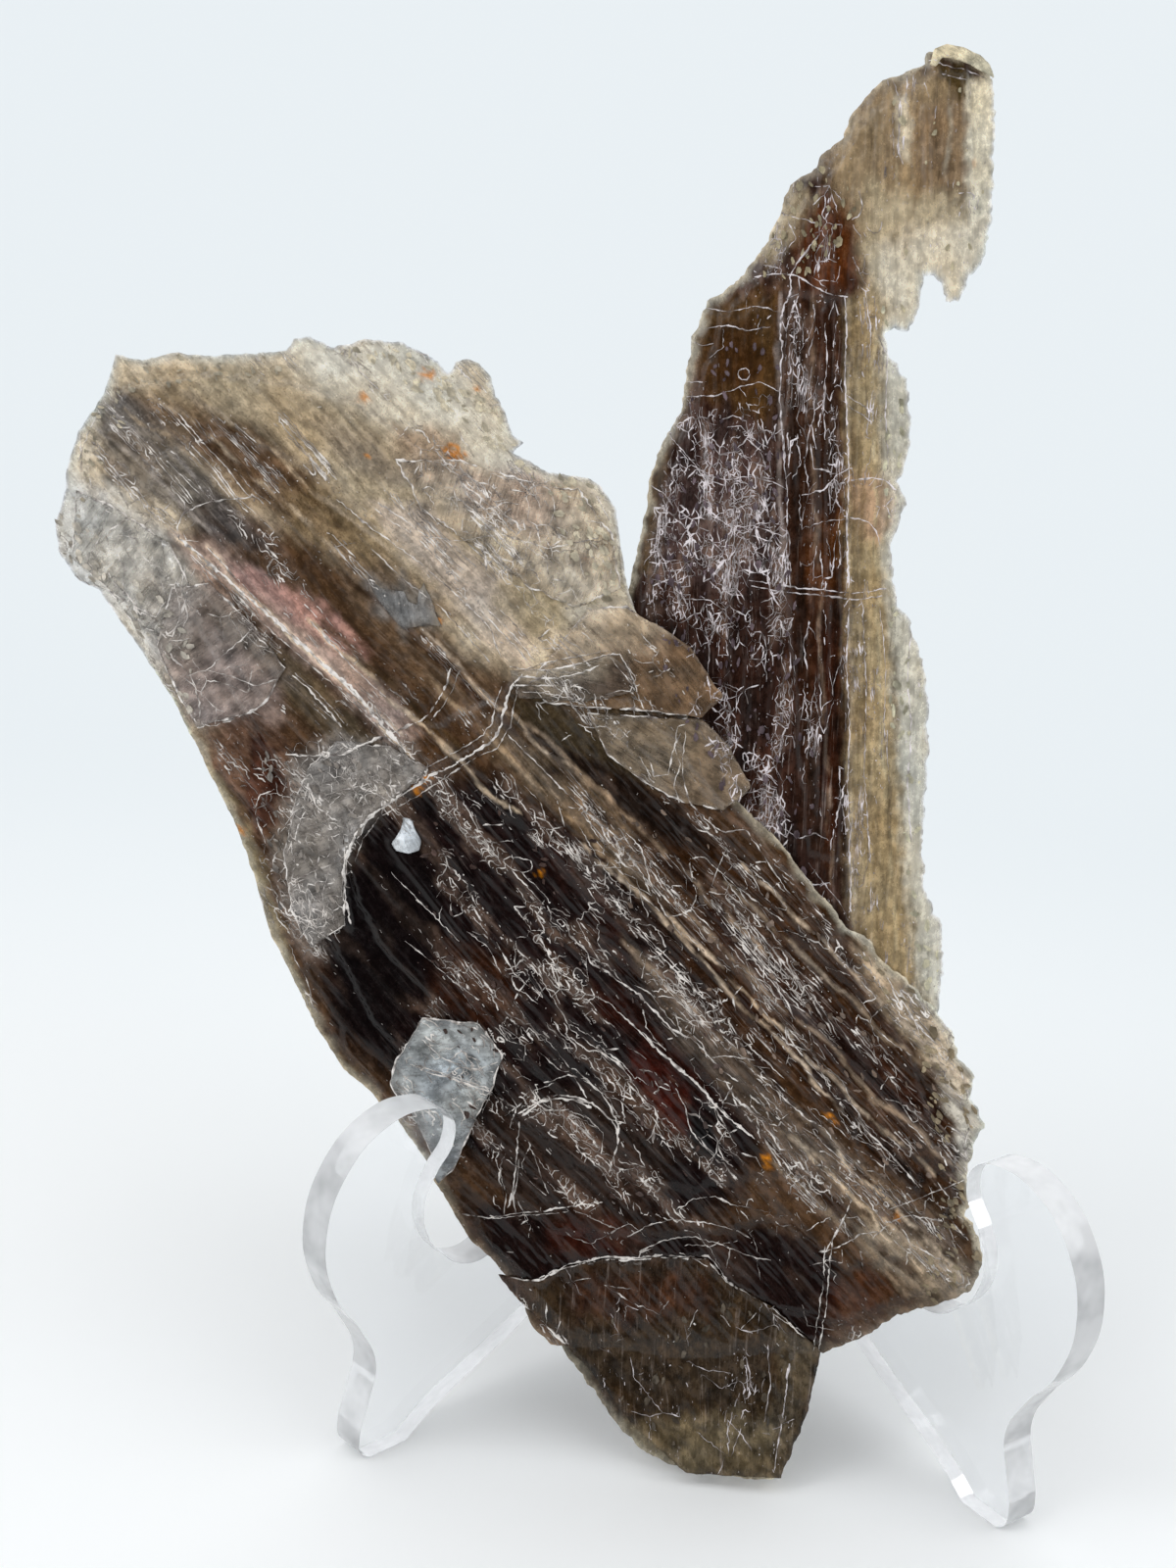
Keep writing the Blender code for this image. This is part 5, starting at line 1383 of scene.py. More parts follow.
# outline, density, length mm, spread deg, curl, width px, brightness
MAIN_FIELDS = [
    (CORE_TERRACE, 0.25, (0.6, 2.6), 25, 0.75, (0.8, 1.7), (0.45, 1.0)),
    ([(470, 800), (560, 790), (640, 850), (700, 940), (720, 1010), (640, 1020), (540, 990),
      (470, 920)], 0.9, (0.4, 1.8), 70, 0.9, (0.9, 1.9), (0.6, 1.0)),
    ([(640, 860), (740, 850), (880, 960), (990, 1090), (1000, 1300), (900, 1290),
      (780, 1150)], 0.9, (1.2, 6.0), 5, 0.12, (0.6, 1.4), (0.30, 0.75)),
    ([(560, 790), (680, 880), (800, 1010), (900, 1120), (985, 1230), (980, 1300),
      (850, 1220), (700, 1070)], 0.8, (0.6, 2.4), 22, 0.45, (0.8, 1.6), (0.4, 0.95)),
    ([(470, 1100), (660, 1090), (760, 1180), (740, 1260), (500, 1260)], 2.2, (0.3, 1.7), 90,
     0.7, (0.7, 1.6), (0.5, 1.0)),
    ([(640, 1180), (800, 1170), (850, 1260), (840, 1300), (640, 1300)], 0.8, (0.5, 2.2), 60,
     0.6, (0.8, 1.5), (0.4, 0.9)),
    ([(262, 770), (340, 752), (430, 756), (440, 800), (362, 870), (350, 950), (320, 975),
      (285, 930), (258, 860)], 4.2, (0.4, 2.2), 70, 0.55, (0.7, 1.6), (0.6, 1.0)),
    ([(180, 660), (262, 650), (320, 740), (262, 790), (205, 760)], 1.8, (0.4, 2.0), 60, 0.4,
     (0.7, 1.5), (0.5, 1.0)),
    ([(90, 400), (180, 400), (300, 560), (280, 640), (180, 600), (80, 520)], 1.6,
     (0.5, 2.6), 14, 0.25, (0.6, 1.3), (0.4, 0.9)),
    ([(180, 545), (260, 560), (430, 710), (480, 800), (430, 790), (300, 690)], 0.7,
     (1.0, 5.0), 5, 0.12, (0.6, 1.4), (0.35, 0.8)),
    ([(300, 480), (420, 520), (560, 660), (560, 760), (440, 700), (330, 580)], 1.4,
     (0.5, 3.0), 10, 0.2, (0.6, 1.3), (0.4, 0.95)),
    ([(300, 350), (460, 360), (640, 500), (640, 640), (560, 640), (400, 480)], 2.2,
     (0.3, 1.6), 35, 0.4, (0.6, 1.3), (0.5, 1.0)),
    ([(380, 490), (480, 520), (560, 600), (560, 690), (470, 620)], 2.4,
     (0.8, 3.0), 6, 0.2, (0.6, 1.4), (0.5, 1.0)),
    ([(120, 370), (300, 360), (400, 470), (300, 480), (150, 420)], 0.8, (0.3, 1.2), 50,
     0.3, (0.5, 1.1), (0.4, 0.8)),
    ([(520, 670), (700, 660), (740, 740), (700, 820), (560, 790)], 0.55, (0.4, 1.8), 70,
     0.6, (0.7, 1.4), (0.4, 0.9)),
    ([(500, 1240), (860, 1240), (860, 1370), (560, 1370)], 0.35, (0.4, 2.0), 80, 0.6,
     (0.7, 1.3), (0.3, 0.75)),
    ([(860, 1230), (1000, 1250), (985, 1320), (880, 1350)], 0.6, (0.6, 3.0), 12, 0.2,
     (0.6, 1.4), (0.4, 0.85)),
]
UPRIGHT_FIELDS = [
    ([(660, 520), (690, 430), (790, 400), (804, 560), (810, 720), (840, 900), (760, 860),
      (700, 720), (650, 620)], 0.5, (0.3, 1.5), 25, 0.5, (0.7, 1.5), (0.5, 1.0)),
    ([(660, 520), (690, 430), (790, 400), (804, 560), (800, 700), (720, 700), (650, 620)],
     0.35, (0.3, 1.4), 90, 0.5, (0.7, 1.4), (0.5, 1.0)),
    ([(700, 400), (722, 310), (790, 280), (800, 400)], 0.45, (0.3, 1.5), 80, 0.4,
     (0.6, 1.3), (0.3, 0.8)),
    ([(796, 300), (866, 300), (866, 480), (866, 900), (830, 880), (800, 600)], 1.3,
     (0.4, 3.0), 7, 0.2, (0.6, 1.5), (0.35, 0.95)),
    ([(780, 240), (812, 190), (880, 150), (890, 300), (800, 300)], 0.7, (0.3, 1.6), 60,
     0.5, (0.6, 1.4), (0.4, 0.85)),
    ([(866, 320), (912, 320), (940, 760), (960, 1000), (870, 960)], 0.45, (0.3, 2.0), 25,
     0.3, (0.5, 1.1), (0.35, 0.75)),
    ([(870, 110), (1010, 70), (1010, 260), (900, 300)], 0.25, (0.3, 1.6), 40, 0.3,
     (0.5, 1.1), (0.35, 0.75)),
    ([(540, 1300), (620, 1290), (660, 1420), (640, 1460), (580, 1390)], 0.7, (0.3, 1.5), 80,
     0.7, (0.6, 1.4), (0.4, 0.85)),
    ([(640, 1300), (830, 1350), (800, 1500), (660, 1480)], 0.22, (0.4, 2.0), 30, 0.4,
     (0.6, 1.2), (0.25, 0.6)),
]


# outline, cell size mm, (grain angle, stretch), share kept, width px, brightness
MAIN_WEBS = [
    ([(390, 430), (470, 440), (620, 500), (640, 600), (560, 640), (470, 560)], 1.2,
     (-42, 1.5), 0.55, (0.7, 1.4), (0.5, 0.95)),
    ([(262, 770), (340, 752), (430, 756), (430, 800), (362, 870), (350, 950), (320, 975),
      (285, 930), (258, 860)], 0.9, (-60, 1.4), 0.75, (0.8, 1.7), (0.5, 1.0)),
    ([(450, 790), (560, 790), (700, 930), (760, 1080), (740, 1230), (500, 1220), (450, 960)],
     1.4, (-45, 2.2), 0.42, (0.8, 1.6), (0.45, 0.95)),
    ([(600, 860), (760, 860), (990, 1090), (1000, 1280), (880, 1290), (700, 1060)], 1.5,
     (-43, 3.2), 0.45, (0.7, 1.5), (0.4, 0.9)),
    ([(500, 1230), (860, 1230), (860, 1370), (560, 1370)], 1.8, (-10, 1.5), 0.25,
     (0.7, 1.4), (0.25, 0.6)),
    ([(540, 640), (740, 690), (760, 810), (680, 800), (530, 740)], 1.5, (-30, 1.3), 0.35,
     (0.7, 1.4), (0.4, 0.8)),
    ([(90, 480), (190, 520), (260, 640), (280, 740), (200, 740), (90, 600)], 1.6,
     (-50, 1.5), 0.40, (0.7, 1.4), (0.35, 0.8)),
]
UPRIGHT_WEBS = [
    ([(660, 560), (690, 430), (790, 400), (804, 560), (810, 720), (780, 850), (700, 720)],
     0.95, (-80, 1.5), 0.70, (0.6, 1.8), (0.5, 1.0)),
    ([(656, 570), (690, 450), (760, 410), (796, 440), (800, 590), (740, 620), (680, 630)],
     1.2, (-65, 1.3), 0.70, (0.7, 2.0), (0.6, 1.0)),
    ([(700, 640), (790, 800), (850, 930), (820, 930), (740, 830)],
     0.9, (-70, 1.4), 0.60, (0.8, 2.0), (0.5, 1.0)),
    ([(700, 400), (722, 310), (790, 280), (800, 400)], 1.9, (-20, 1.5), 0.4, (0.7, 1.4),
     (0.4, 0.8)),
    ([(780, 260), (812, 185), (880, 170), (890, 300), (800, 310)], 1.3, (-80, 1.4), 0.45,
     (0.8, 1.5), (0.4, 0.85)),
    ([(796, 300), (866, 300), (868, 900), (830, 900), (800, 600)], 1.1, (-88, 3.5), 0.45,
     (0.8, 1.6), (0.4, 0.95)),
    ([(866, 440), (912, 440), (912, 620), (866, 620)], 1.3, (-60, 1.3), 0.4, (0.7, 1.3),
     (0.4, 0.8)),
    ([(700, 560), (810, 560), (850, 930), (780, 880), (700, 740)], 1.6, (-80, 2.0), 0.40,
     (0.8, 1.5), (0.4, 0.9)),
    ([(560, 1290), (830, 1340), (800, 1500), (660, 1490)], 2.2, (-60, 1.6), 0.25,
     (0.6, 1.2), (0.3, 0.6)),
]


def finer(line, spacing, shake, chance):
    """A drawn line resampled and shaken a little, as a crack runs."""
    points = resample(line, spacing, False)
    return points + chance.normal(0.0, shake, points.shape)


LINES_PER_SQUARE_MM = 0.05   # in a field of density 1
STRONG_SHARE = 0.16          # share of them that are long, wide and bright


def random_lines(fields, angle, chance):
    """Short crooked lines scattered over the fields."""
    made = []
    for outline, density, length, spread, curl, width, bright in fields:
        ring = on_plane(outline)
        low = ring.min(0)
        size = ring.max(0) - low
        count = int(LINES_PER_SQUARE_MM * density * size[0] * size[1])
        seeds = low + chance.random((count, 2)) * size
        seeds = seeds[inside(seeds[:, 0], seeds[:, 1], ring)]
        cluster = bundles(seeds[:, 0], seeds[:, 1], angle)
        seeds = seeds[cluster + chance.normal(0, 0.30, len(seeds)) > 0.05]
        for seed_point in seeds:
            strong = chance.random() < STRONG_SHARE
            reach = chance.uniform(*length) * chance.uniform(0.4, 1.0) * (1.4 if strong else 1.0)
            steps = int(np.clip(reach / 0.30, 2, 14))
            heading = math.radians(angle + chance.normal(0, spread)) + math.pi * chance.integers(2)
            turns = chance.normal(0, 0.35 * curl, steps)
            sharp = chance.random(steps) < 0.35 * min(curl * 1.5, 1)
            turns += sharp * chance.choice([-1, 1], steps) * chance.uniform(0.6, 1.5, steps)
            headings = heading + np.cumsum(turns)
            walk = np.stack([np.cos(headings), np.sin(headings)], 1) * reach / steps
            line = seed_point + np.vstack([[0, 0], np.cumsum(walk, 0)])
            wide = chance.uniform(1.3, 2.4) if strong else chance.uniform(*width) * 0.8
            shine = chance.uniform(0.75, 1.0) if strong else chance.uniform(*bright) * 0.8
            made.append((wide, shine, line))
    return made


def uneven(lines, seed):
    """Let the width and strength of every line swell and fade along its run."""
    flat = np.vstack([line for _, _, line in lines])
    swell = np.clip(0.85 + 1.2 * fractal(flat[:, 0], flat[:, 1], seed, 3), 0.45, 1.6)
    flick = np.clip(0.92 + 2.3 * fractal(flat[:, 0] * 1.3, flat[:, 1] * 1.3, seed + 1, 3),
                    0.04, 1.6)
    cuts = np.cumsum([len(line) for _, _, line in lines])[:-1]
    return [(width * thick, np.clip(bright * shine, 0, 1), line)
            for (width, bright, line), thick, shine in zip(
                lines, np.split(swell, cuts), np.split(flick, cuts))]


def crack_web(webs, angle, chance):
    """Angular networks of cracks: the borders between scattered cells, partly missing."""
    made = []
    for outline, spacing, stretch, keep, width, bright in webs:
        field = on_plane(outline)
        low = field.min(0) - spacing
        span = field.max(0) - low + spacing
        count = int(span[0] * span[1] / spacing ** 2)
        seeds = low + chance.random((count, 2)) * span
        grain = turned(stretch[0])
        local = seeds @ grain.T
        local[:, 0] /= stretch[1]
        points, _, faces, _, _, _ = delaunay_2d_cdt(
            [Vector(xy) for xy in local.tolist()], [], [], 0, 1e-7, False)
        points = np.array([tuple(v) for v in points])
        centres = []
        owners = {}
        for index, face in enumerate(faces):
            (ax, ay), (bx, by), (cx, cy) = points[face[0]], points[face[1]], points[face[2]]
            d = 2 * (ax * (by - cy) + bx * (cy - ay) + cx * (ay - by)) + 1e-12
            a2, b2, c2 = ax * ax + ay * ay, bx * bx + by * by, cx * cx + cy * cy
            centres.append(((a2 * (by - cy) + b2 * (cy - ay) + c2 * (ay - by)) / d,
                            (a2 * (cx - bx) + b2 * (ax - cx) + c2 * (bx - ax)) / d))
            for k in range(3):
                owners.setdefault(frozenset((face[k], face[(k + 1) % 3])), []).append(index)
        centres = np.array(centres)
        centres[:, 0] *= stretch[1]
        centres = centres @ grain
        for pair in owners.values():
            if len(pair) < 2:
                continue
            start, end = centres[pair[0]], centres[pair[1]]
            size = np.hypot(*(end - start))
            middle = (start + end) / 2
            if size < 0.15 or size > 4 * spacing * stretch[1]:
                continue
            here = fractal(middle[:1] * 0.34, middle[1:] * 0.34, 470, 3)[0]
            here = 0.7 * here + 0.25 * bundles(middle[:1], middle[1:], angle)[0]
            if here + chance.normal(0, 0.07) < 0.30 - 0.6 * keep:
                continue
            if not inside(middle[:1], middle[1:], field)[0]:
                continue
            line = resample(np.array([start, end]), 0.3, False)
            line[1:-1] += chance.normal(0, 0.05, line[1:-1].shape)
            force = np.clip(0.5 + 1.6 * fractal(line[:, 0] * 0.5, line[:, 1] * 0.5, 480, 3), 0, 1)
            made.append((width[0] + (width[1] - width[0]) * force,
                         bright[0] * 0.7 + (min(bright[1] * 1.2, 1) - bright[0] * 0.7) * force,
                         line))
    return made


def level_runs(p, q, field, level, keep):
    """Chains of points where a gridded field passes through a level, where keep allows."""
    size = field.size
    above = field > level
    index = np.arange(size).reshape(field.shape)
    spots = np.zeros((3 * size, 2))
    whole, before, after = slice(None), slice(None, -1), slice(1, None)

    def crossings(kind, a, b):
        cut = above[a] != above[b]
        share = (level - field[a][cut]) / (field[b][cut] - field[a][cut])
        number = index[a][cut] + kind * size
        spots[number, 0] = p[a][cut] + share * (p[b][cut] - p[a][cut])
        spots[number, 1] = q[a][cut] + share * (q[b][cut] - q[a][cut])
        every = np.zeros(field.shape, bool)
        every[a] = cut
        return every

    flat = crossings(0, (whole, before), (whole, after))
    upright = crossings(1, (before, whole), (after, whole))
    slanted = crossings(2, (before, before), (after, after))
    here, right, below = (before, before), (before, after), (after, before)
    pairs = []
    for (first, at), (second, where) in (((flat, here), (upright, right)),
                                         ((upright, here), (flat, below))):
        kinds = (0, 1) if first is flat else (1, 0)
        a, b, c = first[at], second[where], slanted[here]
        number_a = index[at] + kinds[0] * size
        number_b = index[where] + kinds[1] * size
        number_c = index[here] + 2 * size
        for one, two, start, end in ((a, b, number_a, number_b), (a, c, number_a, number_c),
                                     (b, c, number_b, number_c)):
            both = one & two
            pairs.append(np.stack([start[both], end[both]], 1))
    pairs = np.concatenate(pairs)
    ids, compact = np.unique(pairs, return_inverse=True)
    compact = compact.reshape(-1, 2)
    points = spots[ids]
    good = keep(points)
    compact = compact[good[compact].all(1)]
    near = [[] for _ in range(len(ids))]
    for a, b in compact.tolist():
        near[a].append(b)
        near[b].append(a)
    used = np.zeros(len(ids), bool)
    runs = []
    starts = [k for k in range(len(ids)) if len(near[k]) == 1]
    for start in starts + list(range(len(ids))):
        if used[start] or not near[start]:
            continue
        chain = [start]
        used[start] = True
        while True:
            onward = [k for k in near[chain[-1]] if not used[k]]
            if not onward:
                break
            used[onward[0]] = True
            chain.append(onward[0])
        if len(chain) > 3:
            runs.append(points[chain])
    return runs


def mark_sampler(ring, paint):
    """The mark strengths of the painted patches, looked up anywhere on a blade."""
    low = ring.min(0) - 1.0
    high = ring.max(0) + 1.0
    step = 0.7
    u = np.arange(low[0], high[0] + step, step)
    v = np.arange(low[1], high[1] + step, step)
    grid_p, grid_q = np.meshgrid(u, v)
    table = coloured(grid_p, grid_q, paint, clear=0.1)[..., 4:7]

    def sample(p, q):
        x = np.clip((p - low[0]) / step, 0, len(u) - 1.001)
        y = np.clip((q - low[1]) / step, 0, len(v) - 1.001)
        ix, iy = x.astype(int), y.astype(int)
        fx, fy = (x - ix)[:, None], (y - iy)[:, None]
        return ((table[iy, ix] * (1 - fx) + table[iy, ix + 1] * fx) * (1 - fy)
                + (table[iy + 1, ix] * (1 - fx) + table[iy + 1, ix + 1] * fx) * fy)
    return sample


def sheet_edges(ring, angle, families, sample, seed, chance):
    """Broken bright lines along the edges of the thin sheets that make up a blade."""
    made = []
    low = ring.min(0)
    high = ring.max(0)
    step = 0.15
    grid_p, grid_q = np.meshgrid(np.arange(low[0], high[0], step), np.arange(low[1], high[1], step))
    shake_p = 0.10 * fractal(grid_p * 1.6, grid_q * 1.6, seed, 2)
    shake_q = 0.10 * fractal(grid_p * 1.6, grid_q * 1.6, seed + 3, 2)
    shaken_p, shaken_q = grid_p + shake_p, grid_q + shake_q
    for number, (field, levels, weights, cut, spacing, width) in enumerate(families):
        values = field(shaken_p, shaken_q)

        def force(points, number=number, weights=weights):
            marks = sample(points[:, 0], points[:, 1])
            drift = fractal(points[:, 0] * 0.25, points[:, 1] * 0.25, seed + 31 * number, 3)
            drift = 0.5 * drift + 0.42 * bundles(points[:, 0], points[:, 1], angle)
            return weights[0] + weights[1] * marks[:, 0] + weights[2] * marks[:, 2] + drift

        runs = []
        for level in levels:
            runs += level_runs(grid_p, grid_q, values, level,
                               lambda points: force(points) > cut)
        for index, run in enumerate(runs):
            count = len(run)
            picks = np.cumsum(chance.integers(spacing[0], spacing[1] + 1, count))
            runs[index] = run[np.r_[0, picks[picks < count - 1], count - 1]]
        if not runs:
            continue
        every = np.vstack(runs)
        strength = np.clip(force(every) - cut, 0, 0.7) / 0.7
        flick = fractal(every[:, 0] * 0.8, every[:, 1] * 0.8, seed + 7 + 31 * number, 3)
        flick = np.clip(flick + 0.05, 0, 1)
        every = every + chance.normal(0, 0.018, every.shape)
        cursor = 0
        for run in runs:
            part = slice(cursor, cursor + len(run))
            cursor += len(run)
            wide = chance.uniform(*width) * (0.6 + 0.4 * strength[part] + 0.9 * flick[part])
            shine = 0.15 + 0.50 * strength[part] + 1.2 * flick[part] + chance.normal(0, 0.12)
            made.append((wide, np.clip(shine, 0.08, 1.0), every[part]))
    return made


def dashes(ring, angle, sample, weights, count, seed, chance):
    """Very short bright marks, crowded where the stone is most broken: painted glints, white specks
    that stand in for sparkling reflections.
    """
    low = ring.min(0)
    spots = low + chance.random((count, 2)) * (ring.max(0) - low)
    spots = spots[inside(spots[:, 0], spots[:, 1], ring)]
    marks = sample(spots[:, 0], spots[:, 1])
    crowd = bundles(spots[:, 0], spots[:, 1], angle)
    along, across = grain_coordinates(spots[:, 0], spots[:, 1], angle, seed + 1, 1.0)
    rows = fractal(along * 0.12, across * 1.3, seed + 2, 3)
    need = weights[0] + weights[1] * np.clip(marks[:, 0] - 0.18, 0, 1) + weights[2] * marks[:, 2]
    need = need * np.clip(0.75 + 1.3 * crowd + 1.4 * rows, 0, 3)
    spots = spots[chance.random(len(spots)) < need]
    total = len(spots)
    heading = np.radians(angle + chance.normal(0, 1, total) * np.where(
        chance.random(total) < 0.75, 10, 60))
    reach = 0.5 * np.clip(chance.lognormal(-2.0, 0.55, total), 0.07, 0.7)
    step = np.stack([np.cos(heading), np.sin(heading)], 1) * reach[:, None]
    wide = np.clip(chance.lognormal(0.15, 0.35, total), 0.8, 2.6)
    shine = np.clip(chance.lognormal(-0.65, 0.5, total), 0.15, 1.0)
    bend = chance.normal(0, 0.25, (total, 2)) * reach[:, None]
    made = []
    for k in range(total):
        points = [spots[k] - step[k], spots[k] + step[k]]
        if reach[k] > 0.20:
            points.insert(1, spots[k] + 0.5 * bend[k])
        made.append((wide[k], shine[k], np.array(points)))
    return made


def steps_between(steps, reach=0.7):
    """The values at which a stepped field changes level."""
    spots = (np.arange(-steps * 2, steps * 2) + 0.5) / steps
    return spots[np.abs(spots) < reach]


def grain_field(along_scale, across_scale, seed, octaves, angle, sway_seed, sway=1.2):
    """The noise behind one kind of layer, as a function of place."""
    def field(p, q):
        along, across = grain_coordinates(p, q, angle, sway_seed, sway)
        return fractal(along * along_scale, across * across_scale, seed, octaves)
    return field


def plain_field(scale, seed, octaves):
    """Noise that ignores the grain."""
    return lambda p, q: fractal(p * scale, q * scale, seed, octaves)


# field, levels, weights (plain, cracks, streaks), threshold, point spacing, width px
MAIN_FAMILIES = [
    (grain_field(0.20, 0.55, 50, 4, MAIN_GRAIN, 43), steps_between(4), (-0.12, 0.7, 0.0), 0.48,
     (2, 4), (1.1, 2.0)),
    (plain_field(0.25, 63, 5), steps_between(4), (-0.12, 0.7, -0.25), 0.50, (2, 4), (1.1, 2.0)),
    (grain_field(0.035, 0.55, 51, 3, MAIN_GRAIN, 21), steps_between(5), (-0.32, 0.1, 0.75), 0.46,
     (3, 7), (1.0, 1.8)),
    (grain_field(0.09, 1.5, 57, 3, MAIN_GRAIN, 21), steps_between(2.5), (-0.48, 0.1, 0.75), 0.60,
     (4, 6), (0.8, 1.3)),
]
UPRIGHT_FAMILIES = [
    (grain_field(0.20, 0.55, 60, 4, UPRIGHT_GRAIN, 53), steps_between(4), (-0.12, 0.55, 0.0),
     0.48, (2, 4), (1.0, 1.7)),
    (plain_field(0.35, 64, 5), steps_between(4), (-0.12, 0.6, -0.2), 0.48, (2, 4), (1.0, 1.8)),
    (grain_field(0.04, 0.7, 55, 3, UPRIGHT_GRAIN, 25, 0.7), steps_between(5),
     (-0.35, 0.1, 0.6), 0.42, (3, 6), (1.0, 1.7)),
    (grain_field(0.11, 1.6, 59, 3, UPRIGHT_GRAIN, 25, 0.7), steps_between(2.5),
     (-0.50, 0.1, 0.6), 0.55, (3, 5), (0.8, 1.3)),
]


def main_line_work():
    """All the bright lines on the main blade, by piece."""
    chance = np.random.default_rng(77)
    sample = mark_sampler(MAIN_RING, MAIN_PAINT)
    drawn = [(w, b, finer(on_plane(line, 0.9), 0.3, 0.035, chance)) for w, b, line in MAIN_LINES]
    drawn += random_lines(MAIN_FIELDS, MAIN_GRAIN, chance)
    drawn += crack_web(MAIN_WEBS, MAIN_GRAIN, chance) + leaf_outlines()
    edges = sheet_edges(MAIN_RING, MAIN_GRAIN, MAIN_FAMILIES[:2], sample, 900, chance)
    streaks = sheet_edges(MAIN_RING, MAIN_GRAIN, MAIN_FAMILIES[2:], sample, 930, chance)
    # painted glints: white specks standing in for sparkling reflections
    short = dashes(MAIN_RING, MAIN_GRAIN, sample, (0.02, 0.55, 0.10), 26000, 910, chance)
    return [("main_cracks", uneven(drawn, 690)), ("main_sheet_edges", edges),
            ("main_streak_edges", streaks), ("main_painted_glints", short)]


def upright_line_work():
    """All the bright lines on the upright blade, by piece."""
    chance = np.random.default_rng(78)
    sample = mark_sampler(UPRIGHT_RING, UPRIGHT_PAINT)
    circle = np.array([(CIRCLE_MARK[0] + CIRCLE_MARK[2] * math.cos(t),
                        CIRCLE_MARK[1] + CIRCLE_MARK[2] * math.sin(t))
                       for t in np.linspace(0, 2 * math.pi, 13)])
    drawn = [(w, b, finer(on_plane(line, -0.3), 0.3, 0.035, chance))
             for w, b, line in UPRIGHT_LINES + [(1.3, 0.7, circle)]]
    drawn += random_lines(UPRIGHT_FIELDS, UPRIGHT_GRAIN, chance)
    drawn += crack_web(UPRIGHT_WEBS, UPRIGHT_GRAIN, chance)
    edges = sheet_edges(UPRIGHT_RING, UPRIGHT_GRAIN, UPRIGHT_FAMILIES, sample, 950, chance)
    # painted glints: white specks standing in for sparkling reflections
    short = dashes(UPRIGHT_RING, UPRIGHT_GRAIN, sample, (0.02, 0.60, 0.10), 26000, 960, chance)
    loose = edges + short
    middles = np.array([line.mean(0) for _, _, line in loose])
    open_to_view = ~inside(middles[:, 0], middles[:, 1], MAIN_RING)
    kept = [[piece for piece, seen in zip(group, mask) if seen] for group, mask in (
        (edges, open_to_view[:len(edges)]), (short, open_to_view[len(edges):]))]
    return [("upright_cracks", uneven(drawn, 695)), ("upright_sheet_edges", kept[0]),
            ("upright_painted_glints", kept[1])]


def back_lines(ring, angle, seed):
    """Bright sheet edges on the rear face of a blade, and painted glints: white specks standing in
    for sparkling reflections.
    """
    chance = np.random.default_rng(seed)

    def sample(p, q):
        return np.tile([0.55, 0.3, 0.6], (len(p), 1))

    families = [
        (grain_field(0.20, 0.55, seed + 1, 4, angle, 23), steps_between(4), (-0.12, 0.7, 0.0),
         0.42, (3, 6), (1.0, 1.7)),
        (plain_field(0.25, seed + 2, 5), steps_between(4), (-0.12, 0.7, 0.0), 0.46, (3, 6),
         (1.0, 1.8)),
        (grain_field(0.05, 0.6, seed + 3, 3, angle, 23), steps_between(4), (-0.2, 0.0, 0.75),
         0.34, (4, 8), (1.0, 1.8))]
    return sheet_edges(ring, angle, families, sample, 1000 + seed, chance) + dashes(
        ring, angle, sample, (0.02, 0.3, 0.05), 9000, 1100 + seed, chance)


# mm above the surface for a thread's top, mm below it for its base, and times its drawn width
THREAD_RISE = 0.035
THREAD_SINK = 0.05
THREAD_SPREAD = 1.3


def filament_mesh(name, lines, ring, surface, side, material):
    """Every line as a low three-sided thread on the surface; side -1 is the rear face."""
    vertices = []
    faces = []
    shades = []
    start = 0
    flat = np.vstack([line for _, _, line in lines])
    keep = inside(flat[:, 0], flat[:, 1], ring)
    levels = surface(flat[:, 0], flat[:, 1])
    cursor = 0
    for width, bright, line in lines:
        count = len(line)
        part = slice(cursor, cursor + count)
        cursor += count
        good = keep[part]
        if good.sum() < 2:
            continue
        width = np.broadcast_to(width, count)
        bright = np.broadcast_to(bright, count)
        level = levels[part]
        if not good.all():
            first = int(np.argmax(good))
            stop = first + int(np.argmin(np.r_[good[first:], False]))
            line, level = line[first:stop], level[first:stop]
            width, bright = width[first:stop], bright[first:stop]
            count = len(line)
            if count < 2:
                continue
        run = np.gradient(line, axis=0)
        across = np.stack([-run[:, 1], run[:, 0]], 1)
        across /= np.linalg.norm(across, axis=1)[:, None] + 1e-9
        ends = np.minimum(np.arange(count), count - 1 - np.arange(count))
        taper = np.minimum(1.0, 0.55 + 0.45 * ends)
        half = THREAD_SPREAD * width / PIXELS_PER_MM / 2 * taper
        left = line + across * half[:, None]
        right = line - across * half[:, None]
        high = level + side * (THREAD_RISE + 0.45 * half)
        low = level - side * THREAD_SINK
        points = np.empty((count, 3, 3))
        points[:, 0] = in_space(left[:, 0], left[:, 1], low)
        points[:, 1] = in_space(right[:, 0], right[:, 1], low)
        points[:, 2] = in_space(line[:, 0], line[:, 1], high)
        vertices.append(points.reshape(-1, 3))
        shades.append(np.repeat(bright, 3))
        base = start + np.arange(count - 1) * 3
        order = ((0, 1), (1, 2), (2, 0)) if side > 0 else ((1, 0), (2, 1), (0, 2))
        for a, b in order:
            faces.append(np.stack([base + a, base + a + 3, base + b + 3, base + b], 1))
        last = start + (count - 1) * 3
        caps = [(start, start + 1, start + 2), (last + 2, last + 1, last)]
        if side < 0:
            caps = [cap[::-1] for cap in caps]
        faces.append(np.array([cap + (cap[0],) for cap in caps]))
        start += count * 3
    polygons = []
    for block in faces:
        for face in block.tolist():
            polygons.append(face[:3] if face[0] == face[3] else face)
    made = make_object(name, np.vstack(vertices), polygons)
    layer = made.data.attributes.new("shade", "FLOAT", "POINT")
    layer.data.foreach_set("value", np.concatenate(shades).astype(np.float32))
    made.data.materials.append(material)
    return made


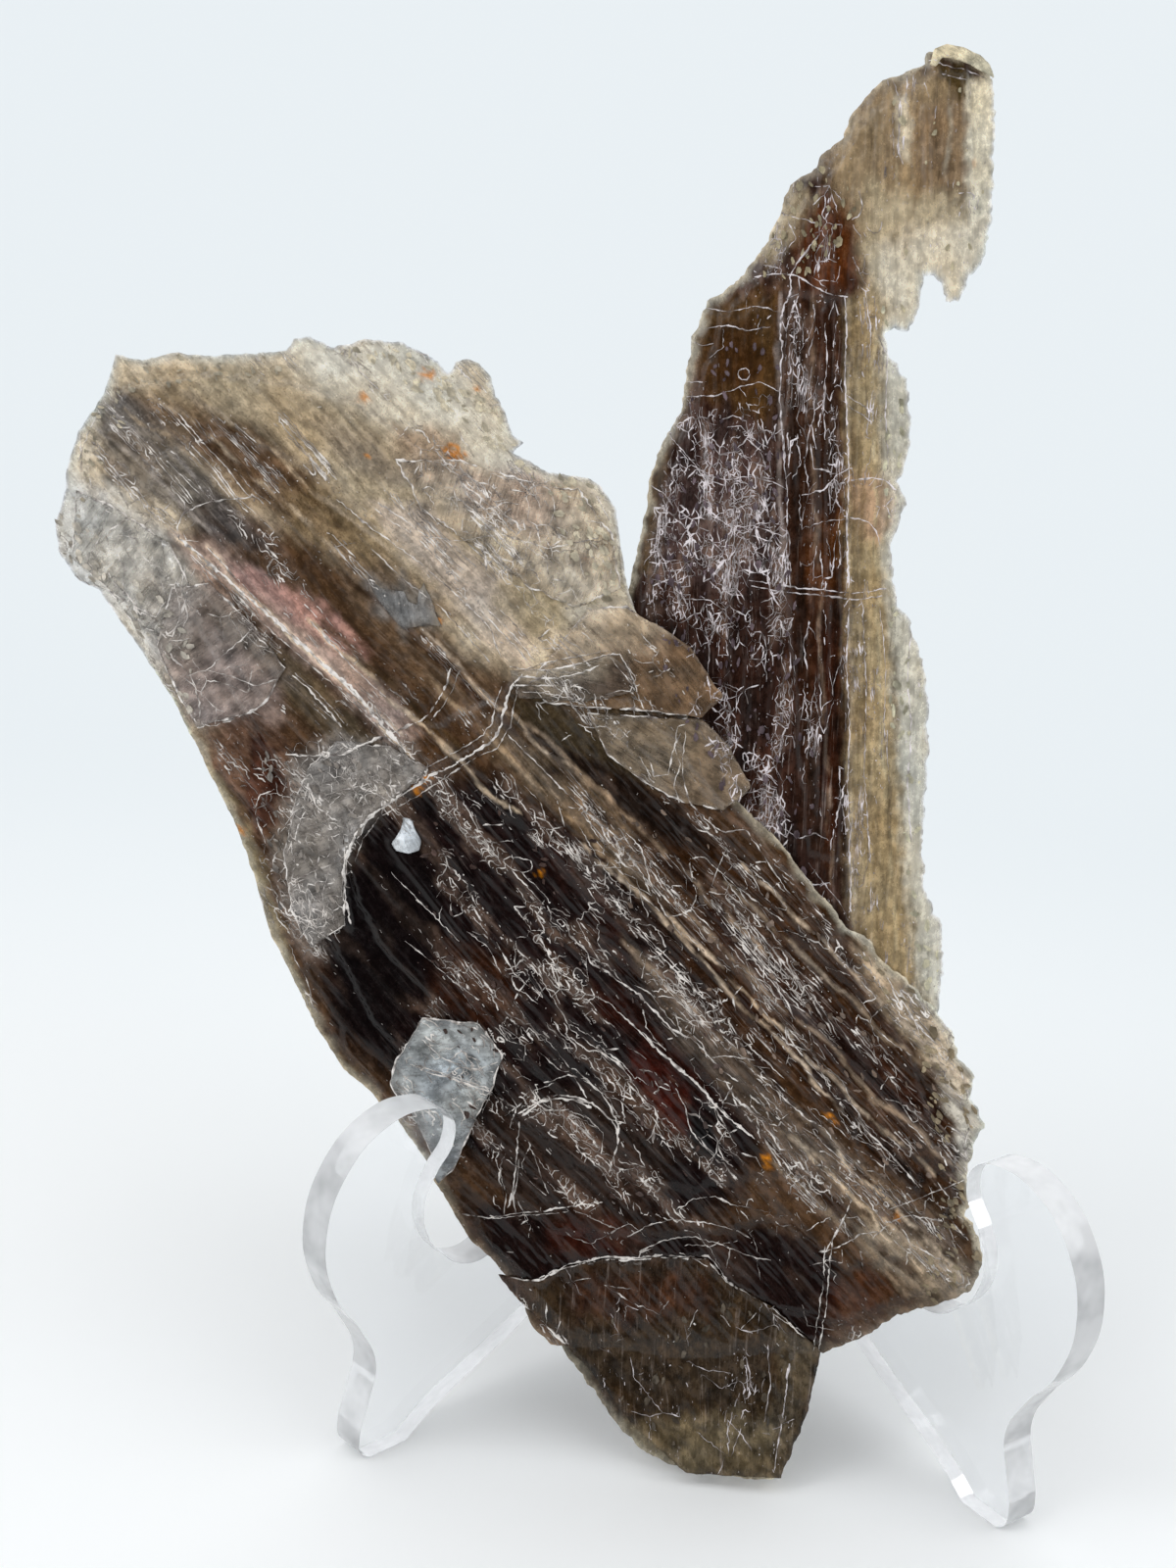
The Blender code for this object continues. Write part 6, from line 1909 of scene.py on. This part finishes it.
def thread_material(name, tint):
    """Bright crack edges and painted glints: pale, a little glossy, each line with its own
    strength.
    """
    made, tree, shader = new_material(name)
    patchy = noise_node(tree, scaled(tree, object_place(tree), (900.0, 900.0, 900.0)), 2.0, 0.5)
    strength = math_node(tree, "MULTIPLY", attribute(tree, "shade", "Fac"),
                         ramp(tree, patchy, 0.30, 0.55, 0.75, 1.45))
    strength = math_node(tree, "MINIMUM", strength, 1.0)
    colour = mix_colour(tree, strength, (0.16, 0.13, 0.115), tint)
    tree.links.new(colour, shader.inputs["Base Color"])
    tree.links.new(ramp(tree, patchy, 0.3, 0.7, 0.25, 0.5), shader.inputs["Roughness"])
    shader.inputs["IOR"].default_value = MICA_IOR
    return made


# ---------------------------------------------------------------- loose leaves and splinters
LEAVES = [
    # name, roughness, level, lift at the edge, thickness, clearness, tone, outline
    ("upper_leaf", 0.16, 0.95, 0.10, 0.16, 0.58, (150, 112, 82), [
        (585, 640), (600, 622), (640, 618), (652, 628), (680, 643), (705, 661), (726, 695),
        (738, 710), (717, 732), (665, 726), (600, 722), (560, 718), (540, 700), (560, 672)]),
    ("lower_leaf", 0.14, 0.85, 0.10, 0.16, 0.58, (168, 144, 118), [
        (600, 728), (665, 732), (717, 734), (744, 762), (766, 802), (760, 811), (738, 827),
        (700, 820), (660, 800), (620, 770)]),
    ("curled_flake", 0.10, 1.55, 0.16, 0.10, 0.60, (96, 86, 78), [
        (520, 684), (560, 684), (606, 674), (622, 668), (640, 682), (650, 705), (600, 716),
        (530, 712)]),
    ("pale_flake", 0.12, 1.62, 0.05, 0.16, 0.30, (158, 162, 162), [
        (431, 1038), (489, 1044), (513, 1076), (504, 1106), (489, 1135), (474, 1168),
        (463, 1193), (447, 1208), (424, 1160), (398, 1105), (404, 1082), (416, 1064)]),
    ("crackled_sheet", 0.20, 1.25, 0.12, 0.14, 0.45, (132, 126, 120), [
        (302, 815), (318, 780), (345, 756), (400, 762), (440, 784), (416, 806), (378, 834),
        (359, 866), (352, 896), (352, 945), (318, 966), (298, 930), (290, 872)]),
    ("left_wing", 0.16, 1.00, 0.15, 0.14, 0.55, (150, 136, 130), [
        (176, 600), (215, 596), (262, 640), (292, 682), (276, 712), (262, 726), (202, 742),
        (184, 712), (160, 660)]),
    ("milky_edge", 0.14, 0.75, 0.10, 0.14, 0.70, (186, 182, 172), [
        (78, 500), (120, 520), (176, 556), (196, 600), (178, 650), (140, 640), (108, 598),
        (74, 570)]),
    ("head_veil", 0.30, 0.72, 0.12, 0.12, 0.66, (204, 182, 156), [
        (405, 470), (470, 470), (530, 490), (590, 500), (625, 545), (634, 600), (590, 620),
        (540, 600), (490, 560), (430, 520)]),
    ("tail_sheet", 0.16, -0.15, 0.06, 0.14, 0.12, (62, 52, 42), [
        (508, 1300), (530, 1303), (551, 1303), (577, 1290), (622, 1282), (672, 1281), (722, 1282),
        (742, 1306), (790, 1332), (838, 1378), (824, 1440), (797, 1508), (700, 1503), (650, 1458),
        (604, 1400), (556, 1350), (525, 1322)]),
    # painted sheen: a thin blue-grey flake whose colour stands in for the sheen reflected off it
    ("silver_patch", 0.05, 1.05, 0.02, 0.08, 0.50, (120, 128, 134), [
        (374, 583), (380, 592), (390, 601), (404, 603), (413, 604), (417, 614), (426, 618),
        (428, 604), (433, 594), (438, 606), (443, 618), (446, 630), (452, 640), (440, 638),
        (424, 640), (412, 643), (404, 634), (392, 620), (382, 606)]),
    # painted reflection: a small pale flake whose white stands in for light reflected off it
    ("white_patch", 0.05, 1.02, 0.02, 0.10, 0.25, (214, 218, 220), [
        (413, 834), (421, 836), (425, 846), (431, 858), (429, 868), (418, 871), (406, 868),
        (401, 860), (407, 852), (411, 844)]),
    ("tip_bevel", 0.06, -0.20, 0.02, 0.10, 0.21, (250, 238, 206), [
        (949, 66), (953, 50), (966, 45), (984, 49), (1000, 56), (1010, 66), (1015, 80),
        (1004, 74), (990, 66), (974, 60), (962, 58), (955, 68)]),
]


# leaves without a bright rim, and leaves that fade into the stone at their rim
PLAIN_RIMS = ("white", "tip", "silver", "curled")
FADING_RIMS = ("pale_flake", "crackled_sheet", "silver_patch")
# how much of its own tone a milky leaf and a clear leaf show over the stone's
MILKY_SHARE = 0.9
CLEAR_SHARE = 0.35
LEAF_TOPS = []   # ring, top level and whether the rim is bright, for the lines laid over them


def bed_below(p, q):
    """Level of the stone a leaf lies on: the main blade, or the upright one beside it."""
    away = edge_distance(p, q, MAIN_FINE)
    on_main = inside(p, q, MAIN_RING)
    level = np.empty(p.shape)
    if on_main.any():
        level[on_main] = main_top(p[on_main], q[on_main], away[on_main])
    if (~on_main).any():
        level[~on_main] = upright_top(p[~on_main], q[~on_main])
    return level


def leaf(name, rough, level, lift, thick, clearness, colour, pixels, number, material):
    """One thin sheet lying on a blade with its edge lifted a little."""
    ring = weathered(pixels, rough, 500 + number, 0.25, level)

    def under(p, q):
        edge = edge_distance(p, q, ring)
        bed = bed_below(p, q) + 0.07
        wave = 0.08 * fractal(p * 0.5, q * 0.5, 520 + number, 3)
        return np.maximum(level + wave, bed) + lift * (1 - smooth(edge, 0.0, 1.6))

    def over(p, q, edge):
        flow = grain_coordinates(p, q, MAIN_GRAIN + 20 * math.sin(number * 2.3), 530, 0.8)
        crease = 0.05 * stepped(fractal(flow[0] * 0.2, flow[1] * 0.9, 540 + number, 3), 4)
        return under(p, q) + thick * (0.45 + 0.55 * smooth(edge, 0, 0.5)) + crease

    LEAF_TOPS.append((ring, over, not name.startswith(PLAIN_RIMS)))
    made, flat = slab(name, ring, MAIN_GRAIN, over, under, steps=(0.36, 0.20),
                      back_steps=(0.7, 0.5), seed=600 + number, layers=1)
    p, q = flat.T
    values = coloured(p, q, (MAIN_GRAIN, colour, [], 61), clearness)
    values[:, 4:7] = (0.6, 0.35, 0.8)
    paint = UPRIGHT_PAINT if name == "tail_sheet" else MAIN_PAINT
    under_tone = coloured(p, q, paint, clear=0.1)[:, :3]
    own = np.full((len(p), 1), MILKY_SHARE if 0.2 < clearness < 0.5 else CLEAR_SHARE)
    if name in FADING_RIMS:
        inward = edge_distance(p, q, ring) + 0.6 * fractal(p * 0.9, q * 0.9, 640 + number, 3)
        own *= (0.50 + 0.50 * smooth(inward, 0.0, 0.9))[:, None]
    values[:, :3] = own * values[:, :3] + (1.0 - own) * under_tone
    values = mottled(p, q, MAIN_GRAIN, values, 61 + number)
    values[:, :3] *= (1 + 0.85 * fractal(p * 0.7, q * 0.7, 620 + number, 5))[:, None]
    write_attributes(made, p, q, MAIN_GRAIN + 17 * number, values, 45 + number, number)
    made.data.materials.append(material)
    return made


def on_leaves(p, q, level):
    """Raise levels to the tops of the leaves lying there."""
    for ring, over, _ in LEAF_TOPS:
        low, high = ring.min(0), ring.max(0)
        near = np.flatnonzero((p > low[0]) & (p < high[0]) & (q > low[1]) & (q < high[1]))
        near = near[inside(p[near], q[near], ring)]
        if len(near):
            edge = edge_distance(p[near], q[near], ring)
            level[near] = np.maximum(level[near], over(p[near], q[near], edge))
    return level


def front_of_main(p, q):
    """Front level of the main blade with its thinned rim and the leaves lying on it."""
    return on_leaves(p, q, main_top(p, q, edge_distance(p, q, MAIN_FINE)))


def front_of_upright(p, q):
    """Front level of the upright blade with its thinned rim and the sheet on its tail."""
    return on_leaves(p, q, upright_top(p, q, edge_distance(p, q, UPRIGHT_FINE)))


def leaf_outlines():
    """Bright broken rims of the leaves."""
    made = []
    for number, (ring, _, rimmed) in enumerate(LEAF_TOPS):
        if not rimmed:
            continue
        line = np.vstack([ring, ring[:1]])
        middle = ring.mean(0)
        line = middle + (line - middle) * 0.99
        force = (0.25 + fractal(line[:, 0] * 0.4, line[:, 1] * 0.4, 870 + number, 3)
                 + 0.3 * fractal(line[:, 0] * 2.0, line[:, 1] * 2.0, 880 + number, 2))
        start = None
        for index, on in enumerate(np.r_[force > 0, False]):
            if on and start is None:
                start = index
            elif not on and start is not None:
                if index - start > 2:
                    part = slice(start, index)
                    made.append((1.2 + 1.4 * np.clip(force[part], 0, 1),
                                 np.clip(0.45 + 0.8 * force[part], 0, 1), line[part]))
                start = None
    return made


CHIP_FIELDS = [
    # outline, count, size mm, clearness, tone, blade, tilt
    ([(300, 345), (460, 350), (540, 450), (640, 500), (645, 600), (600, 620), (560, 500),
      (480, 440), (400, 380)], 260, (0.3, 1.1), 0.75, (190, 182, 164), "main", 0.12),
    ([(60, 440), (120, 370), (300, 350), (300, 380), (140, 400), (90, 520)], 90,
     (0.3, 0.9), 0.6, (170, 162, 146), "main", 0.10),
    ([(60, 480), (110, 560), (200, 640), (200, 740), (120, 640), (50, 580)], 90, (0.3, 1.2),
     0.6, (180, 174, 164), "main", 0.12),
    ([(860, 940), (960, 1030), (1000, 1100), (1005, 1330), (940, 1330), (960, 1200),
      (940, 1080)], 160, (0.3, 1.2), 0.55, (150, 138, 118), "main", 0.14),
    ([(640, 800), (800, 900), (960, 1080), (960, 1280), (820, 1200), (700, 1060),
      (600, 900)], 200, (0.25, 0.9), 0.3, (120, 106, 96), "main", 0.12),
    ([(460, 790), (640, 860), (760, 1080), (700, 1230), (500, 1200), (400, 960)], 200,
     (0.2, 0.8), 0.15, (84, 72, 68), "main", 0.14),
    ([(262, 770), (430, 756), (362, 870), (350, 950), (285, 930)], 110, (0.3, 1.1), 0.5,
     (140, 134, 128), "main", 0.16),
    ([(660, 560), (700, 400), (790, 300), (810, 600), (850, 930), (760, 860), (680, 700)],
     320, (0.2, 0.9), 0.25, (104, 92, 96), "upright", 0.14),
    ([(896, 300), (930, 340), (930, 480), (918, 600), (950, 690), (958, 900), (975, 960),
      (970, 1050), (940, 1000), (910, 760), (900, 520)], 110, (0.3, 1.2), 0.75,
     (184, 180, 160), "upright", 0.14),
    ([(780, 240), (812, 185), (850, 150), (880, 220), (820, 300), (770, 300)], 90,
     (0.3, 1.0), 0.5, (160, 150, 128), "upright", 0.16),
    ([(890, 100), (1010, 70), (1012, 300), (900, 330)], 25, (0.3, 1.1), 0.7,
     (176, 168, 146), "upright", 0.12),
    ([(560, 1300), (830, 1340), (800, 1510), (660, 1490)], 60, (0.3, 1.0), 0.4,
     (96, 88, 78), "upright", 0.10),
]


SPLINTER_CORNERS = 6


def chips(name, blade, ring, surface, angle, material, seed):
    """Small loose splinters lying on a blade, all in one mesh."""
    chance = np.random.default_rng(seed)
    corners = SPLINTER_CORNERS
    groups = []
    for outline, count, size, clearness, colour, where, tilt in CHIP_FIELDS:
        if where != blade:
            continue
        field = on_plane(outline)
        low = field.min(0)
        span = field.max(0) - low
        spots = low + chance.random((count * 4, 2)) * span
        spots = spots[inside(spots[:, 0], spots[:, 1], field)]
        depth = np.where(inside(spots[:, 0], spots[:, 1], ring),
                         edge_distance(spots[:, 0], spots[:, 1], ring), -1)
        spots = spots[depth > 0.35][:count * 3 // 5]
        total = len(spots)
        long = chance.uniform(*size, total) * 0.6
        wide = long * chance.uniform(0.25, 0.7, total)
        turn = np.radians(angle + chance.normal(0, 25, total))
        around = np.linspace(0, 2 * math.pi, corners, endpoint=False)
        around = around + chance.uniform(-0.3, 0.3, (total, corners))
        reach = chance.uniform(0.65, 1.0, (total, corners))
        a = np.cos(around) * reach * long[:, None]
        b = np.sin(around) * reach * wide[:, None]
        p = spots[:, :1] + a * np.cos(turn)[:, None] - b * np.sin(turn)[:, None]
        q = spots[:, 1:] + a * np.sin(turn)[:, None] + b * np.cos(turn)[:, None]
        bed = surface(spots[:, 0], spots[:, 1])[:, None] + chance.uniform(0.02, 0.10, (total, 1))
        slope = chance.normal(0, tilt, (total, 2))
        low_n = bed + slope[:, :1] * a + slope[:, 1:] * b
        shade = tone(*colour) * chance.uniform(0.6, 1.25, (total, 1))
        groups.append((p, q, low_n, chance.uniform(0.03, 0.07, (total, 1)), shade,
                       np.full(total, 0.25 * clearness)))
    p, q, low_n, thick, shade, clear = (np.concatenate(part) for part in zip(*groups))
    total = len(p)
    p2 = np.concatenate([p, p], 1)
    q2 = np.concatenate([q, q], 1)
    n2 = np.concatenate([low_n, low_n + thick], 1)
    faces = []
    for start in range(0, total * 2 * corners, 2 * corners):
        under = [start + k for k in range(corners)]
        over = [start + corners + k for k in range(corners)]
        faces.append(under[::-1])
        faces.append(over)
        for k in range(corners):
            m = (k + 1) % corners
            faces.append([under[k], under[m], over[m], over[k]])
    flat_p, flat_q = p2.ravel(), q2.ravel()
    made = make_object(name, in_space(flat_p, flat_q, n2.ravel()), faces)
    values = np.empty((len(flat_p), 7))
    values[:, :3] = np.repeat(shade, 2 * corners, 0)
    values[:, 3] = np.repeat(clear, 2 * corners)
    values[:, 4:] = (0.2, 0.1, 0.4)
    write_attributes(made, flat_p, flat_q, angle, values, 47)
    made.data.materials.append(material)
    return made


# ---------------------------------------------------------------- the clear stand (mm, degrees)
PLATE_THICKNESS = 3.2
PLATE_TURN = 42.0
FOOT_HALF_SPAN = 26.5
LAP_HEIGHT = 40.0
LAP_AT = 41.4
CLEARANCE = 0.3
BELOW_PLATE = -5.0
ABOVE_PLATE = 80.0
RIM_ROUND = 0.30
RIM_FACING = 0.35   # a face is the rim's where it turns this little to the sheet's front
SETTLE = (14.679, -21.581, 0.0)
PLATE_OUTLINE = [
    # along, height, sharp corner
    (-0.6, 0.0, True), (3.4, 0.0, True), (6.5, 2.2, False), (11.0, 4.4, False),
    (15.5, 6.5, False), (21.0, 9.3, False), (28.0, 12.0, False), (36.0, 13.2, False),
    (44.0, 11.5, False), (51.0, 6.2, False), (55.8, 0.0, True), (61.0, 0.0, True),
    (58.6, 8.0, False), (55.6, 20.0, False), (53.4, 34.0, False), (51.6, 50.0, False),
    (49.6, 61.0, False), (46.4, 64.6, False), (41.0, 65.0, False), (37.2, 63.2, False),
    (34.0, 58.3, True), (14.2, 17.8, True), (12.2, 15.7, False), (9.4, 15.6, False),
    (6.6, 17.6, False), (4.8, 20.4, False), (4.5, 23.0, False), (5.6, 25.6, False),
    (7.4, 28.2, False), (7.0, 30.8, False), (4.2, 32.2, False), (0.1, 31.8, False),
    (-3.7, 28.9, False), (-5.8, 23.4, False), (-4.7, 17.5, False), (-1.8, 13.0, False),
    (-0.2, 9.2, False), (-0.9, 5.6, False), (-1.7, 2.6, False), (-1.5, 0.8, False)]


def plate_matrix(side):
    """Place of a plate: its outline's plane stands upright, turned away from the axis."""
    turn = math.radians(90.0 - PLATE_TURN)
    plate = Matrix.Rotation(turn, 4, "Z") @ Matrix.Rotation(math.radians(90.0), 4, "X")
    place = Matrix.Translation((-FOOT_HALF_SPAN * MM, 0.0, 0.0)) @ plate
    outward = Matrix.Translation((0.0, 0.0, -PLATE_THICKNESS / 2 * MM))
    settle = Matrix.Translation(Vector(SETTLE) * MM)
    if side > 0:
        return settle @ Matrix.Diagonal((-1.0, 1.0, 1.0, 1.0)) @ place @ outward
    return settle @ place @ outward


def worked_out(made):
    """The object's shape as a mesh, with its curve or modifiers worked out."""
    bpy.context.view_layer.update()
    shape = made.evaluated_get(bpy.context.evaluated_depsgraph_get())
    return bpy.data.meshes.new_from_object(shape)


def stand_plate(name, side, slot_low, slot_high, material):
    """A finely curved plate with rounded, polished rims and its half-lap slot."""
    curve = bpy.data.curves.new(name, "CURVE")
    curve.dimensions = "2D"
    curve.fill_mode = "BOTH"
    curve.resolution_u = 10
    curve.extrude = PLATE_THICKNESS / 2 * MM
    spline = curve.splines.new("BEZIER")
    spline.bezier_points.add(len(PLATE_OUTLINE) - 1)
    for knot, (along, height, corner) in zip(spline.bezier_points, PLATE_OUTLINE):
        knot.co = (along * MM, height * MM, 0.0)
        knot.handle_left_type = "VECTOR" if corner else "AUTO"
        knot.handle_right_type = knot.handle_left_type
    spline.use_cyclic_u = True
    source = in_scene(name + "_curve", curve)
    mesh = worked_out(source)
    bpy.data.objects.remove(source, do_unlink=True)
    body = bmesh.new()
    body.from_mesh(mesh)
    bmesh.ops.remove_doubles(body, verts=body.verts, dist=0.00001)
    bmesh.ops.recalc_face_normals(body, faces=body.faces)
    body.to_mesh(mesh)
    body.free()
    plate = in_scene(name, mesh)

    crossing = math.radians(2 * PLATE_TURN)
    width = PLATE_THICKNESS / math.sin(crossing) + PLATE_THICKNESS / math.tan(crossing)
    width += 2 * CLEARANCE
    block = bmesh.new()
    bmesh.ops.create_cube(block, size=1.0)
    cutter_mesh = bpy.data.meshes.new("lap_cutter")
    block.to_mesh(cutter_mesh)
    block.free()
    size = Matrix.Diagonal((width * MM, (slot_high - slot_low) * MM, 4 * PLATE_THICKNESS * MM, 1))
    middle = Matrix.Translation((LAP_AT * MM, (slot_low + slot_high) / 2 * MM, 0.0))
    cutter_mesh.transform(middle @ size)
    cutter = in_scene("lap_cutter", cutter_mesh)
    cut = plate.modifiers.new("lap", "BOOLEAN")
    cut.operation = "DIFFERENCE"
    cut.solver = "EXACT"
    cut.object = cutter
    round_rim = plate.modifiers.new("rim", "BEVEL")
    round_rim.width = RIM_ROUND * MM
    round_rim.segments = 3
    round_rim.limit_method = "ANGLE"
    round_rim.angle_limit = math.radians(50.0)
    round_rim.harden_normals = True
    mesh.shade_smooth()
    finished = worked_out(plate)
    plate.modifiers.clear()
    bpy.data.objects.remove(cutter, do_unlink=True)
    plate.data = finished
    rim = finished.attributes.new("rim", "FLOAT", "FACE")
    rim.data.foreach_set("value", [1.0 if abs(face.normal.z) < RIM_FACING else 0.0
                                   for face in finished.polygons])
    finished.transform(plate_matrix(side))
    if side > 0:
        finished.flip_normals()
    finished.materials.clear()
    finished.materials.append(material)
    return plate


def acrylic_material():
    """Clear cast acrylic: polished, faintly blue, with handling haze."""
    made, tree, shader = new_material("clear_acrylic")
    place = object_place(tree)
    haze = noise_node(tree, scaled(tree, place, (160.0, 160.0, 160.0)), 3.0, 0.6)
    scratch = noise_node(tree, scaled(tree, place, (2500.0, 500.0, 300.0)), 2.0, 0.5)
    colour = mix_colour(tree, haze, (0.965, 0.98, 0.995), (0.99, 0.995, 1.0))
    tree.links.new(colour, shader.inputs["Base Color"])
    rough = math_node(tree, "ADD", ramp(tree, haze, 0.45, 0.75, 0.012, 0.05),
                      ramp(tree, scratch, 0.66, 0.72, 0.0, 0.06))
    tree.links.new(rough, shader.inputs["Roughness"])
    frost = math_node(tree, "MULTIPLY", attribute(tree, "rim", "Fac"),
                      ramp(tree, haze, 0.35, 0.65, 0.35, 0.60))
    tree.links.new(math_node(tree, "SUBTRACT", 1.0, frost), shader.inputs["Transmission Weight"])
    shader.inputs["IOR"].default_value = ACRYLIC_IOR
    return made


# ---------------------------------------------------------------- stage, light and camera
TABLE_RADII = (0.05, 0.1, 0.2, 0.4, 0.8, 1.6, 3.2, 6.4)
TABLE_SECTORS = 48
TABLE_LEVEL = -0.05 * MM
SKY_STRENGTH = 1.10
LAMP_AIM = Vector((0.0, 0.0, 0.055))
LAMPS = [
    # name, place, spread in degrees, strength
    ("key_light", (-0.8, -0.5, 1.0), 24.0, 0.35),
    ("side_light", (1.0, 0.1, 0.6), 30.0, 0.2),
]


def pale_table():
    """A seamless table of widening rings, with painted shade: its colour a little darker away from
    the camera.
    """
    shape = bmesh.new()
    middle = shape.verts.new((0.0, 0.0, TABLE_LEVEL))
    last = None
    for radius in TABLE_RADII:
        turns = [2 * math.pi * k / TABLE_SECTORS for k in range(TABLE_SECTORS)]
        ring = [shape.verts.new((radius * math.cos(turn), radius * math.sin(turn), TABLE_LEVEL))
                for turn in turns]
        for k in range(TABLE_SECTORS):
            m = (k + 1) % TABLE_SECTORS
            if last is None:
                shape.faces.new((middle, ring[k], ring[m]))
            else:
                shape.faces.new((last[k], ring[k], ring[m], last[m]))
        last = ring
    mesh = bpy.data.meshes.new("table_top")
    shape.to_mesh(mesh)
    shape.free()
    table = in_scene("table_top", mesh)
    cloth, tree, shader = new_material("white_table")
    place = object_place(tree)
    broad = noise_node(tree, scaled(tree, place, (9.0, 9.0, 9.0)), 2.0, 0.5)
    colour = mix_colour(tree, ramp(tree, broad, 0.3, 0.7), (0.935, 0.95, 0.95),
                        (0.955, 0.965, 0.96))
    # painted shade: the floor's colour grows darker away from the camera
    depth = tree.nodes.new("ShaderNodeSeparateXYZ")
    tree.links.new(place, depth.inputs[0])
    colour = mix_colour(tree, ramp(tree, depth.outputs["Y"], -0.03, 0.16), colour,
                        (0.775, 0.815, 0.83))
    tree.links.new(colour, shader.inputs["Base Color"])
    shader.inputs["Roughness"].default_value = 0.7
    shader.inputs["Specular IOR Level"].default_value = 0.0
    mesh.materials.append(cloth)


def soft_sky():
    """White light from all round but the camera's side, behind a plain pale backdrop."""
    world = bpy.data.worlds.new("soft_box")
    bpy.context.scene.world = world
    world.use_nodes = True
    tree = world.node_tree
    sky = tree.nodes["Background"]
    facing = node(tree, "ShaderNodeVectorMath", operation="DOT_PRODUCT")
    tree.links.new(tree.nodes.new("ShaderNodeTexCoord").outputs["Generated"], facing.inputs[0])
    facing.inputs[1].default_value = tuple(CAMERA_BACK)
    dim = ramp(tree, facing.outputs["Value"], 0.70, 0.95, 1.0, 0.0)
    tree.links.new(mix_colour(tree, dim, (0.07, 0.07, 0.075), (0.965, 0.98, 1.0)),
                   sky.inputs["Color"])
    sky.inputs["Strength"].default_value = SKY_STRENGTH
    seen = node(tree, "ShaderNodeBackground", in_Color=(0.83, 0.87, 0.895, 1.0), in_Strength=1.0)
    choose = tree.nodes.new("ShaderNodeMixShader")
    for source, slot in ((tree.nodes.new("ShaderNodeLightPath").outputs["Is Camera Ray"], 0),
                         (sky.outputs[0], 1), (seen.outputs[0], 2)):
        tree.links.new(source, choose.inputs[slot])
    tree.links.new(choose.outputs[0], tree.nodes["World Output"].inputs["Surface"])


def lamps():
    """Two broad soft lamps, from the upper left and the right."""
    for name, spot, spread, power in LAMPS:
        light = bpy.data.lights.new(name, "SUN")
        light.angle = math.radians(spread)
        light.energy = power
        lamp = in_scene(name, light)
        lamp.location = spot
        lamp.rotation_euler = (LAMP_AIM - Vector(spot)).to_track_quat("-Z", "Y").to_euler()


def view_camera():
    """The camera whose view the outlines are written in."""
    camera = bpy.data.cameras.new("camera")
    camera.lens = CAMERA_LENS
    camera.sensor_fit = "VERTICAL"
    camera.sensor_height = CAMERA_SENSOR
    camera.clip_start = 0.01
    camera.clip_end = 50.0
    holder = in_scene("camera", camera)
    turn = Matrix((CAMERA_RIGHT, CAMERA_UP, CAMERA_BACK)).transposed().to_4x4()
    holder.matrix_world = Matrix.Translation(Vector(EYE * MM)) @ turn
    bpy.context.scene.camera = holder
    bpy.context.scene.view_settings.view_transform = "Standard"
    bpy.context.scene.view_settings.look = "None"


# ---------------------------------------------------------------- assembly
def build():
    """Every piece of the visual model."""
    stone = mica_material("smoky_mica", absorb=(0.62, 0.50, 0.36), density=160.0)
    thin_stone = mica_material("thin_mica", absorb=(0.70, 0.60, 0.48), density=80.0)
    pieces = []
    for name, ring, angle, top, bottom, colours, steps, seed, grain_seed in (
            ("main_blade", MAIN_RING, MAIN_GRAIN, main_top, main_bottom, main_colours,
             (0.44, 0.17), 101, 45),
            ("upright_blade", UPRIGHT_RING, UPRIGHT_GRAIN, upright_top, upright_bottom,
             upright_colours, (0.42, 0.17), 111, 55)):
        blade, flat = slab(name, ring, angle, top, bottom, steps, (0.8, 0.32), seed)
        p, q = flat.T
        write_attributes(blade, p, q, angle, colours(p, q), grain_seed)
        blade.data.materials.append(stone)
        pieces.append(blade)
    for number, settings in enumerate(LEAVES):
        pieces.append(leaf(*settings, number, thin_stone))

    # these threads draw the bright crack edges and also the painted glints
    threads = thread_material("crack_and_painted_glint_threads", (0.97, 0.92, 0.87))
    violet_threads = thread_material("violet_crack_and_painted_glint_threads", (0.97, 0.91, 0.93))
    for name, lines in main_line_work():
        pieces.append(filament_mesh(name, lines, MAIN_RING, front_of_main, 1, threads))
    for name, lines in upright_line_work():
        pieces.append(filament_mesh(name, lines, UPRIGHT_RING, front_of_upright, 1,
                                    violet_threads))
    for name, ring, under, angle, seed in (
            ("main_back_edges", MAIN_RING, main_bottom, MAIN_GRAIN, 300),
            ("upright_back_edges", UPRIGHT_RING, upright_bottom, UPRIGHT_GRAIN, 310)):
        pieces.append(filament_mesh(name, back_lines(ring, angle, seed), ring, under, -1, threads))
    pieces.append(chips("main_splinters", "main", MAIN_RING, front_of_main, MAIN_GRAIN,
                        thin_stone, 201))
    pieces.append(chips("upright_splinters", "upright", UPRIGHT_RING, front_of_upright,
                        UPRIGHT_GRAIN, thin_stone, 211))
    for piece in pieces:
        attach(piece, "root")
    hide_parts("mica_crystal")

    acrylic = acrylic_material()
    left = stand_plate("left_plate", -1, BELOW_PLATE, LAP_HEIGHT, acrylic)
    right = stand_plate("right_plate", 1, LAP_HEIGHT - CLEARANCE, ABOVE_PLATE, acrylic)
    for plate, replaced in ((left, "left_stand_plate"), (right, "right_stand_plate")):
        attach(plate, "root")
        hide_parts(replaced)


build()
pale_table()
soft_sky()
lamps()
view_camera()
